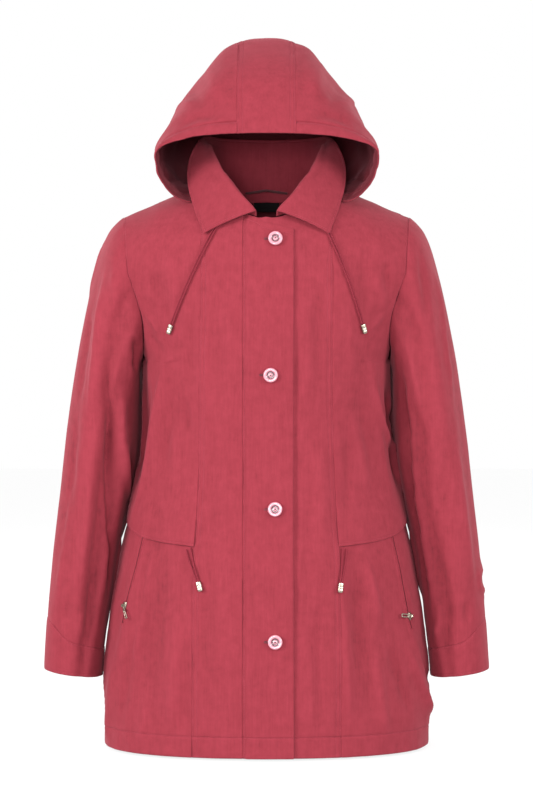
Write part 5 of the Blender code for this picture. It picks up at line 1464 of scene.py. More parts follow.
def spaced(
    line: Callable[[Array], Array], low: float, high: float, step: float, fine_at: float = 0.0
) -> Array:
    """Values whose points on a line are evenly spaced, and closer together beside its ends.

    Args:
        line: Gives points for an array of values.
        low: First value.
        high: Last value.
        step: Distance between two points.
        fine_at: Distance from the first end round which they are close as well.

    Returns:
        The values, in order.
    """
    fine = np.linspace(low, high, 500)
    run = runs(line(fine))
    total = run[-1]
    near = EDGE_SAMPLES[EDGE_SAMPLES < total / 2 - step * 0.4]
    inner = total - 2 * near[-1]
    middle = near[-1] + np.linspace(0.0, inner, max(1, round(inner / step)) + 1)[1:-1]
    if fine_at:
        middle = middle[np.abs(middle - fine_at) > FINE_SAMPLES[-1] + step * 0.4]
        middle = np.sort(np.concatenate([middle, fine_at + FINE_SAMPLES]))
    return np.interp(np.concatenate([near, middle, (total - near)[::-1]]), run, fine)


class Cut(NamedTuple):
    """The flat piece that a maker cuts: its rectangle, and the part of it that the piece fills."""

    width: float
    length: float
    share: float


CUTS = {
    "centre_front_right": Cut(0.135, 0.846, 0.47),
    "side_front_right": Cut(0.181, 0.568, 0.73),
    "skirt_front_right": Cut(0.209, 0.343, 0.89),
    "centre_front_left": Cut(0.192, 0.846, 0.57),
    "side_front_left": Cut(0.181, 0.568, 0.73),
    "skirt_front_left": Cut(0.214, 0.341, 0.87),
    "back_upper": Cut(0.536, 0.580, 0.77),
    "back_lower": Cut(0.606, 0.342, 0.87),
    "placket": Cut(0.076, 0.736, 0.89),
    "sleeve_right": Cut(0.618, 0.573, 0.65),
    "cuff_right": Cut(0.314, 0.071, 0.69),
    "sleeve_left": Cut(0.618, 0.574, 0.64),
    "cuff_left": Cut(0.314, 0.071, 0.69),
    "collar": Cut(0.645, 0.098, 0.84),
    "hood_side_right": Cut(0.273, 0.515, 0.49),
    "hood_side_left": Cut(0.274, 0.514, 0.49),
    "hood_centre": Cut(0.083, 0.530, 0.97),
}


@dataclass
class Piece:
    """One piece of cloth, before it is sewn.

    Attributes:
        node: The solid that it stands for.
        surface: Its plain form.
        u: First coordinate of each row's points.
        v: Second coordinate of each row's points.
        facing: 1 where across x up points out of the cloth, else -1.
        relief: The broad folds' lift.
        layers: The creases.
        edges: How each edge is sewn.
        thickness: Of the cloth.
        closed: Whether each row's end meets its start.
        seed: Picks its puckers and rumples.
        rumple: Height of the low unevenness all over.
        held: How the cloth is held.
        lined: Whether its inner side is darkened with painted shade.
    """

    node: str
    surface: Surface
    u: Array
    v: Array
    facing: int
    relief: Callable[[Array, Array, Array], Array]
    layers: Sequence[CreaseLayer]
    edges: dict[Edge, EdgeFinish]
    thickness: float = CLOTH
    closed: bool = False
    seed: int = 1
    rumple: float = 0.7 * MM
    held: str = "gathered"
    lined: bool = True


@dataclass
class ClothGrid:
    """A shaped piece of cloth.

    Attributes:
        points: Outer face, rows by columns by 3.
        normals: Outward directions at the points.
        distances: Distance of each point from each edge.
        uv: The cloth's own coordinates, in metres.
        girths: Length of each row all round, where it is closed.
        fold: How far each point is on a ridge (+) or in a trough (-), from 1 to -1; the cloth's colour takes painted
            highlight on ridges and painted shade in troughs from it.
    """

    points: Array
    normals: Array
    distances: dict[Edge, Array]
    uv: Array
    girths: Array
    fold: Array

    def offset_line(self, edge: Edge, offset: float, lift: float) -> Array:
        """Points on the face at a fixed distance from an edge.

        Args:
            edge: The edge that the line follows.
            offset: Its distance from that edge.
            lift: How far the points stand over the face.

        Returns:
            The line's points, in order.
        """
        distance, points = self.distances[edge], self.points + self.normals * lift
        if edge in (Edge.BOTTOM, Edge.TOP):
            distance, points = distance.T, points.transpose(1, 0, 2)
        if edge in (Edge.END, Edge.TOP):
            distance, points = distance[:, ::-1], points[:, ::-1]
        return np.array([read_line(offset, run, line) for run, line in zip(distance, points)])


def grid_normals(points: Array, facing: int, closed: bool) -> Array:
    """Work out the outward directions of a grid of points."""
    if closed:
        across = np.roll(points, -1, axis=1) - np.roll(points, 1, axis=1)
    else:
        across = np.gradient(points, axis=1)
    return unit(np.cross(across, np.gradient(points, axis=0))) * facing


@dataclass
class Tailor:
    """Shapes, dresses and declares every piece of cloth, and keeps its lines of stitches.

    Attributes:
        cloth: The shell's material.
        trims: Points of what lies on the cloth, beside which it stays calm.
        threads: Lines of stitches so far.
    """

    cloth: bpy.types.Material
    trims: Array
    threads: list[Array] = field(default_factory=list)

    def shape(self, piece: Piece) -> ClothGrid:
        """Shape a piece on its plain form.

        Args:
            piece: The piece.

        Returns:
            Its grid.
        """
        plain = piece.surface(piece.u, piece.v)
        normals = grid_normals(plain, piece.facing, piece.closed)
        start, bottom = runs(plain, 1), runs(plain)
        distances = {Edge.START: start, Edge.END: start[:, -1:] - start,
                     Edge.BOTTOM: bottom, Edge.TOP: bottom[-1:] - bottom}
        gap = np.linalg.norm(plain[:, :1] - plain[:, -1:], axis=-1)
        girths = start[:, -1] + gap[:, 0]
        rumple = noise(start / 0.031, bottom / 0.043, piece.seed)
        rumple += 0.5 * noise(start / 0.013, bottom / 0.021, piece.seed + 11)
        if piece.closed:
            rumple *= np.sin(start / girths[:, None] * math.pi) ** 0.5
        lift = piece.rumple * rumple
        for layer in piece.layers:
            lift = lift + layer.lift(plain, normals)
        lift = lift * self.calm(plain)
        relief = piece.relief(piece.u, piece.v, plain)
        # How far each point is on a ridge or in a trough: the cloth's colour paints highlight on ridges and shade in
        # troughs from this.
        fold = np.clip((lift + relief * piece.closed) / FULL_FOLD_SHADE, -1.0, 1.0)
        lift = lift + relief
        for number, (edge, finish) in enumerate(piece.edges.items()):
            run = bottom if edge in (Edge.START, Edge.END) else start
            lift = lift + finish.lift(distances[edge], run, piece.seed + 20 * number)
        points = plain + normals * lift[..., None]
        uv = np.stack([start - start[:, start.shape[1] // 2][:, None], bottom], axis=-1)
        normals = grid_normals(points, piece.facing, piece.closed)
        return ClothGrid(points, normals, distances, uv, girths, fold)

    def calm(self, points: Array) -> Array:
        """Share of the creases that is left beside cords, buttons and zips."""
        flat = points.reshape(-1, 3)
        low, high = flat.min(axis=0) - 0.03, flat.max(axis=0) + 0.03
        near = self.trims[((self.trims > low) & (self.trims < high)).all(axis=1)]
        best = np.full(len(flat), 1.0)
        for trim in near:
            best = np.minimum(best, ((flat - trim) ** 2).sum(axis=1))
        return fade(np.sqrt(best), 4 * MM, 16 * MM).reshape(points.shape[:2])

    def sew(self, piece: Piece) -> ClothGrid:
        """Args:
            piece: The piece.

        Returns:
            Its grid, for what is sewn on it.
        """
        grid = self.shape(piece)
        made = shell_mesh("cloth_" + piece.node, grid, piece)
        finish_piece(made, self.cloth, "shell", GARMENT, [piece.node])
        for edge, finish in piece.edges.items():
            for offset in finish.stitches:
                self.threads.append(grid.offset_line(edge, offset, THREAD_LIFT))
        cut = CUTS[piece.node]
        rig.sheet(made, flat=(cut.width, cut.length), held=piece.held, area=cut.width * cut.length * cut.share)
        return grid


def shell_mesh(name: str, grid: ClothGrid, piece: Piece) -> bpy.types.Object:
    """Make a closed thin shell with rounded edges from a grid.

    Args:
        name: The object's name.
        grid: The cloth's outer face.
        piece: Its thickness, facing and whether it is closed.

    Returns:
        The new object.
    """
    rows, columns = grid.points.shape[:2]
    count = rows * columns
    outer = grid.points.reshape(-1, 3)
    inner = (grid.points - grid.normals * piece.thickness).reshape(-1, 3)
    index = np.arange(count).reshape(rows, columns)
    across = np.concatenate([index, index[:, :1]], axis=1) if piece.closed else index
    a, b = across[:-1, :-1].ravel(), across[:-1, 1:].ravel()
    c, d = across[1:, 1:].ravel(), across[1:, :-1].ravel()
    faces = [np.stack([a, b, c, d], axis=1), np.stack([a, d, c, b], axis=1) + count]
    uv = grid.uv.reshape(-1, 2)
    # Painted shade and painted highlight: the fold layer darkens troughs and pales ridges, and the inside layer
    # darkens the inner side, and a little at the rims.
    fold, inside_shade = grid.fold.ravel(), float(piece.lined)
    points, uvs, inside = [outer, inner], [uv, uv], [np.zeros(count), np.full(count, inside_shade)]
    fold_shades = [fold, fold]
    borders = [(index[0], index[1]), (index[-1][::-1], index[-2][::-1])]
    if not piece.closed:
        borders += [(index[::-1, 0], index[::-1, 1]), (index[:, -1], index[:, -2])]
    total = 2 * count
    bulges = []
    for line, neighbour in borders:
        away = unit(outer[line] - outer[neighbour])
        points.append((outer[line] + inner[line]) / 2 + away * piece.thickness * 0.42)
        uvs.append(uv[line])
        inside.append(np.full(len(line), 0.3 * inside_shade))
        fold_shades.append(fold[line])
        bulge = total + np.arange(len(line))
        bulges.append(bulge)
        total += len(line)
        for first, second in ((line, bulge), (bulge, line + count)):
            if piece.closed:
                first, second = np.append(first, first[0]), np.append(second, second[0])
            faces.append(np.stack([first[1:], first[:-1], second[:-1], second[1:]], axis=1))
    if not piece.closed:
        low, high, left, right = bulges
        meets = [(index[0, 0], left[-1], low[0]), (index[0, -1], low[-1], right[0]),
                 (index[-1, -1], right[-1], high[0]), (index[-1, 0], high[-1], left[0])]
        faces += [np.array([[corner, first, corner + count, second]]) for corner, first, second in meets]
    quads = np.concatenate(faces)
    if piece.facing < 0:
        quads = quads[:, ::-1]
    girth = np.repeat(grid.girths, columns)
    wrap = np.concatenate([girth, girth, np.full(total - 2 * count, girth.mean())]) if piece.closed else None
    made = cloth_object(name, np.concatenate(points), quads, np.concatenate(uvs), wrap)
    for word, values in (("inside", inside), ("fold", fold_shades)):
        write_layer(made, word, np.concatenate(values))
    return made


def placed(name: str, data: bpy.types.ID) -> bpy.types.Object:
    """Return a new object with this data, linked to the scene."""
    made = bpy.data.objects.new(name, data)
    bpy.context.scene.collection.objects.link(made)
    return made


def smooth_object(name: str, points: list, faces: list) -> bpy.types.Object:
    """Return a new smooth-shaded object from its points and faces."""
    mesh = bpy.data.meshes.new(name)
    mesh.from_pydata(points, [], faces)
    mesh.shade_smooth()
    return placed(name, mesh)


def write_layer(made: bpy.types.Object, word: str, values: Array) -> None:
    """Keep a number for each point of a piece, for its material to read."""
    layer = made.data.attributes.new(word, "FLOAT", "POINT")
    layer.data.foreach_set("value", np.asarray(values, np.float32))


def cloth_object(
    name: str, points: Array, quads: Array, uv: Array, wrap: Optional[Array] = None
) -> bpy.types.Object:
    """Make a smooth-shaded object with the cloth's own coordinates.

    Args:
        name: The object's name.
        points: The mesh's points.
        quads: Four point numbers a row.
        uv: The surface's own coordinates of each point, in metres.
        wrap: Length of the row that each point is in, where rows are closed.

    Returns:
        The new object, linked to the scene.
    """
    made = smooth_object(name, points.tolist(), quads.tolist())
    corners = uv[quads].astype(np.float32)
    if wrap is not None:
        across = corners[..., 0]
        split = (across.max(axis=1) - across.min(axis=1))[:, None] > wrap[quads] / 2
        corners[..., 0] = np.where(split & (across < 0), across + wrap[quads], across)
    made.data.uv_layers.new(name="cloth").data.foreach_set("uv", corners.ravel())
    return made


def finish_piece(
    made: bpy.types.Object, finish: bpy.types.Material, slot: str, body: str, nodes: Sequence[str]
) -> bpy.types.Object:
    """Dress a piece and say what it rides on and stands for.

    Args:
        made: The piece.
        finish: Its material.
        slot: The record's material slot.
        body: The body that it moves with.
        nodes: The solids that it stands for.

    Returns:
        The piece.
    """
    made.data.materials.clear()
    made.data.materials.append(finish)
    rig.ride(made, body)
    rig.slot(made, slot)
    if nodes:
        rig.replaces(made, *nodes)
    LOG.info("%s: %d faces", made.name, len(made.data.polygons))
    return made


# ------------------------------------------------------------------ panels of the torso


@dataclass
class TorsoPanels:
    """Fronts, skirt fronts, back and placket.

    Attributes:
        form: The torso's form.
        tailor: Who sews them.
        step: Distance between two points of the front's cloth.
        back_step: The same on the back.
        lip_height: How high the cloth stands beside a pocket's slit ...
        lip_out: ... this far from its middle ...
        lip_width: ... over this width.
        slit_depth: How far it dips at the slit ...
        slit_width: ... over this width.
    """

    form: TorsoForm
    tailor: Tailor
    step: float = 3.4 * MM
    back_step: float = 4.2 * MM
    lip_height: float = 1.5 * MM
    lip_out: float = 4.4 * MM
    lip_width: float = 1.7 * MM
    slit_depth: float = 0.9 * MM
    slit_width: float = 1.9 * MM

    def make(self) -> None:
        """Make every panel."""
        for word, side in SIDES:
            self.centre_front(word, side)
            self.side_front(word, side)
            self.skirt_front(word, side)
        self.back_upper()
        self.back_lower()
        self.placket()

    def sew(
        self, node: str, side: int, face: int, place: Array, level: Array,
        sewn: Sequence[EdgeFinish], seed: int, extra: Optional[Surface] = None,
    ) -> ClothGrid:
        """Sew one panel of the torso.

        Args:
            node: The solid that it stands for.
            side: RIGHT or LEFT, towards which its places rise.
            face: FRONT or BACK.
            place: Place of each of its points.
            level: Their level.
            sewn: How its start, end, bottom and top edges are sewn.
            seed: Picks its puckers and rumples.
            extra: A lift of the panel's own.

        Returns:
            Its grid.
        """

        def lift(place: Array, level: Array, plain: Array) -> Array:
            """Return the broad folds' lift with the panel's own."""
            total = self.form.relief(side, face, place, plain[..., 2])
            return total + extra(place, level) if extra else total

        layers = [CreaseLayer(FRONT, TORSO_CREASES, 2.1), CreaseLayer(BACK, BACK_CREASES, 1.6)]
        edges = dict(zip((Edge.START, Edge.END, Edge.BOTTOM, Edge.TOP), sewn))
        place, level = place + 0 * level, level + 0 * place
        return self.tailor.sew(Piece(
            node, self.form.surface(side, face), place, level, -side * face, lift, layers, edges, seed=seed,
        ))

    def sew_armhole(self, grid: ClothGrid, edge: Edge) -> None:
        """Stitch beside the armhole, which is the part of an edge over the underarm."""
        line = grid.offset_line(edge, SEAM_STITCH, THREAD_LIFT)
        self.tailor.threads.append(line[line[:, 2] > UNDERARM + ARMHOLE_STITCH_FROM])

    def levels(self, side: int, face: int, place: float, lowest: float, step: float) -> Array:
        """Levels from a height to the shoulder seam, evenly spaced on the cloth, one a row."""
        return spaced(lambda level: self.form.plain(side, face, place, level), level_of(lowest), 2.0, step,
                      HEM_STITCH if lowest == HEM else 0.0)[:, None]

    def rises(self, side: int, face: int, place: float, highest: float, step: float) -> Array:
        """Shares of the way up from the hem, evenly spaced on the cloth, one a row."""
        return spaced(lambda rise: self.form.plain(side, face, place, level_of(mix(HEM, highest, rise))),
                      0.0, 1.0, step, HEM_STITCH)[:, None]

    def shares(self, side: int, low: float, high: float, height: float) -> Array:
        """Shares across a front panel, evenly spaced on the cloth at a height, in one row."""
        return spaced(lambda share: self.form.plain(side, FRONT, mix(low, high, share), level_of(height)),
                      0.0, 1.0, self.step)[None, :]

    def ended(self, face: int, place: Array, level: Array) -> Array:
        """Levels of the roll drawn down so that the last one is the neckline."""
        return np.where(level <= 1, level, mix(1.0, self.form.neck_level(face, place), level - 1))

    def drawn(self, rows: Array, lowest: float, edge: Array, upper: Array) -> Array:
        """Levels of an upper panel, its rows drawn to the overlap's edge beneath the underarm.

        Args:
            rows: Level of each row.
            lowest: Height of the lowest row.
            edge: Height of the overlap's edge at each place.
            upper: The levels from the underarm up.

        Returns:
            The level of each point.
        """
        height = mix(HEM, CHEST, rows)
        drawn = mix(edge, UNDERARM, (height - lowest) / (UNDERARM - lowest))
        return np.where(height <= UNDERARM, level_of(drawn), upper)

    def centre_front(self, word: str, side: int) -> None:
        """From the placket to the long seam, hem to neckline."""
        first_out = -PLACKET_RIGHT if side == RIGHT else PLACKET_UNDER
        level = self.levels(side, FRONT, 0.25, HEM, self.step)
        start = self.form.place_at(side, FRONT, first_out, np.minimum(level, 1.0))
        end = self.form.princess_place(side, level) - SEAM_SHARE
        place = mix(start, end, self.shares(side, float(start[0, 0]), float(end[0, 0]), HEM))
        level = self.ended(FRONT, place, level + 0 * place)
        sewn = (PLAIN_SEAM if side == RIGHT else HIDDEN_EDGE, DOUBLE_STITCHED, HEMMED, PLAIN_SEAM)
        self.sew("centre_front_" + word, side, FRONT, place, level, sewn, 31 + side)

    def side_front(self, word: str, side: int) -> None:
        """From the long seam to the side seam and armhole, shoulder to the overlap's edge."""
        form, lowest = self.form, OVERLAP[0].front_height
        seam_place = form.overlap_start(side)
        rows = self.levels(side, FRONT, 0.7, lowest, self.step)
        share = self.shares(side, seam_place, 1.0, UNDERARM)
        level = self.drawn(rows, lowest, form.overlap.read("front_height", share), rows)
        place = mix(form.princess_place(side, level) + SEAM_SHARE, 1.0 - SEAM_SHARE, share)
        grid = self.sew("side_front_" + word, side, FRONT, place, self.ended(FRONT, place, level), SEWN_UPPER,
                        41 + side, form.overlap_lift(FRONT, seam_place, True))
        self.sew_armhole(grid, Edge.END)

    def skirt_front(self, word: str, side: int) -> None:
        """From the long seam to the side seam, hem to just behind the overlap."""
        form = self.form
        seam_place = form.overlap_start(side)
        across = self.shares(side, seam_place, 1.0, -0.6)[0]
        spec = ZIPS[SIDES.index((word, side))]
        slit_out, slit_height = zip_points(spec, np.linspace(ZIP_HIDDEN / 2, 1.0, 12))
        slit_level = level_of(slit_height)
        slit_place = form.place_at(side, FRONT, slit_out, slit_level)
        seam = form.princess_place(side, slit_level)
        slit_share = (slit_place - seam) / (1 - seam)
        fine = np.arange(slit_share.min() - 0.075, slit_share.max() + 0.075, 0.0085)
        outside = (across < fine[0] - 0.004) | (across > fine[-1] + 0.004)
        share = np.sort(np.concatenate([across[outside], fine]))[None, :]
        top = form.overlap.read("front_height", share) + OVERLAP_DEPTH
        level = level_of(mix(HEM, top, self.rises(side, FRONT, 0.75, -0.433, self.step)))
        place = mix(form.princess_place(side, level) + SEAM_SHARE, 1.0 - SEAM_SHARE, share)
        own = form.overlap_lift(FRONT, seam_place, False)
        surface = form.surface(side, FRONT)
        path = surface(slit_place, slit_level)

        def lips(place: Array, level: Array) -> Array:
            """Return the skirt's own lift with the pocket's raised lips."""
            away = line_distance(surface(place, level), path)
            lip = self.lip_height * np.exp(-(((away - self.lip_out) / self.lip_width) ** 2))
            return own(place, level) + lip - self.slit_depth * np.exp(-((away / self.slit_width) ** 2))

        self.sew("skirt_front_" + word, side, FRONT, place, level, SEWN_LOWER, 51 + side, lips)

    def back_upper(self) -> None:
        """The back from the overlap's edge to the neckline and shoulders."""
        form, lowest, place = self.form, OVERLAP[0].back_height, self.back_places()
        rows = self.levels(LEFT, BACK, 0.5, lowest, self.back_step)
        upper = self.ended(BACK, place, rows + 0 * place)
        level = self.drawn(rows, lowest, form.overlap_height(BACK, place, 0.0), upper)
        grid = self.sew("back_upper", LEFT, BACK, place, level, SEWN_UPPER, 61,
                        form.overlap_lift(BACK, 0.0, True))
        self.sew_armhole(grid, Edge.START)
        self.sew_armhole(grid, Edge.END)

    def back_lower(self) -> None:
        """The back from the hem to just behind the overlap."""
        form, place = self.form, self.back_places()
        top = form.overlap_height(BACK, place, 0.0) + OVERLAP_DEPTH
        level = level_of(mix(HEM, top, self.rises(LEFT, BACK, 0.4, -0.45, self.back_step)))
        self.sew("back_lower", LEFT, BACK, place, level, SEWN_LOWER, 71, form.overlap_lift(BACK, 0.0, False))

    def back_places(self) -> Array:
        """Places across the back, evenly spaced on the cloth, in one row."""
        return spaced(lambda place: self.form.plain(LEFT, BACK, place, level_of(-0.3)),
                      -1.0 + SEAM_SHARE, 1.0 - SEAM_SHARE, self.back_step)[None, :]

    def placket(self) -> None:
        """The strip with the buttonholes, lapped over the left front."""
        form = self.form
        level = self.levels(LEFT, FRONT, 0.0, HEM, self.step)
        out = spaced(lambda out: stack(out, 0.0, 0.0), PLACKET_RIGHT + SEAM_GAP, PLACKET_LEFT, self.step)
        place = form.place_at(LEFT, FRONT, out[None, :], np.minimum(level, 1.0))
        top = mix(form.neck_level(FRONT, place), PLACKET_TOP, fade(out[None, :], PLACKET_NECK_END, 0.0))
        level = np.where(level <= 1, level, mix(1.0, top, level - 1))
        stitched = EdgeFinish(groove=0.7 * MM, stitches=(2.2 * MM,), pucker=0.5 * MM)
        top_edge = EdgeFinish(groove=0.5 * MM, stitches=(8.0 * MM,), dent=0.4 * MM, pucker=0.3 * MM)
        sewn = (stitched, FOLDED_EDGE, HEMMED, top_edge)
        self.sew("placket", LEFT, FRONT, place, level, sewn, 81, placket_lap(form))


def line_distance(points: Array, path: Array) -> Array:
    """Distance of each point from a line through the path's points."""
    flat = points.reshape(-1, 3)
    best = np.full(len(flat), np.inf)
    for start, end in zip(path, path[1:]):
        run = end - start
        at = np.clip((flat - start) @ run / (run @ run), 0.0, 1.0)
        best = np.minimum(best, np.linalg.norm(flat - start - at[:, None] * run, axis=1))
    return best.reshape(points.shape[:-1])


def zip_points(spec: Zip, share: Array) -> tuple[Array, Array]:
    """Return how far out and how high a zip is at a share of its length."""
    return mix(spec.top_out, spec.low_out, share), mix(spec.top_height, spec.low_height, share)


# ------------------------------------------------------------------ sleeves, collar and hood


FRONT_LINE = 0.25         # of a sleeve, as a share of the way round it
SLEEVE_COLUMNS = 108


def no_folds(place: Array, share: Array, plain: Array) -> Array:
    """Return no lift at all, for a piece without broad folds."""
    return np.zeros(place.shape)


@dataclass
class Sleeves:
    """Two sleeves and their cuffs.

    Attributes:
        torso: The torso's form.
        tailor: Who sews them.
        step: Distance between two points of the cloth.
    """

    torso: TorsoForm
    tailor: Tailor
    step: float = 3.7 * MM

    def make(self) -> None:
        """Make both sleeves."""
        for word, side in SIDES:
            self.sleeve(word, SleeveForm(self.torso, side))

    def sleeve(self, word: str, form: SleeveForm) -> None:
        """One sleeve and its cuff."""
        turn = np.arange(SLEEVE_COLUMNS)[None, :] / SLEEVE_COLUMNS
        share = spaced(lambda share: form.plain(FRONT_LINE, share * cuff_seam(np.array(FRONT_LINE))),
                       0.0, 1.0, self.step)[:, None]
        seam = cuff_seam(turn)
        layers = [CreaseLayer(FRONT, SLEEVE_CREASES, 1.9), CreaseLayer(BACK, SLEEVE_BACK_CREASES, 1.6)]
        place = seam * share
        head = EdgeFinish(groove=0.1 * MM, pucker=0.8 * MM, pucker_length=11 * MM, pucker_reach=22 * MM)
        self.tailor.sew(Piece(
            "sleeve_" + word, form.plain, turn + 0 * place, place, form.side,
            lambda turn, place, plain: form.relief(turn, place), layers,
            {Edge.BOTTOM: head, Edge.TOP: PLAIN_SEAM}, closed=True, seed=91 + form.side, rumple=0.9 * MM,
        ))
        share = spaced(lambda share: form.plain(FRONT_LINE, mix(0.925, 1.0, share)),
                       0.0, 1.0, self.step * 0.7)[:, None]
        place = mix(seam + CUFF_GAP, 1.0, share)
        cuff_top = EdgeFinish(stitches=(SEAM_STITCH,), pucker=0.5 * MM)
        cuff_end = EdgeFinish(groove=0.5 * MM, groove_reach=1.5 * MM, stitches=(3.0 * MM,), pucker=0.4 * MM)
        self.tailor.sew(Piece(
            "cuff_" + word, form.plain, turn + 0 * place, place, form.side,
            lambda turn, place, plain: form.relief(turn, place) + CUFF_OUT, layers,
            {Edge.BOTTOM: cuff_top, Edge.TOP: cuff_end}, closed=True, seed=101 + form.side,
        ))


@dataclass
class CollarPiece:
    """The collar: a stand behind the neck that folds over into two leaves in front."""

    torso: TorsoForm
    tailor: Tailor
    step: float = 3.0 * MM

    def make(self) -> None:
        """Make the collar."""
        form = CollarForm(self.torso)
        place = spaced(lambda place: form.plain(place, 2.6), -1.0, 1.0, self.step)[None, :]
        share = spaced(lambda share: form.plain(0.82, share), 0.0, 3.0, self.step * 0.8)[:, None]
        edge = EdgeFinish(groove=0.7 * MM, groove_reach=1.2 * MM, stitches=(3.0 * MM,), dent=0.7 * MM,
                          pucker=0.6 * MM, pucker_length=10 * MM)
        side = EdgeFinish(groove=0.7 * MM, groove_reach=1.2 * MM, stitches=(3.0 * MM,), dent=0.6 * MM)
        place, share = np.broadcast_arrays(place, share)
        self.tailor.sew(Piece(
            "collar", form.plain, place, share, 1, no_folds, [CreaseLayer(FRONT, COLLAR_CREASES, 1.2)],
            {Edge.START: side, Edge.END: side, Edge.TOP: edge}, thickness=COLLAR_CLOTH, seed=111,
            rumple=0.3 * MM, held="folded", lined=False,
        ))


@dataclass
class Hood:
    """The hood's three panels."""

    torso: TorsoForm
    tailor: Tailor
    step: float = 3.6 * MM

    def make(self) -> None:
        """Make the centre strip and both side panels."""
        form = HoodForm(self.torso)
        place = spaced(lambda place: form.plain(LEFT, 0.7, place), 0.0, 1.0, self.step, CASING_STITCH)
        layers = [CreaseLayer(FRONT, HOOD_CREASES, 2.0), CreaseLayer(BACK, HOOD_BACK_CREASES, 1.5)]
        brim = EdgeFinish(groove=1.3 * MM, groove_reach=3.0 * MM, stitches=(CASING_STITCH,), dent=2.9 * MM,
                          pucker=1.7 * MM, pucker_length=13 * MM, pucker_reach=19 * MM)
        for word, side in SIDES:
            seam = form.seam_share(side, place, HOOD_CENTRE_HALF + SEAM_GAP / 2)
            share = np.array([self.rib_shares(form, side, p, s) for p, s in zip(place, seam)])
            self.tailor.sew(Piece(
                "hood_side_" + word, lambda share, place, side=side: form.plain(side, share, place),
                share, place[:, None] + 0 * share, -side,
                lambda share, place, plain: form.relief(share, place), layers,
                {Edge.END: PLAIN_SEAM, Edge.BOTTOM: brim, Edge.START: PLAIN_SEAM}, seed=121 + side,
            ))
        out = spaced(lambda out: stack(out * HOOD_CENTRE_HALF, 0.0, 0.0), -1.0, 1.0, self.step)
        out, rows = np.broadcast_arrays(out[None, :], place[:, None])
        plain_brim = EdgeFinish(groove=1.3 * MM, groove_reach=3.0 * MM, pucker=0.5 * MM)
        edges = {Edge.START: DOUBLE_STITCHED, Edge.END: DOUBLE_STITCHED, Edge.BOTTOM: plain_brim}
        self.tailor.sew(Piece(
            "hood_centre", form.centre, out, rows, 1, no_folds, layers, edges, seed=131, rumple=0.5 * MM,
        ))

    def rib_shares(self, form: HoodForm, side: int, place: float, seam: float) -> Array:
        """Shares along one rib whose points are evenly spaced, the same number on each rib."""
        fine = np.linspace(0.0, seam, 160)
        run = runs(form.plain(side, fine, np.full(fine.shape, place)))
        near = EDGE_SAMPLES / run[-1]
        middle = np.linspace(near[-1], 1 - near[-1], 62)[1:-1]
        return np.interp(np.concatenate([near, middle, (1 - near)[::-1]]) * run[-1], run, fine)


# ------------------------------------------------------------------ sewing thread and zip teeth


def add_node(
    tree: bpy.types.NodeTree, kind: str, settings: Optional[dict] = None, inputs: Optional[dict] = None
) -> bpy.types.Node:
    """Add a node with its settings, and link or set its inputs.

    Args:
        tree: The tree to add it to.
        kind: The node's type.
        settings: Properties of the node.
        inputs: For each input, a socket to link or a value to set.

    Returns:
        The node.
    """
    node = tree.nodes.new(kind)
    for name, value in (settings or {}).items():
        setattr(node, name, value)
    for name, value in (inputs or {}).items():
        socket = node.inputs[name]
        if isinstance(value, bpy.types.NodeSocket):
            tree.links.new(value, socket)
        else:
            socket.default_value = value
    return node


class SewnThread:
    """One Geometry Nodes tree that sets a small rounded bead at each turned point."""

    def __init__(self) -> None:
        """Build the tree."""
        tree = bpy.data.node_groups.new("sewn_thread", "GeometryNodeTree")
        ports = tree.interface
        for name, way, kind in (("Points", "INPUT", "Geometry"), ("Bead size", "INPUT", "Vector"),
                                ("Finish", "INPUT", "Material"), ("Beads", "OUTPUT", "Geometry")):
            ports.new_socket(name, in_out=way, socket_type="NodeSocket" + kind)
        given = add_node(tree, "NodeGroupInput")
        turn = add_node(
            tree, "GeometryNodeInputNamedAttribute", {"data_type": "FLOAT_VECTOR"}, {"Name": "turn"})
        bead = add_node(tree, "GeometryNodeMeshUVSphere", None, {"Segments": 6, "Rings": 4, "Radius": 0.5})
        spread = add_node(tree, "GeometryNodeInstanceOnPoints", None, {
            "Points": given.outputs["Points"], "Instance": bead.outputs["Mesh"],
            "Rotation": turn.outputs["Attribute"], "Scale": given.outputs["Bead size"],
        })
        real = add_node(tree, "GeometryNodeRealizeInstances", None, {"Geometry": spread.outputs["Instances"]})
        dressed = add_node(tree, "GeometryNodeSetMaterial", None, {
            "Geometry": real.outputs["Geometry"], "Material": given.outputs["Finish"],
        })
        add_node(tree, "NodeGroupOutput", None, {"Beads": dressed.outputs["Geometry"]})
        self.tree = tree
        self.sockets = {item.name: item.identifier for item in ports.items_tree if item.in_out == "INPUT"}

    def beads(
        self, name: str, points: Array, turns: Array, size: tuple[float, float, float],
        finish: bpy.types.Material,
    ) -> bpy.types.Object:
        """Set a bead at each point and make the result a plain mesh.

        Args:
            name: The object's name.
            points: Where the beads stand.
            turns: Euler angles that turn each bead's length (Z) along the thread.
            size: Width, depth and length of a bead.
            finish: Its material.

        Returns:
            The new object.
        """
        mesh = bpy.data.meshes.new(name + "_points")
        mesh.from_pydata(points.tolist(), [], [])
        layer = mesh.attributes.new("turn", "FLOAT_VECTOR", "POINT")
        layer.data.foreach_set("vector", turns.astype(np.float32).ravel())
        seat = placed(name + "_points", mesh)
        step = seat.modifiers.new("Sewn", "NODES")
        step.node_group = self.tree
        step[self.sockets["Bead size"]] = size
        step[self.sockets["Finish"]] = finish
        shape = bpy.context.evaluated_depsgraph_get()
        done = bpy.data.meshes.new_from_object(seat.evaluated_get(shape))
        done.name = name
        bpy.data.objects.remove(seat)
        done.shade_smooth()
        return placed(name, done)


def paced(line: Array, pitch: float) -> tuple[Array, Array]:
    """Points a pitch apart on a line, and the turns that lay a bead along it.

    Args:
        line: The line's points.
        pitch: Distance between two beads.

    Returns:
        Points and Euler angles.
    """
    run = runs(line)
    at = np.arange(pitch / 2, run[-1], pitch)
    ways = read_line(at + pitch / 3, run, line) - read_line(at - pitch / 3, run, line)
    turns = [Vector(way).to_track_quat("Z", "Y").to_euler() for way in ways]
    return read_line(at, run, line), np.array(turns).reshape(-1, 3)


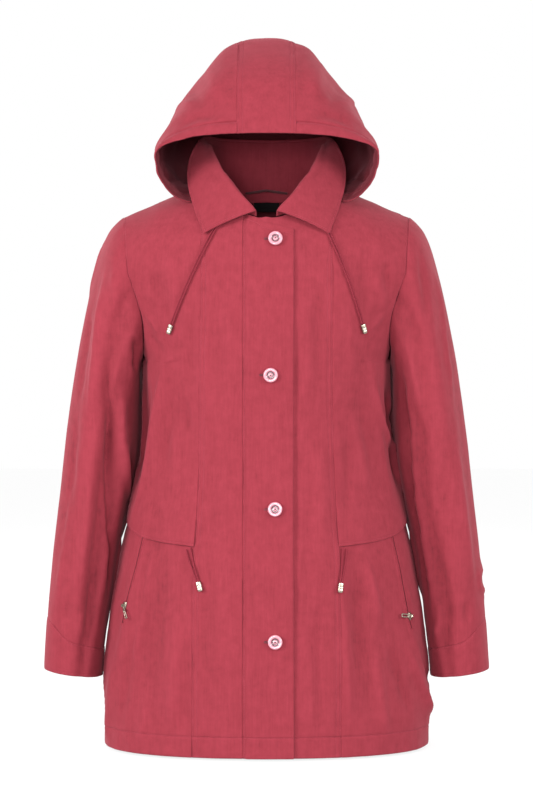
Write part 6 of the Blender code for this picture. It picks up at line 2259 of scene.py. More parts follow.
@dataclass
class Sewing:
    """All lines of stitches as beads of thread.

    Attributes:
        thread: The thread's material.
        tree: Sets the beads.
        pitch: From one stitch to the next.
        length: Of the part of a stitch that shows.
        width: Of the thread.
    """

    thread: bpy.types.Material
    tree: SewnThread
    pitch: float = 3.2 * MM
    length: float = 2.5 * MM
    width: float = 0.55 * MM
    batch_size: int = 1400    # stitches after which a new piece starts

    def make(self, lines: Sequence[Array]) -> None:
        """Make the stitches of the given lines, in a few pieces."""
        batch, number = [], 1
        for line in [line for line in lines if len(line) > 1] + [None]:
            if line is not None:
                batch.append(paced(line, self.pitch))
            if line is None or sum(len(points) for points, _ in batch) > self.batch_size:
                points = np.concatenate([points for points, _ in batch])
                turns = np.concatenate([turns for _, turns in batch])
                size = (self.width, self.width, self.length)
                made = self.tree.beads("stitches_%d" % number, points, turns, size, self.thread)
                finish_piece(made, self.thread, "shell", GARMENT, [])
                batch, number = [], number + 1


# ------------------------------------------------------------------ what lies on the cloth


@dataclass
class Ground:
    """The cloth of one front as the solids have it, with its broad folds, for trims to lie on.

    Attributes:
        form: The torso's form.
        side: RIGHT or LEFT.
        extra: A lift of the panel's own.
    """

    form: TorsoForm
    side: int
    extra: Optional[Surface] = None

    def draped(self, place: Array, level: Array) -> Array:
        """Return the cloth's points."""
        place, level = np.broadcast_arrays(np.asarray(place, float), np.asarray(level, float))
        point = self.form.plain(self.side, FRONT, place, level)
        lift = self.form.relief(self.side, FRONT, place, point[..., 2])
        if self.extra:
            lift = lift + self.extra(place, level)
        return point + self.slope(self.form.surface(self.side, FRONT), place, level) * lift[..., None]

    def slope(self, surface: Surface, place: Array, level: Array) -> Array:
        """Return a surface's outward directions."""
        small = 1e-3
        across = surface(place + small, level) - surface(place - small, level)
        up = surface(place, level + small) - surface(place, level - small)
        return unit(np.cross(across, up)) * self.side

    def lying(self, out: Array, height: Array, lift: Array) -> Array:
        """Points this far over the cloth, given by distance out and height."""
        place, level = self.form.front_place(self.side, out, height)
        return self.draped(place, level) + self.slope(self.draped, place, level) * np.asarray(lift)[..., None]

    def frame(self, out: float, height: float) -> Matrix:
        """A matrix whose Z points out of the cloth and whose Y points up along it."""
        place, level = self.form.front_place(self.side, np.array(out), np.array(height))
        normal = Vector(self.slope(self.draped, place, level))
        up = Vector((0, 0, 1))
        up = (up - normal * up.dot(normal)).normalized()
        across = up.cross(normal).normalized()
        made = Matrix((across, up, normal)).transposed().to_4x4()
        made.translation = Vector(self.draped(place, level))
        return made


def placket_lap(form: TorsoForm) -> Surface:
    """Return the placket's lift over the left front."""

    def lap(place: Array, level: Array) -> Array:
        """Level with the right front at its seam, then clear of the left front beneath."""
        out = form.plain(LEFT, FRONT, place, np.minimum(level, 1.0))[..., 0]
        ramp = fade(out, PLACKET_RIGHT, PLACKET_RIGHT + PLACKET_RAMP)
        return PLACKET_OUT * ramp + (PLACKET_FREE_OUT - PLACKET_OUT) * fade(out, 0.0, PLACKET_LEFT)

    return lap


@dataclass
class Grounds:
    """The cloth that each kind of trim lies on."""

    form: TorsoForm

    def placket(self) -> Ground:
        """Return the placket."""
        return Ground(self.form, LEFT, placket_lap(self.form))

    def skirt(self, side: int) -> Ground:
        """Return a skirt front, drawn in behind the overlap."""
        lift = self.form.overlap_lift(FRONT, self.form.overlap_start(side), False)
        return Ground(self.form, side, lift)

    def cord(self, spec: Drawcord) -> Ground:
        """Return what a drawcord lies on."""
        return self.skirt(spec.side) if spec.start_height < WAIST_TURN else Ground(self.form, spec.side)

    def marks(self) -> Array:
        """Points of all trims, beside which the cloth stays calm."""
        points = [self.placket().lying(spec.out, spec.height, 0.0)[None] for spec in BUTTONS]
        for spec in DRAWCORDS:
            share = np.linspace(0.0, 1.08, 24)
            out = mix(spec.start_out, spec.end_out, share)
            height = mix(spec.start_height, spec.end_height, share)
            points.append(self.cord(spec).lying(out, height, 0.0))
        for spec in ZIPS:
            share = np.linspace(0.0, 1.04, 20)
            points.append(self.skirt(spec.side).lying(*zip_points(spec, share), 0.0))
            down = math.radians(spec.tab_angle)
            slider_out, slider_height = zip_points(spec, spec.slider_share)
            reach = np.linspace(0.0, TAB_LENGTH, 5)
            out = slider_out + reach * math.sin(down) * spec.side
            points.append(self.skirt(spec.side).lying(out, slider_height - reach * math.cos(down), 0.0))
        return np.concatenate(points)


def tube_mesh(name: str, path: Array, radius: float, sides: int = 10, braid: float = 0.0) -> bpy.types.Object:
    """Make a closed tube with rounded ends along a path.

    Args:
        name: The object's name.
        path: Its middle line.
        radius: Of the tube.
        sides: Points round it.
        braid: How far a braid's ridges stand out.

    Returns:
        The new object.
    """
    run = unit(np.gradient(path, axis=0))
    across = unit(np.cross(run, (0.0, -1.0, 0.0)))
    up = np.cross(across, run)
    angle = np.arange(sides) / sides * math.tau
    length = runs(path)
    ring = np.full(len(path), radius)
    ring[0] = ring[-1] = radius * 0.72
    twist = length[:, None] / (3.2 * MM) * math.tau
    ridges = np.maximum(np.cos(angle * 2 + twist), np.cos(angle * 2 - twist))
    size = ring[:, None] * (1 + braid * (ridges - 0.6))
    rings = path[:, None] + across[:, None] * (np.cos(angle) * size)[..., None]
    rings = rings + up[:, None] * (np.sin(angle) * size)[..., None]
    count = len(path)
    tips = path[[0, -1]] + run[[0, -1]] * radius * 0.3 * np.array([[-1], [1]])
    points = np.concatenate([rings.reshape(-1, 3), tips])
    index = np.arange(count * sides).reshape(count, sides)
    following = np.roll(index, -1, axis=1)
    faces = np.stack([index[:-1], following[:-1], following[1:], index[1:]], axis=-1).reshape(-1, 4).tolist()
    faces += [[following[0][k], index[0][k], count * sides] for k in range(sides)]
    faces += [[index[-1][k], following[-1][k], count * sides + 1] for k in range(sides)]
    made = smooth_object(name, points.tolist(), [[int(n) for n in face] for face in faces])
    turn_outward(made)
    return made


def turn_outward(made: bpy.types.Object) -> None:
    """Turn a closed piece's faces outwards."""
    shape = bmesh.new()
    shape.from_mesh(made.data)
    bmesh.ops.recalc_face_normals(shape, faces=shape.faces)
    shape.to_mesh(made.data)
    shape.free()


def solid_from(name: str, shape: bmesh.types.BMesh, frame: Matrix, sharp: float = 50.0) -> bpy.types.Object:
    """Make an object from a shape that is set in its own frame.

    Args:
        name: The object's name.
        shape: The shape, which is used up.
        frame: Where it stands.
        sharp: Edges that turn more than this many degrees stay sharp.

    Returns:
        The new object, its points in the shared frame.
    """
    bmesh.ops.transform(shape, matrix=frame, verts=shape.verts)
    bmesh.ops.recalc_face_normals(shape, faces=shape.faces)
    mesh = bpy.data.meshes.new(name)
    shape.to_mesh(mesh)
    shape.free()
    mesh.shade_smooth()
    mesh.set_sharp_from_angle(angle=math.radians(sharp))
    return placed(name, mesh)


def add_block(shape: bmesh.types.BMesh, size: Sequence[float], centre: Sequence[float], bevel: float) -> None:
    """Add a block with rounded edges to a shape."""
    move = Matrix.Translation(centre) @ Matrix.Diagonal((*size, 1.0))
    made = bmesh.ops.create_cube(shape, size=1.0, matrix=move)
    edges = {edge for vert in made["verts"] for edge in vert.link_edges}
    bmesh.ops.bevel(shape, geom=list(edges), offset=bevel, segments=3, profile=0.5, affect="EDGES")


def lathe(shape: bmesh.types.BMesh, profile: Sequence[tuple[float, float]], steps: int) -> None:
    """Add a turned body to a shape: radius and height of each point of its profile, axis Z."""
    rings = []
    for radius, height in profile:
        if radius < 1e-7:
            rings.append([shape.verts.new((0, 0, height))])
        else:
            turns = [(math.cos(math.tau * k / steps), math.sin(math.tau * k / steps)) for k in range(steps)]
            rings.append([shape.verts.new((radius * x, radius * y, height)) for x, y in turns])
    for low, high in zip(rings, rings[1:]):
        for k in range(steps):
            after = (k + 1) % steps
            if len(low) == 1:
                shape.faces.new((low[0], high[k], high[after]))
            elif len(high) == 1:
                shape.faces.new((low[k], high[0], low[after]))
            else:
                shape.faces.new((low[k], high[k], high[after], low[after]))


def join_rings(shape: bmesh.types.BMesh, rings: list[list[bmesh.types.BMVert]], closed: bool) -> None:
    """Join each ring of a shape to the next one, and the last to the first where it is closed."""
    for first, second in zip(rings, rings[1:] + rings[:1] if closed else rings[1:]):
        for k in range(len(first)):
            after = (k + 1) % len(first)
            shape.faces.new((first[k], first[after], second[after], second[k]))


# ------------------------------------------------------------------ buttons and buttonholes


def recess_shade_share(share: float) -> float:
    """Return how far the painted shade of a button's recess covers it at a share of its radius."""
    return float(fade(share, 0.22, 0.30) * (1 - fade(share, 0.52, 0.62)))


@dataclass
class Buttons:
    """Four turned buttons, each through a worked buttonhole.

    Attributes:
        grounds: The cloth beneath.
        tree: Sets the buttonhole's stitches.
        pearl: The button's material.
        thread: The thread's material.
        profile: The turned shape, as shares of the radius and the height.
    """

    grounds: Grounds
    tree: SewnThread
    pearl: bpy.types.Material
    thread: bpy.types.Material
    profile: tuple[tuple[float, float], ...] = (
        (0.0, 0.72), (0.13, 0.71), (0.20, 0.66), (0.25, 0.52), (0.34, 0.45), (0.42, 0.46), (0.50, 0.58),
        (0.55, 0.78), (0.60, 0.88), (0.70, 0.97), (0.80, 1.0), (0.89, 0.97), (0.96, 0.82), (1.0, 0.55),
        (0.985, 0.30), (0.93, 0.10), (0.84, 0.0), (0.0, 0.0),
    )
    slit_start: float = 0.0030     # the slit reaches from here, beneath the button ...
    slit_end: float = 0.0142       # ... to here, to the wearer's right of its middle

    def make(self) -> None:
        """Make the buttons, their thread and the buttonholes."""
        ground, slits = self.grounds.placket(), []
        for spec in BUTTONS:
            frame = ground.frame(spec.out, spec.height)
            self.button(spec, frame @ Matrix.Translation((0, 0, BUTTON_SHANK)))
            slits.append(self.slit(ground, spec))
        points = np.concatenate([points for points, _ in slits])
        turns = np.concatenate([turns for _, turns in slits])
        made = self.tree.beads("buttonholes", points, turns, (0.55 * MM, 0.55 * MM, 1.5 * MM), self.thread)
        finish_piece(made, self.thread, "shell", GARMENT, [])

    def button(self, spec: Button, frame: Matrix) -> None:
        """One turned button with a dark knot of thread in its middle."""
        shape = bmesh.new()
        lathe(shape, [(BUTTON_RADIUS * out, BUTTON_HEIGHT * up) for out, up in self.profile], 56)
        # Painted shade: a dark ring over the recess round the middle.
        recess_shades = [recess_shade_share(math.hypot(vert.co.x, vert.co.y) / BUTTON_RADIUS) for vert in shape.verts]
        made = solid_from("turned_" + spec.name, shape, frame, 65)
        write_layer(made, "tone", recess_shades)
        finish_piece(made, self.pearl, "button", GARMENT, [spec.name])
        knot = bmesh.new()
        profile = ((0.0, 0.0), (1.0, 0.05), (1.1, 0.3), (0.8, 0.5), (0.0, 0.55))
        lathe(knot, [(out * MM, up * MM) for out, up in profile], 16)
        lift = Matrix.Translation((0, 0, BUTTON_HEIGHT * 0.70))
        finish_piece(solid_from("knot_" + spec.name, knot, frame @ lift), self.thread, "shell", GARMENT, [])

    def slit(self, ground: Ground, spec: Button) -> tuple[Array, Array]:
        """Beads of thread up both sides of a slit and across its end."""
        along = np.arange(self.slit_start, self.slit_end, 0.75 * MM)
        out = np.concatenate([spec.out - along, spec.out - along, np.full(3, spec.out - self.slit_end)])
        sign = np.concatenate([np.ones(len(along)), -np.ones(len(along)), (-1.0, 0.0, 1.0)])
        points = ground.lying(out, spec.height + sign * 0.85 * MM, 0.15 * MM)
        turns = np.tile((0.0, 0.0, 0.0), (len(points), 1))
        turns[-3:, 1] = math.pi / 2
        return points, turns


# ------------------------------------------------------------------ drawcords


@dataclass
class Drawcords:
    """Four drawcords: two strands each, pressed together in a metal end.

    Attributes:
        grounds: The cloth beneath.
        braid: The cord's material.
        nickel: The metal end's material.
    """

    grounds: Grounds
    braid: bpy.types.Material
    nickel: bpy.types.Material

    def make(self) -> None:
        """Make every drawcord."""
        for spec in DRAWCORDS:
            end = self.metal_end(spec)
            self.declare(end, [self.strand(spec, word, sign) for word, sign in (("a", -1), ("b", 1))])

    def strand(self, spec: Drawcord, word: str, sign: int) -> tuple[bpy.types.Object, Array]:
        """One strand, from the casing to the metal end."""
        run = np.array((spec.end_out - spec.start_out, spec.end_height - spec.start_height))
        length = np.linalg.norm(run)
        direction = run / length
        share = np.linspace(0.0, 1.0, max(6, round(length / CORD_STEP)) + 1)
        spread = mix(spec.spread, CORD_SPREAD_END, fade(share, 0.0, 1.0)) / 2
        aside = sign * spread + np.sin(share * math.pi) * spec.sag
        out = mix(spec.start_out, spec.end_out, share) - direction[1] * aside
        height = mix(spec.start_height, spec.end_height, share) + direction[0] * aside
        path = self.grounds.cord(spec).lying(out, height, CORD_LIFT + CORD_END_LIFT * share)
        path = smooth_path(path, 0.8 * MM)
        made = tube_mesh("strand_%s_%s" % (spec.name, word), path, CORD_DIAMETER / 2, 10, 0.10)
        finish_piece(made, self.braid, "cord", GARMENT, ["%s_%s" % (spec.name, word)])
        return made, path

    def metal_end(self, spec: Drawcord) -> bpy.types.Object:
        """A flat pressed tube of nickel with a rolled mouth and two crimps."""
        frame = self.grounds.cord(spec).frame(spec.end_out, spec.end_height)
        run = (spec.end_out - spec.start_out, spec.end_height - spec.start_height)
        turn = math.atan2(run[0] * spec.side, -run[1])
        below = Matrix.Translation((0, -END_LENGTH / 2 - SEAM_GAP * 2, CORD_LIFT + CORD_END_LIFT))
        rows, columns = 17, 28
        angle = np.arange(columns)[None, :] / columns * math.tau
        rise = np.linspace(0.5, -0.5, rows)[:, None]
        narrow = 1 - 0.16 * fade(rise, -0.30, -0.5001) - 0.05 * np.exp(-(((rise - 0.36) / 0.03) ** 2))
        narrow = np.where(np.abs(rise) >= 0.499, narrow * 0.90, narrow)
        crimp = 1 - sum(0.20 * np.exp(-(((rise - middle) / 0.05) ** 2)) for middle in (0.10, -0.14))
        x = END_WIDTH / 2 * np.sign(np.cos(angle)) * np.abs(np.cos(angle)) ** 0.55 * narrow
        z = END_DEPTH / 2 * np.sign(np.sin(angle)) * np.abs(np.sin(angle)) ** 0.55 * narrow * crimp
        shape = bmesh.new()
        rings = [[shape.verts.new((across, up * END_LENGTH, out)) for across, out in zip(*row)]
                 for *row, up in zip(x, z, rise[:, 0])]
        join_rings(shape, rings, False)
        shape.faces.new(rings[0])
        shape.faces.new(rings[-1])
        made = solid_from("pressed_" + spec.name, shape, frame @ Matrix.Rotation(turn, 4, "Z") @ below, 55)
        return finish_piece(made, self.nickel, "nickel", GARMENT, [spec.name + "_end"])

    def declare(self, end: bpy.types.Object, strands: list[tuple[bpy.types.Object, Array]]) -> None:
        """Say that both strands are limp cord that hangs from the casing to the metal end."""
        for (made, path), tip, pieces in zip(strands, ("fitting", "object"), ([end], ())):
            length = round(float(runs(path)[-1]), 4)
            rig.cord(made, exit=tuple(path[0]), length=length, diameter=CORD_DIAMETER, far_end=tip,
                    stiffness="limp", lay="hanging", path=[tuple(p) for p in path[::6]] + [tuple(path[-1])],
                    with_pieces=pieces)


# ------------------------------------------------------------------ pocket zips


@dataclass
class PocketZips:
    """Two closed pocket zips with sliders and pull tabs.

    Attributes:
        grounds: The cloth beneath.
        tree: Sets the teeth.
        cloth: Material of the tape.
        coil: Material of the teeth.
        nickel: Material of slider and tab.
        tooth_size: Width, depth and length of a tooth.
        tooth_pitch: From one tooth to the next.
        tooth_sunk: How far the teeth's middles lie under the tape's face.
    """

    grounds: Grounds
    tree: SewnThread
    cloth: bpy.types.Material
    coil: bpy.types.Material
    nickel: bpy.types.Material
    tooth_size: tuple[float, float, float] = (2.1 * MM, 0.8 * MM, 0.7 * MM)
    tooth_pitch: float = 0.9 * MM
    tooth_sunk: float = 0.35 * MM

    def make(self) -> None:
        """Make both zips."""
        for spec in ZIPS:
            self.tape(spec)
            self.slider(spec)
            self.tab(spec)

    def tape(self, spec: Zip) -> None:
        """The raised closed tape with its two rows of teeth."""
        ground, along = self.grounds.skirt(spec.side), np.linspace(ZIP_HIDDEN / 3, 1.0, 50)
        across = np.array((-1.0, -0.66, -0.34, 0.0, 0.34, 0.66, 1.0))
        dip = np.array((0.5, 0.0, 0.25, 1.0, 0.25, 0.0, 0.5)) * MM
        (out, height), face = zip_points(spec, along), ZIP_HEIGHT + SEAM_GAP
        top = [ground.lying(out + a * ZIP_WIDTH / 2, height, face - d) for a, d in zip(across, dip)]
        low = [ground.lying(out + a * ZIP_WIDTH / 2, height, SEAM_GAP) for a in (1.0, -1.0)]
        ring = np.stack(top + low, axis=1)
        index = np.arange(ring.shape[0] * ring.shape[1]).reshape(ring.shape[:2])
        after = np.roll(index, -1, axis=1)
        quads = np.stack([index[:-1], after[:-1], after[1:], index[1:]], axis=-1).reshape(-1, 4).tolist()
        faces = quads + [index[0].tolist(), index[-1].tolist()]
        made = smooth_object("tape_" + spec.name, ring.reshape(-1, 3).tolist(), faces)
        turn_outward(made)
        finish_piece(made, self.cloth, "shell_inside", GARMENT, ["pocket_zip_" + spec.name])
        points, turns = paced(ground.lying(out, height, face - self.tooth_sunk), self.tooth_pitch)
        teeth = self.tree.beads("teeth_" + spec.name, points, turns, self.tooth_size, self.coil)
        finish_piece(teeth, self.coil, "shell_inside", GARMENT, [])

    def lean(self, spec: Zip) -> float:
        """Return how far a zip leans from upright."""
        return spec.side * math.atan2(spec.low_out - spec.top_out, spec.top_height - spec.low_height)

    def frame(self, spec: Zip) -> Matrix:
        """Return the slider's frame: on the cloth, Y up along the zip."""
        seat = self.grounds.skirt(spec.side).frame(*zip_points(spec, spec.slider_share))
        return seat @ Matrix.Rotation(self.lean(spec), 4, "Z")

    def tilt(self, spec: Zip) -> Matrix:
        """Return the tab's direction as a turn on the slider."""
        return Matrix.Rotation(math.radians(spec.tab_angle) - self.lean(spec), 4, "Z")

    def slider(self, spec: Zip) -> None:
        """A shield-shaped slider with two lugs and the pin."""
        base = ZIP_HEIGHT + SEAM_GAP * 2
        shape = bmesh.new()
        outline = [(-0.36, 0.5), (0.36, 0.5), (0.5, 0.30), (0.5, -0.05),
                   (0.34, -0.5), (-0.34, -0.5), (-0.5, -0.05), (-0.5, 0.30)]
        floor = [shape.verts.new((x * SLIDER_WIDTH, y * SLIDER_LENGTH, base)) for x, y in outline]
        body = shape.faces.new(floor)
        grown = bmesh.ops.extrude_face_region(shape, geom=[body])
        raised = [item for item in grown["geom"] if isinstance(item, bmesh.types.BMVert)]
        bmesh.ops.translate(shape, verts=raised, vec=(0, 0, SLIDER_HEIGHT))
        edges = [edge for edge in shape.edges if all(vert.co.z > base + 1e-5 for vert in edge.verts)]
        bmesh.ops.bevel(shape, geom=edges, offset=0.5 * MM, segments=3, profile=0.5, affect="EDGES")
        made = solid_from("shield_" + spec.name, shape, self.frame(spec), 40)
        lugs = bmesh.new()
        top = base + SLIDER_HEIGHT
        across, sunk = TAB_NECK / 2 + SEAM_GAP + LUG_WIDTH / 2, 0.4 * MM
        for sign in (-1, 1):
            centre = (sign * across, 0, top + (LUG_RISE - sunk) / 2)
            add_block(lugs, (LUG_WIDTH, LUG_LENGTH, LUG_RISE + sunk), centre, 0.25 * MM)
        turn = Matrix.Translation((0, 0, self.pin_height())) @ Matrix.Rotation(math.pi / 2, 4, "Y")
        bmesh.ops.create_cone(lugs, cap_ends=True, segments=16, radius1=PIN_RADIUS, radius2=PIN_RADIUS,
                              depth=2 * across + LUG_WIDTH * 0.6, matrix=turn)
        arms = solid_from("lugs_" + spec.name, lugs, self.frame(spec) @ self.tilt(spec), 40)
        node = ["zip_slider_" + spec.name]
        finish_piece(made, self.nickel, "nickel", GARMENT, node)
        finish_piece(arms, self.nickel, "nickel", GARMENT, node)

    def pin_height(self) -> float:
        """Return the height of the pin's axis over the cloth."""
        return ZIP_HEIGHT + SEAM_GAP * 2 + SLIDER_HEIGHT + LUG_RISE - PIN_RADIUS - PIN_COVER

    def tab(self, spec: Zip) -> None:
        """The pull tab: an eye round the pin, a neck and a plate with a long window."""
        shape = bmesh.new()
        self.eye(shape)
        neck_top, neck_low = -(TAB_EYE + 0.5 * MM), -TAB_NECK_LENGTH + 0.4 * MM
        size = (TAB_NECK, neck_top - neck_low + 0.6 * MM, TAB_THICKNESS)
        add_block(shape, size, (0, (neck_top + neck_low) / 2, 0), 0.25 * MM)
        self.plate(shape)
        swing = Matrix.Rotation(math.radians(TAB_REST), 4, "X")
        frame = self.frame(spec) @ Matrix.Translation((0, 0, self.pin_height())) @ self.tilt(spec) @ swing
        made = solid_from("tab_" + spec.name, shape, frame, 40)
        finish_piece(made, self.nickel, "nickel", "pull_" + spec.name, ["zip_pull_" + spec.name])

    def eye(self, shape: bmesh.types.BMesh) -> None:
        """Add the ring round the pin, its axis along X."""
        outer, steps, half = TAB_EYE + TAB_EYE_WALL, 28, TAB_NECK / 2
        soft = 0.2 * MM
        section = [(TAB_EYE, -half), (TAB_EYE, half), (outer - soft, half), (outer, half - soft),
                   (outer, soft - half), (outer - soft, -half)]
        rings = []
        for k in range(steps):
            angle = math.tau * k / steps
            rings.append([shape.verts.new((x, r * math.cos(angle), r * math.sin(angle))) for r, x in section])
        join_rings(shape, rings, True)

    def plate(self, shape: bmesh.types.BMesh) -> None:
        """Add the plate as a frame with rounded corners round its window."""
        top, bottom = -TAB_NECK_LENGTH + 0.8 * MM, -TAB_LENGTH
        middle, half_long = (top + bottom) / 2, (top - bottom) / 2
        loops = []
        soft = 0.25 * MM
        window_shift = -0.8 * MM
        long_window, wide_window = TAB_WINDOW[0] / 2, TAB_WINDOW[1] / 2
        for wide, long, corner, z, shift in (
            (TAB_WIDTH / 2 - soft, half_long - soft, 1.0 * MM, 1, 0.0),
            (TAB_WIDTH / 2, half_long, 1.2 * MM, 0.6, 0.0),
            (TAB_WIDTH / 2, half_long, 1.2 * MM, -0.6, 0.0),
            (TAB_WIDTH / 2 - soft, half_long - soft, 1.0 * MM, -1, 0.0),
            (wide_window + soft, long_window + soft, 1.0 * MM, -1, window_shift),
            (wide_window, long_window, 0.9 * MM, -0.6, window_shift),
            (wide_window, long_window, 0.9 * MM, 0.6, window_shift),
            (wide_window + soft, long_window + soft, 1.0 * MM, 1, window_shift),
        ):
            outline = rounded_outline(wide, long, corner)
            points = [(x, middle + y + shift, z * TAB_THICKNESS / 2) for x, y in outline]
            loops.append([shape.verts.new(point) for point in points])
        join_rings(shape, loops, True)


def rounded_outline(wide: float, long: float, corner: float, steps: int = 5) -> list[tuple[float, float]]:
    """Points of a rectangle with round corners, given by its half width and half length."""
    points = []
    for quarter, (x, y) in enumerate(((1, 1), (-1, 1), (-1, -1), (1, -1))):
        x, y = x * (wide - corner), y * (long - corner)
        for step in range(steps + 1):
            angle = math.pi / 2 * (quarter + step / steps)
            points.append((x + corner * math.cos(angle), y + corner * math.sin(angle)))
    return points


# ------------------------------------------------------------------ at the back of the neck


@dataclass
class NeckTrims:
    """The hanging loop and the bare neck label.

    Attributes:
        torso: The torso's form.
        loop_finish: The loop's material.
        label_finish: The label's material.
    """

    torso: TorsoForm
    loop_finish: bpy.types.Material
    label_finish: bpy.types.Material

    def make(self) -> None:
        """Make both."""
        share = np.linspace(-1.0, 1.0, 15)
        seat = CollarForm(self.torso).plain(share * HANGER_REACH, np.full(share.shape, 0.10))
        middle = np.cos(share * math.pi / 2)
        off = HANGER_SEAT + HANGER_OUT * np.maximum(middle, 0.0) ** 1.5
        rise = HANGER_RISE + HANGER_ARCH * middle
        path = stack(share * HANGER_HALF, seat[:, 1] - off, seat[:, 2] + rise)
        path = smooth_path(path, 1.2 * MM)
        made = tube_mesh("rolled_loop", path, HANGER_DIAMETER / 2, 12, 0.06)
        # The loop takes the dark inner-side finish: painted shade at the back of the neck.
        finish_piece(made, self.loop_finish, "shell_inside", GARMENT, ["hanging_loop"])
        shape = bmesh.new()
        add_block(shape, LABEL_SIZE, (0, 0, 0), 0.3 * MM)
        made = solid_from("bare_label", shape, Matrix.Translation(LABEL_PLACE), 40)
        finish_piece(made, self.label_finish, "label", GARMENT, ["neck_label"])


# ------------------------------------------------------------------ materials


def colour(code: str) -> tuple[float, float, float, float]:
    """Return the linear colour of an sRGB hex code."""
    parts = [int(code[k:k + 2], 16) / 255 for k in (1, 3, 5)]
    return (*[c / 12.92 if c <= 0.04045 else ((c + 0.055) / 1.055) ** 2.4 for c in parts], 1.0)


@dataclass(frozen=True)
class PlainFinish:
    """A finish with one colour.

    Attributes:
        name: The real material.
        hue: Its colour.
        roughness: Of its surface.
        metallic: 1 for metal.
        coat: Share of a clear glossy coat.
        grain: Depth of a fine unevenness.
        grain_size: From one grain to the next.
        glow: White light that it gives off.
        specular: Strength of its gloss.
    """

    name: str
    hue: str
    roughness: float
    metallic: float = 0.0
    coat: float = 0.0
    sheen: float = 0.0
    grain: float = 0.0
    grain_size: float = 1.0 * MM
    glow: float = 0.0
    specular: float = 0.5

    def build(self) -> bpy.types.Material:
        """Return the material."""
        made = bpy.data.materials.new(self.name)
        made.use_nodes = True
        tree = made.node_tree
        shader = tree.nodes["Principled BSDF"]
        shader.inputs["Base Color"].default_value = colour(self.hue)
        shader.inputs["Roughness"].default_value = self.roughness
        shader.inputs["Metallic"].default_value = self.metallic
        shader.inputs["Coat Weight"].default_value = self.coat
        shader.inputs["Specular IOR Level"].default_value = self.specular
        shader.inputs["Sheen Weight"].default_value = self.sheen
        shader.inputs["Emission Color"].default_value = (1.0, 1.0, 1.0, 1.0)
        shader.inputs["Emission Strength"].default_value = self.glow
        if self.grain:
            where = add_node(tree, "ShaderNodeTexCoord")
            grains = add_node(tree, "ShaderNodeTexNoise", None, {
                "Vector": where.outputs["Object"], "Scale": 1 / self.grain_size, "Detail": 3.0,
            })
            bump = add_node(tree, "ShaderNodeBump", None, {
                "Height": grains.outputs["Fac"], "Strength": 1.0, "Distance": self.grain,
            })
            tree.links.new(bump.outputs["Normal"], shader.inputs["Normal"])
        return made


@dataclass(frozen=True)
class PearlButton:
    """Polyester with a pearly rim, and a dark ring of painted shade in the recess round the middle.

    Attributes:
        name: The real material.
        rim: Colour of rim and middle.
        ring: Colour of the ring: painted shade in the recess.
    """

    name: str
    rim: str
    ring: str

    def build(self) -> bpy.types.Material:
        """Return the material; it reads each button's painted recess shade."""
        made = PlainFinish(self.name, self.rim, 0.28, coat=0.25).build()
        tree = made.node_tree
        tone = add_node(tree, "ShaderNodeAttribute", {"attribute_name": "tone"})
        hues = add_node(tree, "ShaderNodeValToRGB", None, {"Fac": tone.outputs["Fac"]})
        hues.color_ramp.elements[0].color = colour(self.rim)
        hues.color_ramp.elements[1].color = colour(self.ring)
        tree.links.new(hues.outputs["Color"], tree.nodes["Principled BSDF"].inputs["Base Color"])
        return made


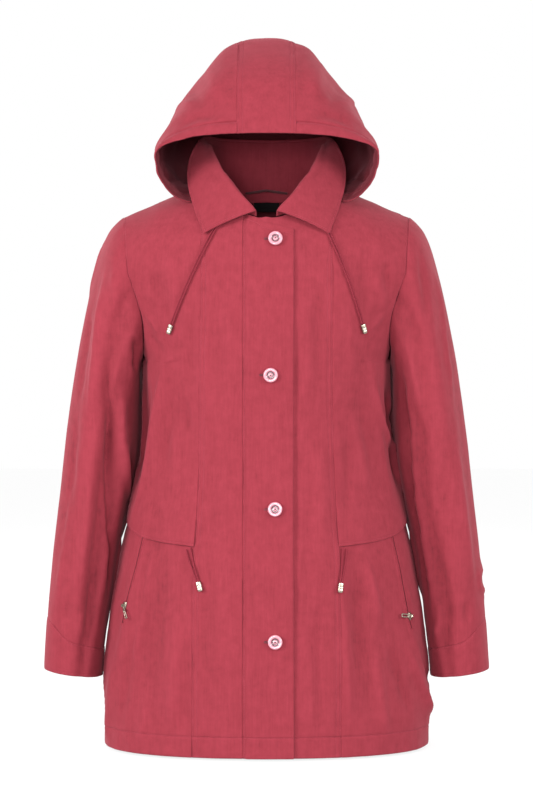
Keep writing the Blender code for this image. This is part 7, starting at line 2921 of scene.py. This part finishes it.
@dataclass(frozen=True)
class PeachedMicrofibre:
    """Brushed microfibre: soft nap, mottled and faintly streaked down the cloth, with painted shade in the troughs of
    its folds and painted highlight on their ridges.

    Attributes:
        name: The real material.
        trough: Darkest colour: painted shade at the bottom of a fold, and the darkest mottling.
        deep: Middle colour of the mottling.
        pale: Palest colour: painted highlight on the top of a ridge, and the palest mottling.
        inner: Colour of the inside: painted shade, darker than the outside.
        mottle: From one cloud of the mottling to the next.
        streak: Width of one streak.
        nap: Depth of the nap's unevenness.
        fold_share: How far a full trough darkens the colour with painted shade, and a full ridge pales it with painted
            highlight.
    """

    name: str
    trough: str
    deep: str
    pale: str
    inner: str
    fold_share: float = 0.10
    mottle: float = 11 * MM
    streak: float = 3 * MM
    nap: float = 0.12 * MM
    sheen: float = 0.12

    def build(self) -> bpy.types.Material:
        """Return the material; it reads the cloth's own coordinates, its inside for painted shade, and its folds for
        painted shade and painted highlight.
        """
        made = bpy.data.materials.new(self.name)
        made.use_nodes = True
        tree = made.node_tree
        shader = tree.nodes["Principled BSDF"]
        where = add_node(tree, "ShaderNodeTexCoord").outputs["Object"]
        clouds = add_node(tree, "ShaderNodeTexNoise", None, {
            "Vector": where, "Scale": 1 / self.mottle, "Detail": 4.0, "Roughness": 0.6,
        })
        grain_way = add_node(tree, "ShaderNodeMapping", None, {
            "Vector": where, "Scale": (1 / self.streak, 1 / self.streak, 1 / (self.streak * 14)),
        })
        streaks = add_node(tree, "ShaderNodeTexNoise", None, {
            "Vector": grain_way.outputs["Vector"], "Scale": 1.0, "Detail": 3.0, "Roughness": 0.7,
        })
        fibres = add_node(tree, "ShaderNodeTexNoise", None, {
            "Vector": where, "Scale": 1 / (0.9 * MM), "Detail": 2.0, "Roughness": 0.6,
        })
        blend = add_node(tree, "ShaderNodeMath", {"operation": "MULTIPLY_ADD"})
        tree.links.new(clouds.outputs["Fac"], blend.inputs[0])
        blend.inputs[1].default_value = 0.55
        # Painted shade and painted highlight: troughs move the colour towards the dark end, ridges towards the pale
        # end.
        fold_shade = add_node(tree, "ShaderNodeAttribute", {"attribute_name": "fold"})
        folded = add_node(tree, "ShaderNodeMath", {"operation": "MULTIPLY_ADD"})
        tree.links.new(fold_shade.outputs["Fac"], folded.inputs[0])
        folded.inputs[1].default_value = self.fold_share
        tree.links.new(blend.outputs["Value"], folded.inputs[2])
        half = add_node(tree, "ShaderNodeMath", {"operation": "MULTIPLY"})
        tree.links.new(streaks.outputs["Fac"], half.inputs[0])
        half.inputs[1].default_value = 0.45
        tree.links.new(half.outputs["Value"], blend.inputs[2])
        # Ramp from the trough colour (painted shade and darkest mottling) over the middle colour to the pale one
        # (painted highlight and palest mottling).
        both = add_node(tree, "ShaderNodeValToRGB", None, {"Fac": folded.outputs["Value"]})
        both.color_ramp.elements[0].position = 0.18
        both.color_ramp.elements[0].color = colour(self.trough)
        both.color_ramp.elements[1].position = 0.68
        both.color_ramp.elements[1].color = colour(self.pale)
        both.color_ramp.elements.new(0.40).color = colour(self.deep)
        # Painted shade: the inside takes the darker inner colour.
        inside = add_node(tree, "ShaderNodeAttribute", {"attribute_name": "inside"})
        sided = add_node(tree, "ShaderNodeMix", {"data_type": "RGBA"})
        tree.links.new(inside.outputs["Fac"], sided.inputs["Factor"])
        tree.links.new(both.outputs["Color"], sided.inputs["A"])
        sided.inputs["B"].default_value = colour(self.inner)
        colour_sockets = [socket for socket in sided.inputs if socket.type == "RGBA"]
        tree.links.new(both.outputs["Color"], colour_sockets[0])
        colour_sockets[1].default_value = colour(self.inner)
        result = [socket for socket in sided.outputs if socket.type == "RGBA"][0]
        tree.links.new(result, shader.inputs["Base Color"])
        height = add_node(tree, "ShaderNodeMath", {"operation": "MULTIPLY_ADD"})
        tree.links.new(streaks.outputs["Fac"], height.inputs[0])
        height.inputs[1].default_value = 0.8
        tree.links.new(fibres.outputs["Fac"], height.inputs[2])
        bump = add_node(tree, "ShaderNodeBump", None, {
            "Height": height.outputs["Value"], "Strength": 1.0, "Distance": self.nap,
        })
        tree.links.new(bump.outputs["Normal"], shader.inputs["Normal"])
        shader.inputs["Roughness"].default_value = 0.85
        shader.inputs["Specular IOR Level"].default_value = 0.12
        shader.inputs["Sheen Weight"].default_value = self.sheen
        shader.inputs["Sheen Roughness"].default_value = 0.5
        shader.inputs["Sheen Tint"].default_value = colour("#d9808c")
        return made


class Finishes:
    """Every material, built once."""

    def __init__(self) -> None:
        """Build them."""
        # The trough and pale colours carry painted shade and painted highlight of the folds; the inner colour is
        # painted shade of the inside.
        self.cloth = PeachedMicrofibre(
            "peached microfibre", "#54171f", "#641d26", "#6d222c", "#461219").build()
        # Dark inner-side colour, painted shade; the hanging loop takes it.
        self.inside = PlainFinish("peached microfibre, inner side", "#3a0e15", 0.9, sheen=0.05).build()
        self.braid = PlainFinish("braided polyester cord", "#601b25", 0.8, grain=0.05 * MM,
                                 grain_size=0.5 * MM, specular=0.1).build()
        self.thread = PlainFinish("polyester thread", "#752a36", 0.6, specular=0.15).build()
        # The ring colour is painted shade of the button's recess.
        self.pearl = PearlButton("pearl polyester", "#a06a74", "#4a2a32").build()
        self.knot = PlainFinish("dark polyester thread", "#3c1a22", 0.6).build()
        self.nickel = PlainFinish("nickel", "#8f877a", 0.32, metallic=1.0, grain=0.01 * MM,
                                  grain_size=0.4 * MM).build()
        # Near black: painted shade of the pocket slit.
        self.coil = PlainFinish("nylon zip coil", "#1c0609", 0.6, specular=0.08).build()
        self.label = PlainFinish("woven satin label", "#080506", 0.8, grain=0.05 * MM, grain_size=0.4 * MM,
                                 specular=0.08).build()


# ------------------------------------------------------------------ studio


@dataclass
class Studio:
    """Camera, soft lights and a pale floor.

    Attributes:
        floor_height: Level of the floor.
    """

    floor_height: float = -0.7535

    def camera(self) -> None:
        """Set the camera straight in front, as the photograph was taken."""
        lens = bpy.data.cameras.new("camera")
        lens.sensor_fit = "VERTICAL"
        lens.sensor_height = 36.0
        lens.sensor_width = 36.0
        lens.lens = 96.43
        lens.clip_end = 60.0
        made = bpy.data.objects.new("camera", lens)
        made.location = (0.0, -EYE_DISTANCE, EYE_HEIGHT)
        made.rotation_euler = (math.pi / 2, 0, 0)
        bpy.context.scene.collection.objects.link(made)
        bpy.context.scene.camera = made

    def build(self) -> None:
        """Set the lights, the sky and the floor."""
        scene = bpy.context.scene
        scene.view_settings.view_transform = "Standard"
        sky = bpy.data.worlds.new("studio")
        scene.world = sky
        sky.use_nodes = True
        back = sky.node_tree.nodes["Background"]
        back.inputs["Color"].default_value = (1.0, 1.0, 1.0, 1.0)
        back.inputs["Strength"].default_value = 1.0
        self.soft_light("key_right", (-3.3, -2.3, 0.7), 1.5, 265.0)
        self.soft_light("key_left", (3.3, -2.3, 0.7), 1.5, 190.0)
        self.soft_light("front", (-0.4, -4.3, -0.1), 1.2, 170.0)
        self.soft_light("top_front", (-0.6, -3.9, 2.6), 1.8, 50.0)
        self.soft_light("rim_right", (-2.6, 2.8, 1.2), 1.8, 60.0)
        self.soft_light("rim_left", (2.6, 2.8, 1.2), 1.8, 60.0)
        paint = PlainFinish("matt white floor", "#606060", 0.9, glow=0.78).build()
        bpy.ops.mesh.primitive_plane_add(size=24.0, location=(0, 0, self.floor_height))
        floor = bpy.context.object
        floor.name = "studio_floor"
        floor.data.materials.append(paint)
        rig.stage(floor)

    def soft_light(self, name: str, place: tuple[float, float, float], size: float, power: float) -> None:
        """Add a square soft light that faces the garment."""
        lamp = bpy.data.lights.new(name, "AREA")
        lamp.shape = "SQUARE"
        lamp.size = size
        lamp.energy = power
        made = bpy.data.objects.new(name, lamp)
        made.location = place
        made.rotation_euler = (Vector((0, 0, -0.3)) - Vector(place)).to_track_quat("-Z", "Y").to_euler()
        bpy.context.scene.collection.objects.link(made)


# ------------------------------------------------------------------ the whole garment


def clear_scene() -> None:
    """Remove what a new scene starts with."""
    for made in list(bpy.data.objects):
        bpy.data.objects.remove(made)


def keep_sizes(sizes: dict) -> None:
    """Write the boxes of the solids and of the finished scene."""
    with open("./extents.json", "w", encoding="utf-8") as target:
        json.dump(sizes, target)


def main() -> None:
    """Build every piece in order."""
    logging.basicConfig(level=logging.INFO, format="%(message)s")
    clear_scene()
    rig.load()
    sizes = {"cad": [list(corner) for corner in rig.bounds()]}
    studio = Studio()
    studio.camera()
    finishes, torso, tree = Finishes(), TorsoForm(), SewnThread()
    grounds = Grounds(torso)
    Drawcords(grounds, finishes.braid, finishes.nickel).make()
    tailor = Tailor(finishes.cloth, grounds.marks())
    TorsoPanels(torso, tailor).make()
    Sleeves(torso, tailor).make()
    CollarPiece(torso, tailor).make()
    Hood(torso, tailor).make()
    Buttons(grounds, tree, finishes.pearl, finishes.knot).make()
    PocketZips(grounds, tree, finishes.cloth, finishes.coil, finishes.nickel).make()
    NeckTrims(torso, finishes.inside, finishes.label).make()
    Sewing(finishes.thread, tree).make(tailor.threads)
    studio.build()
    sizes["final"] = [list(corner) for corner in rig.bounds()]
    keep_sizes(sizes)


if __name__ == "__main__":
    main()
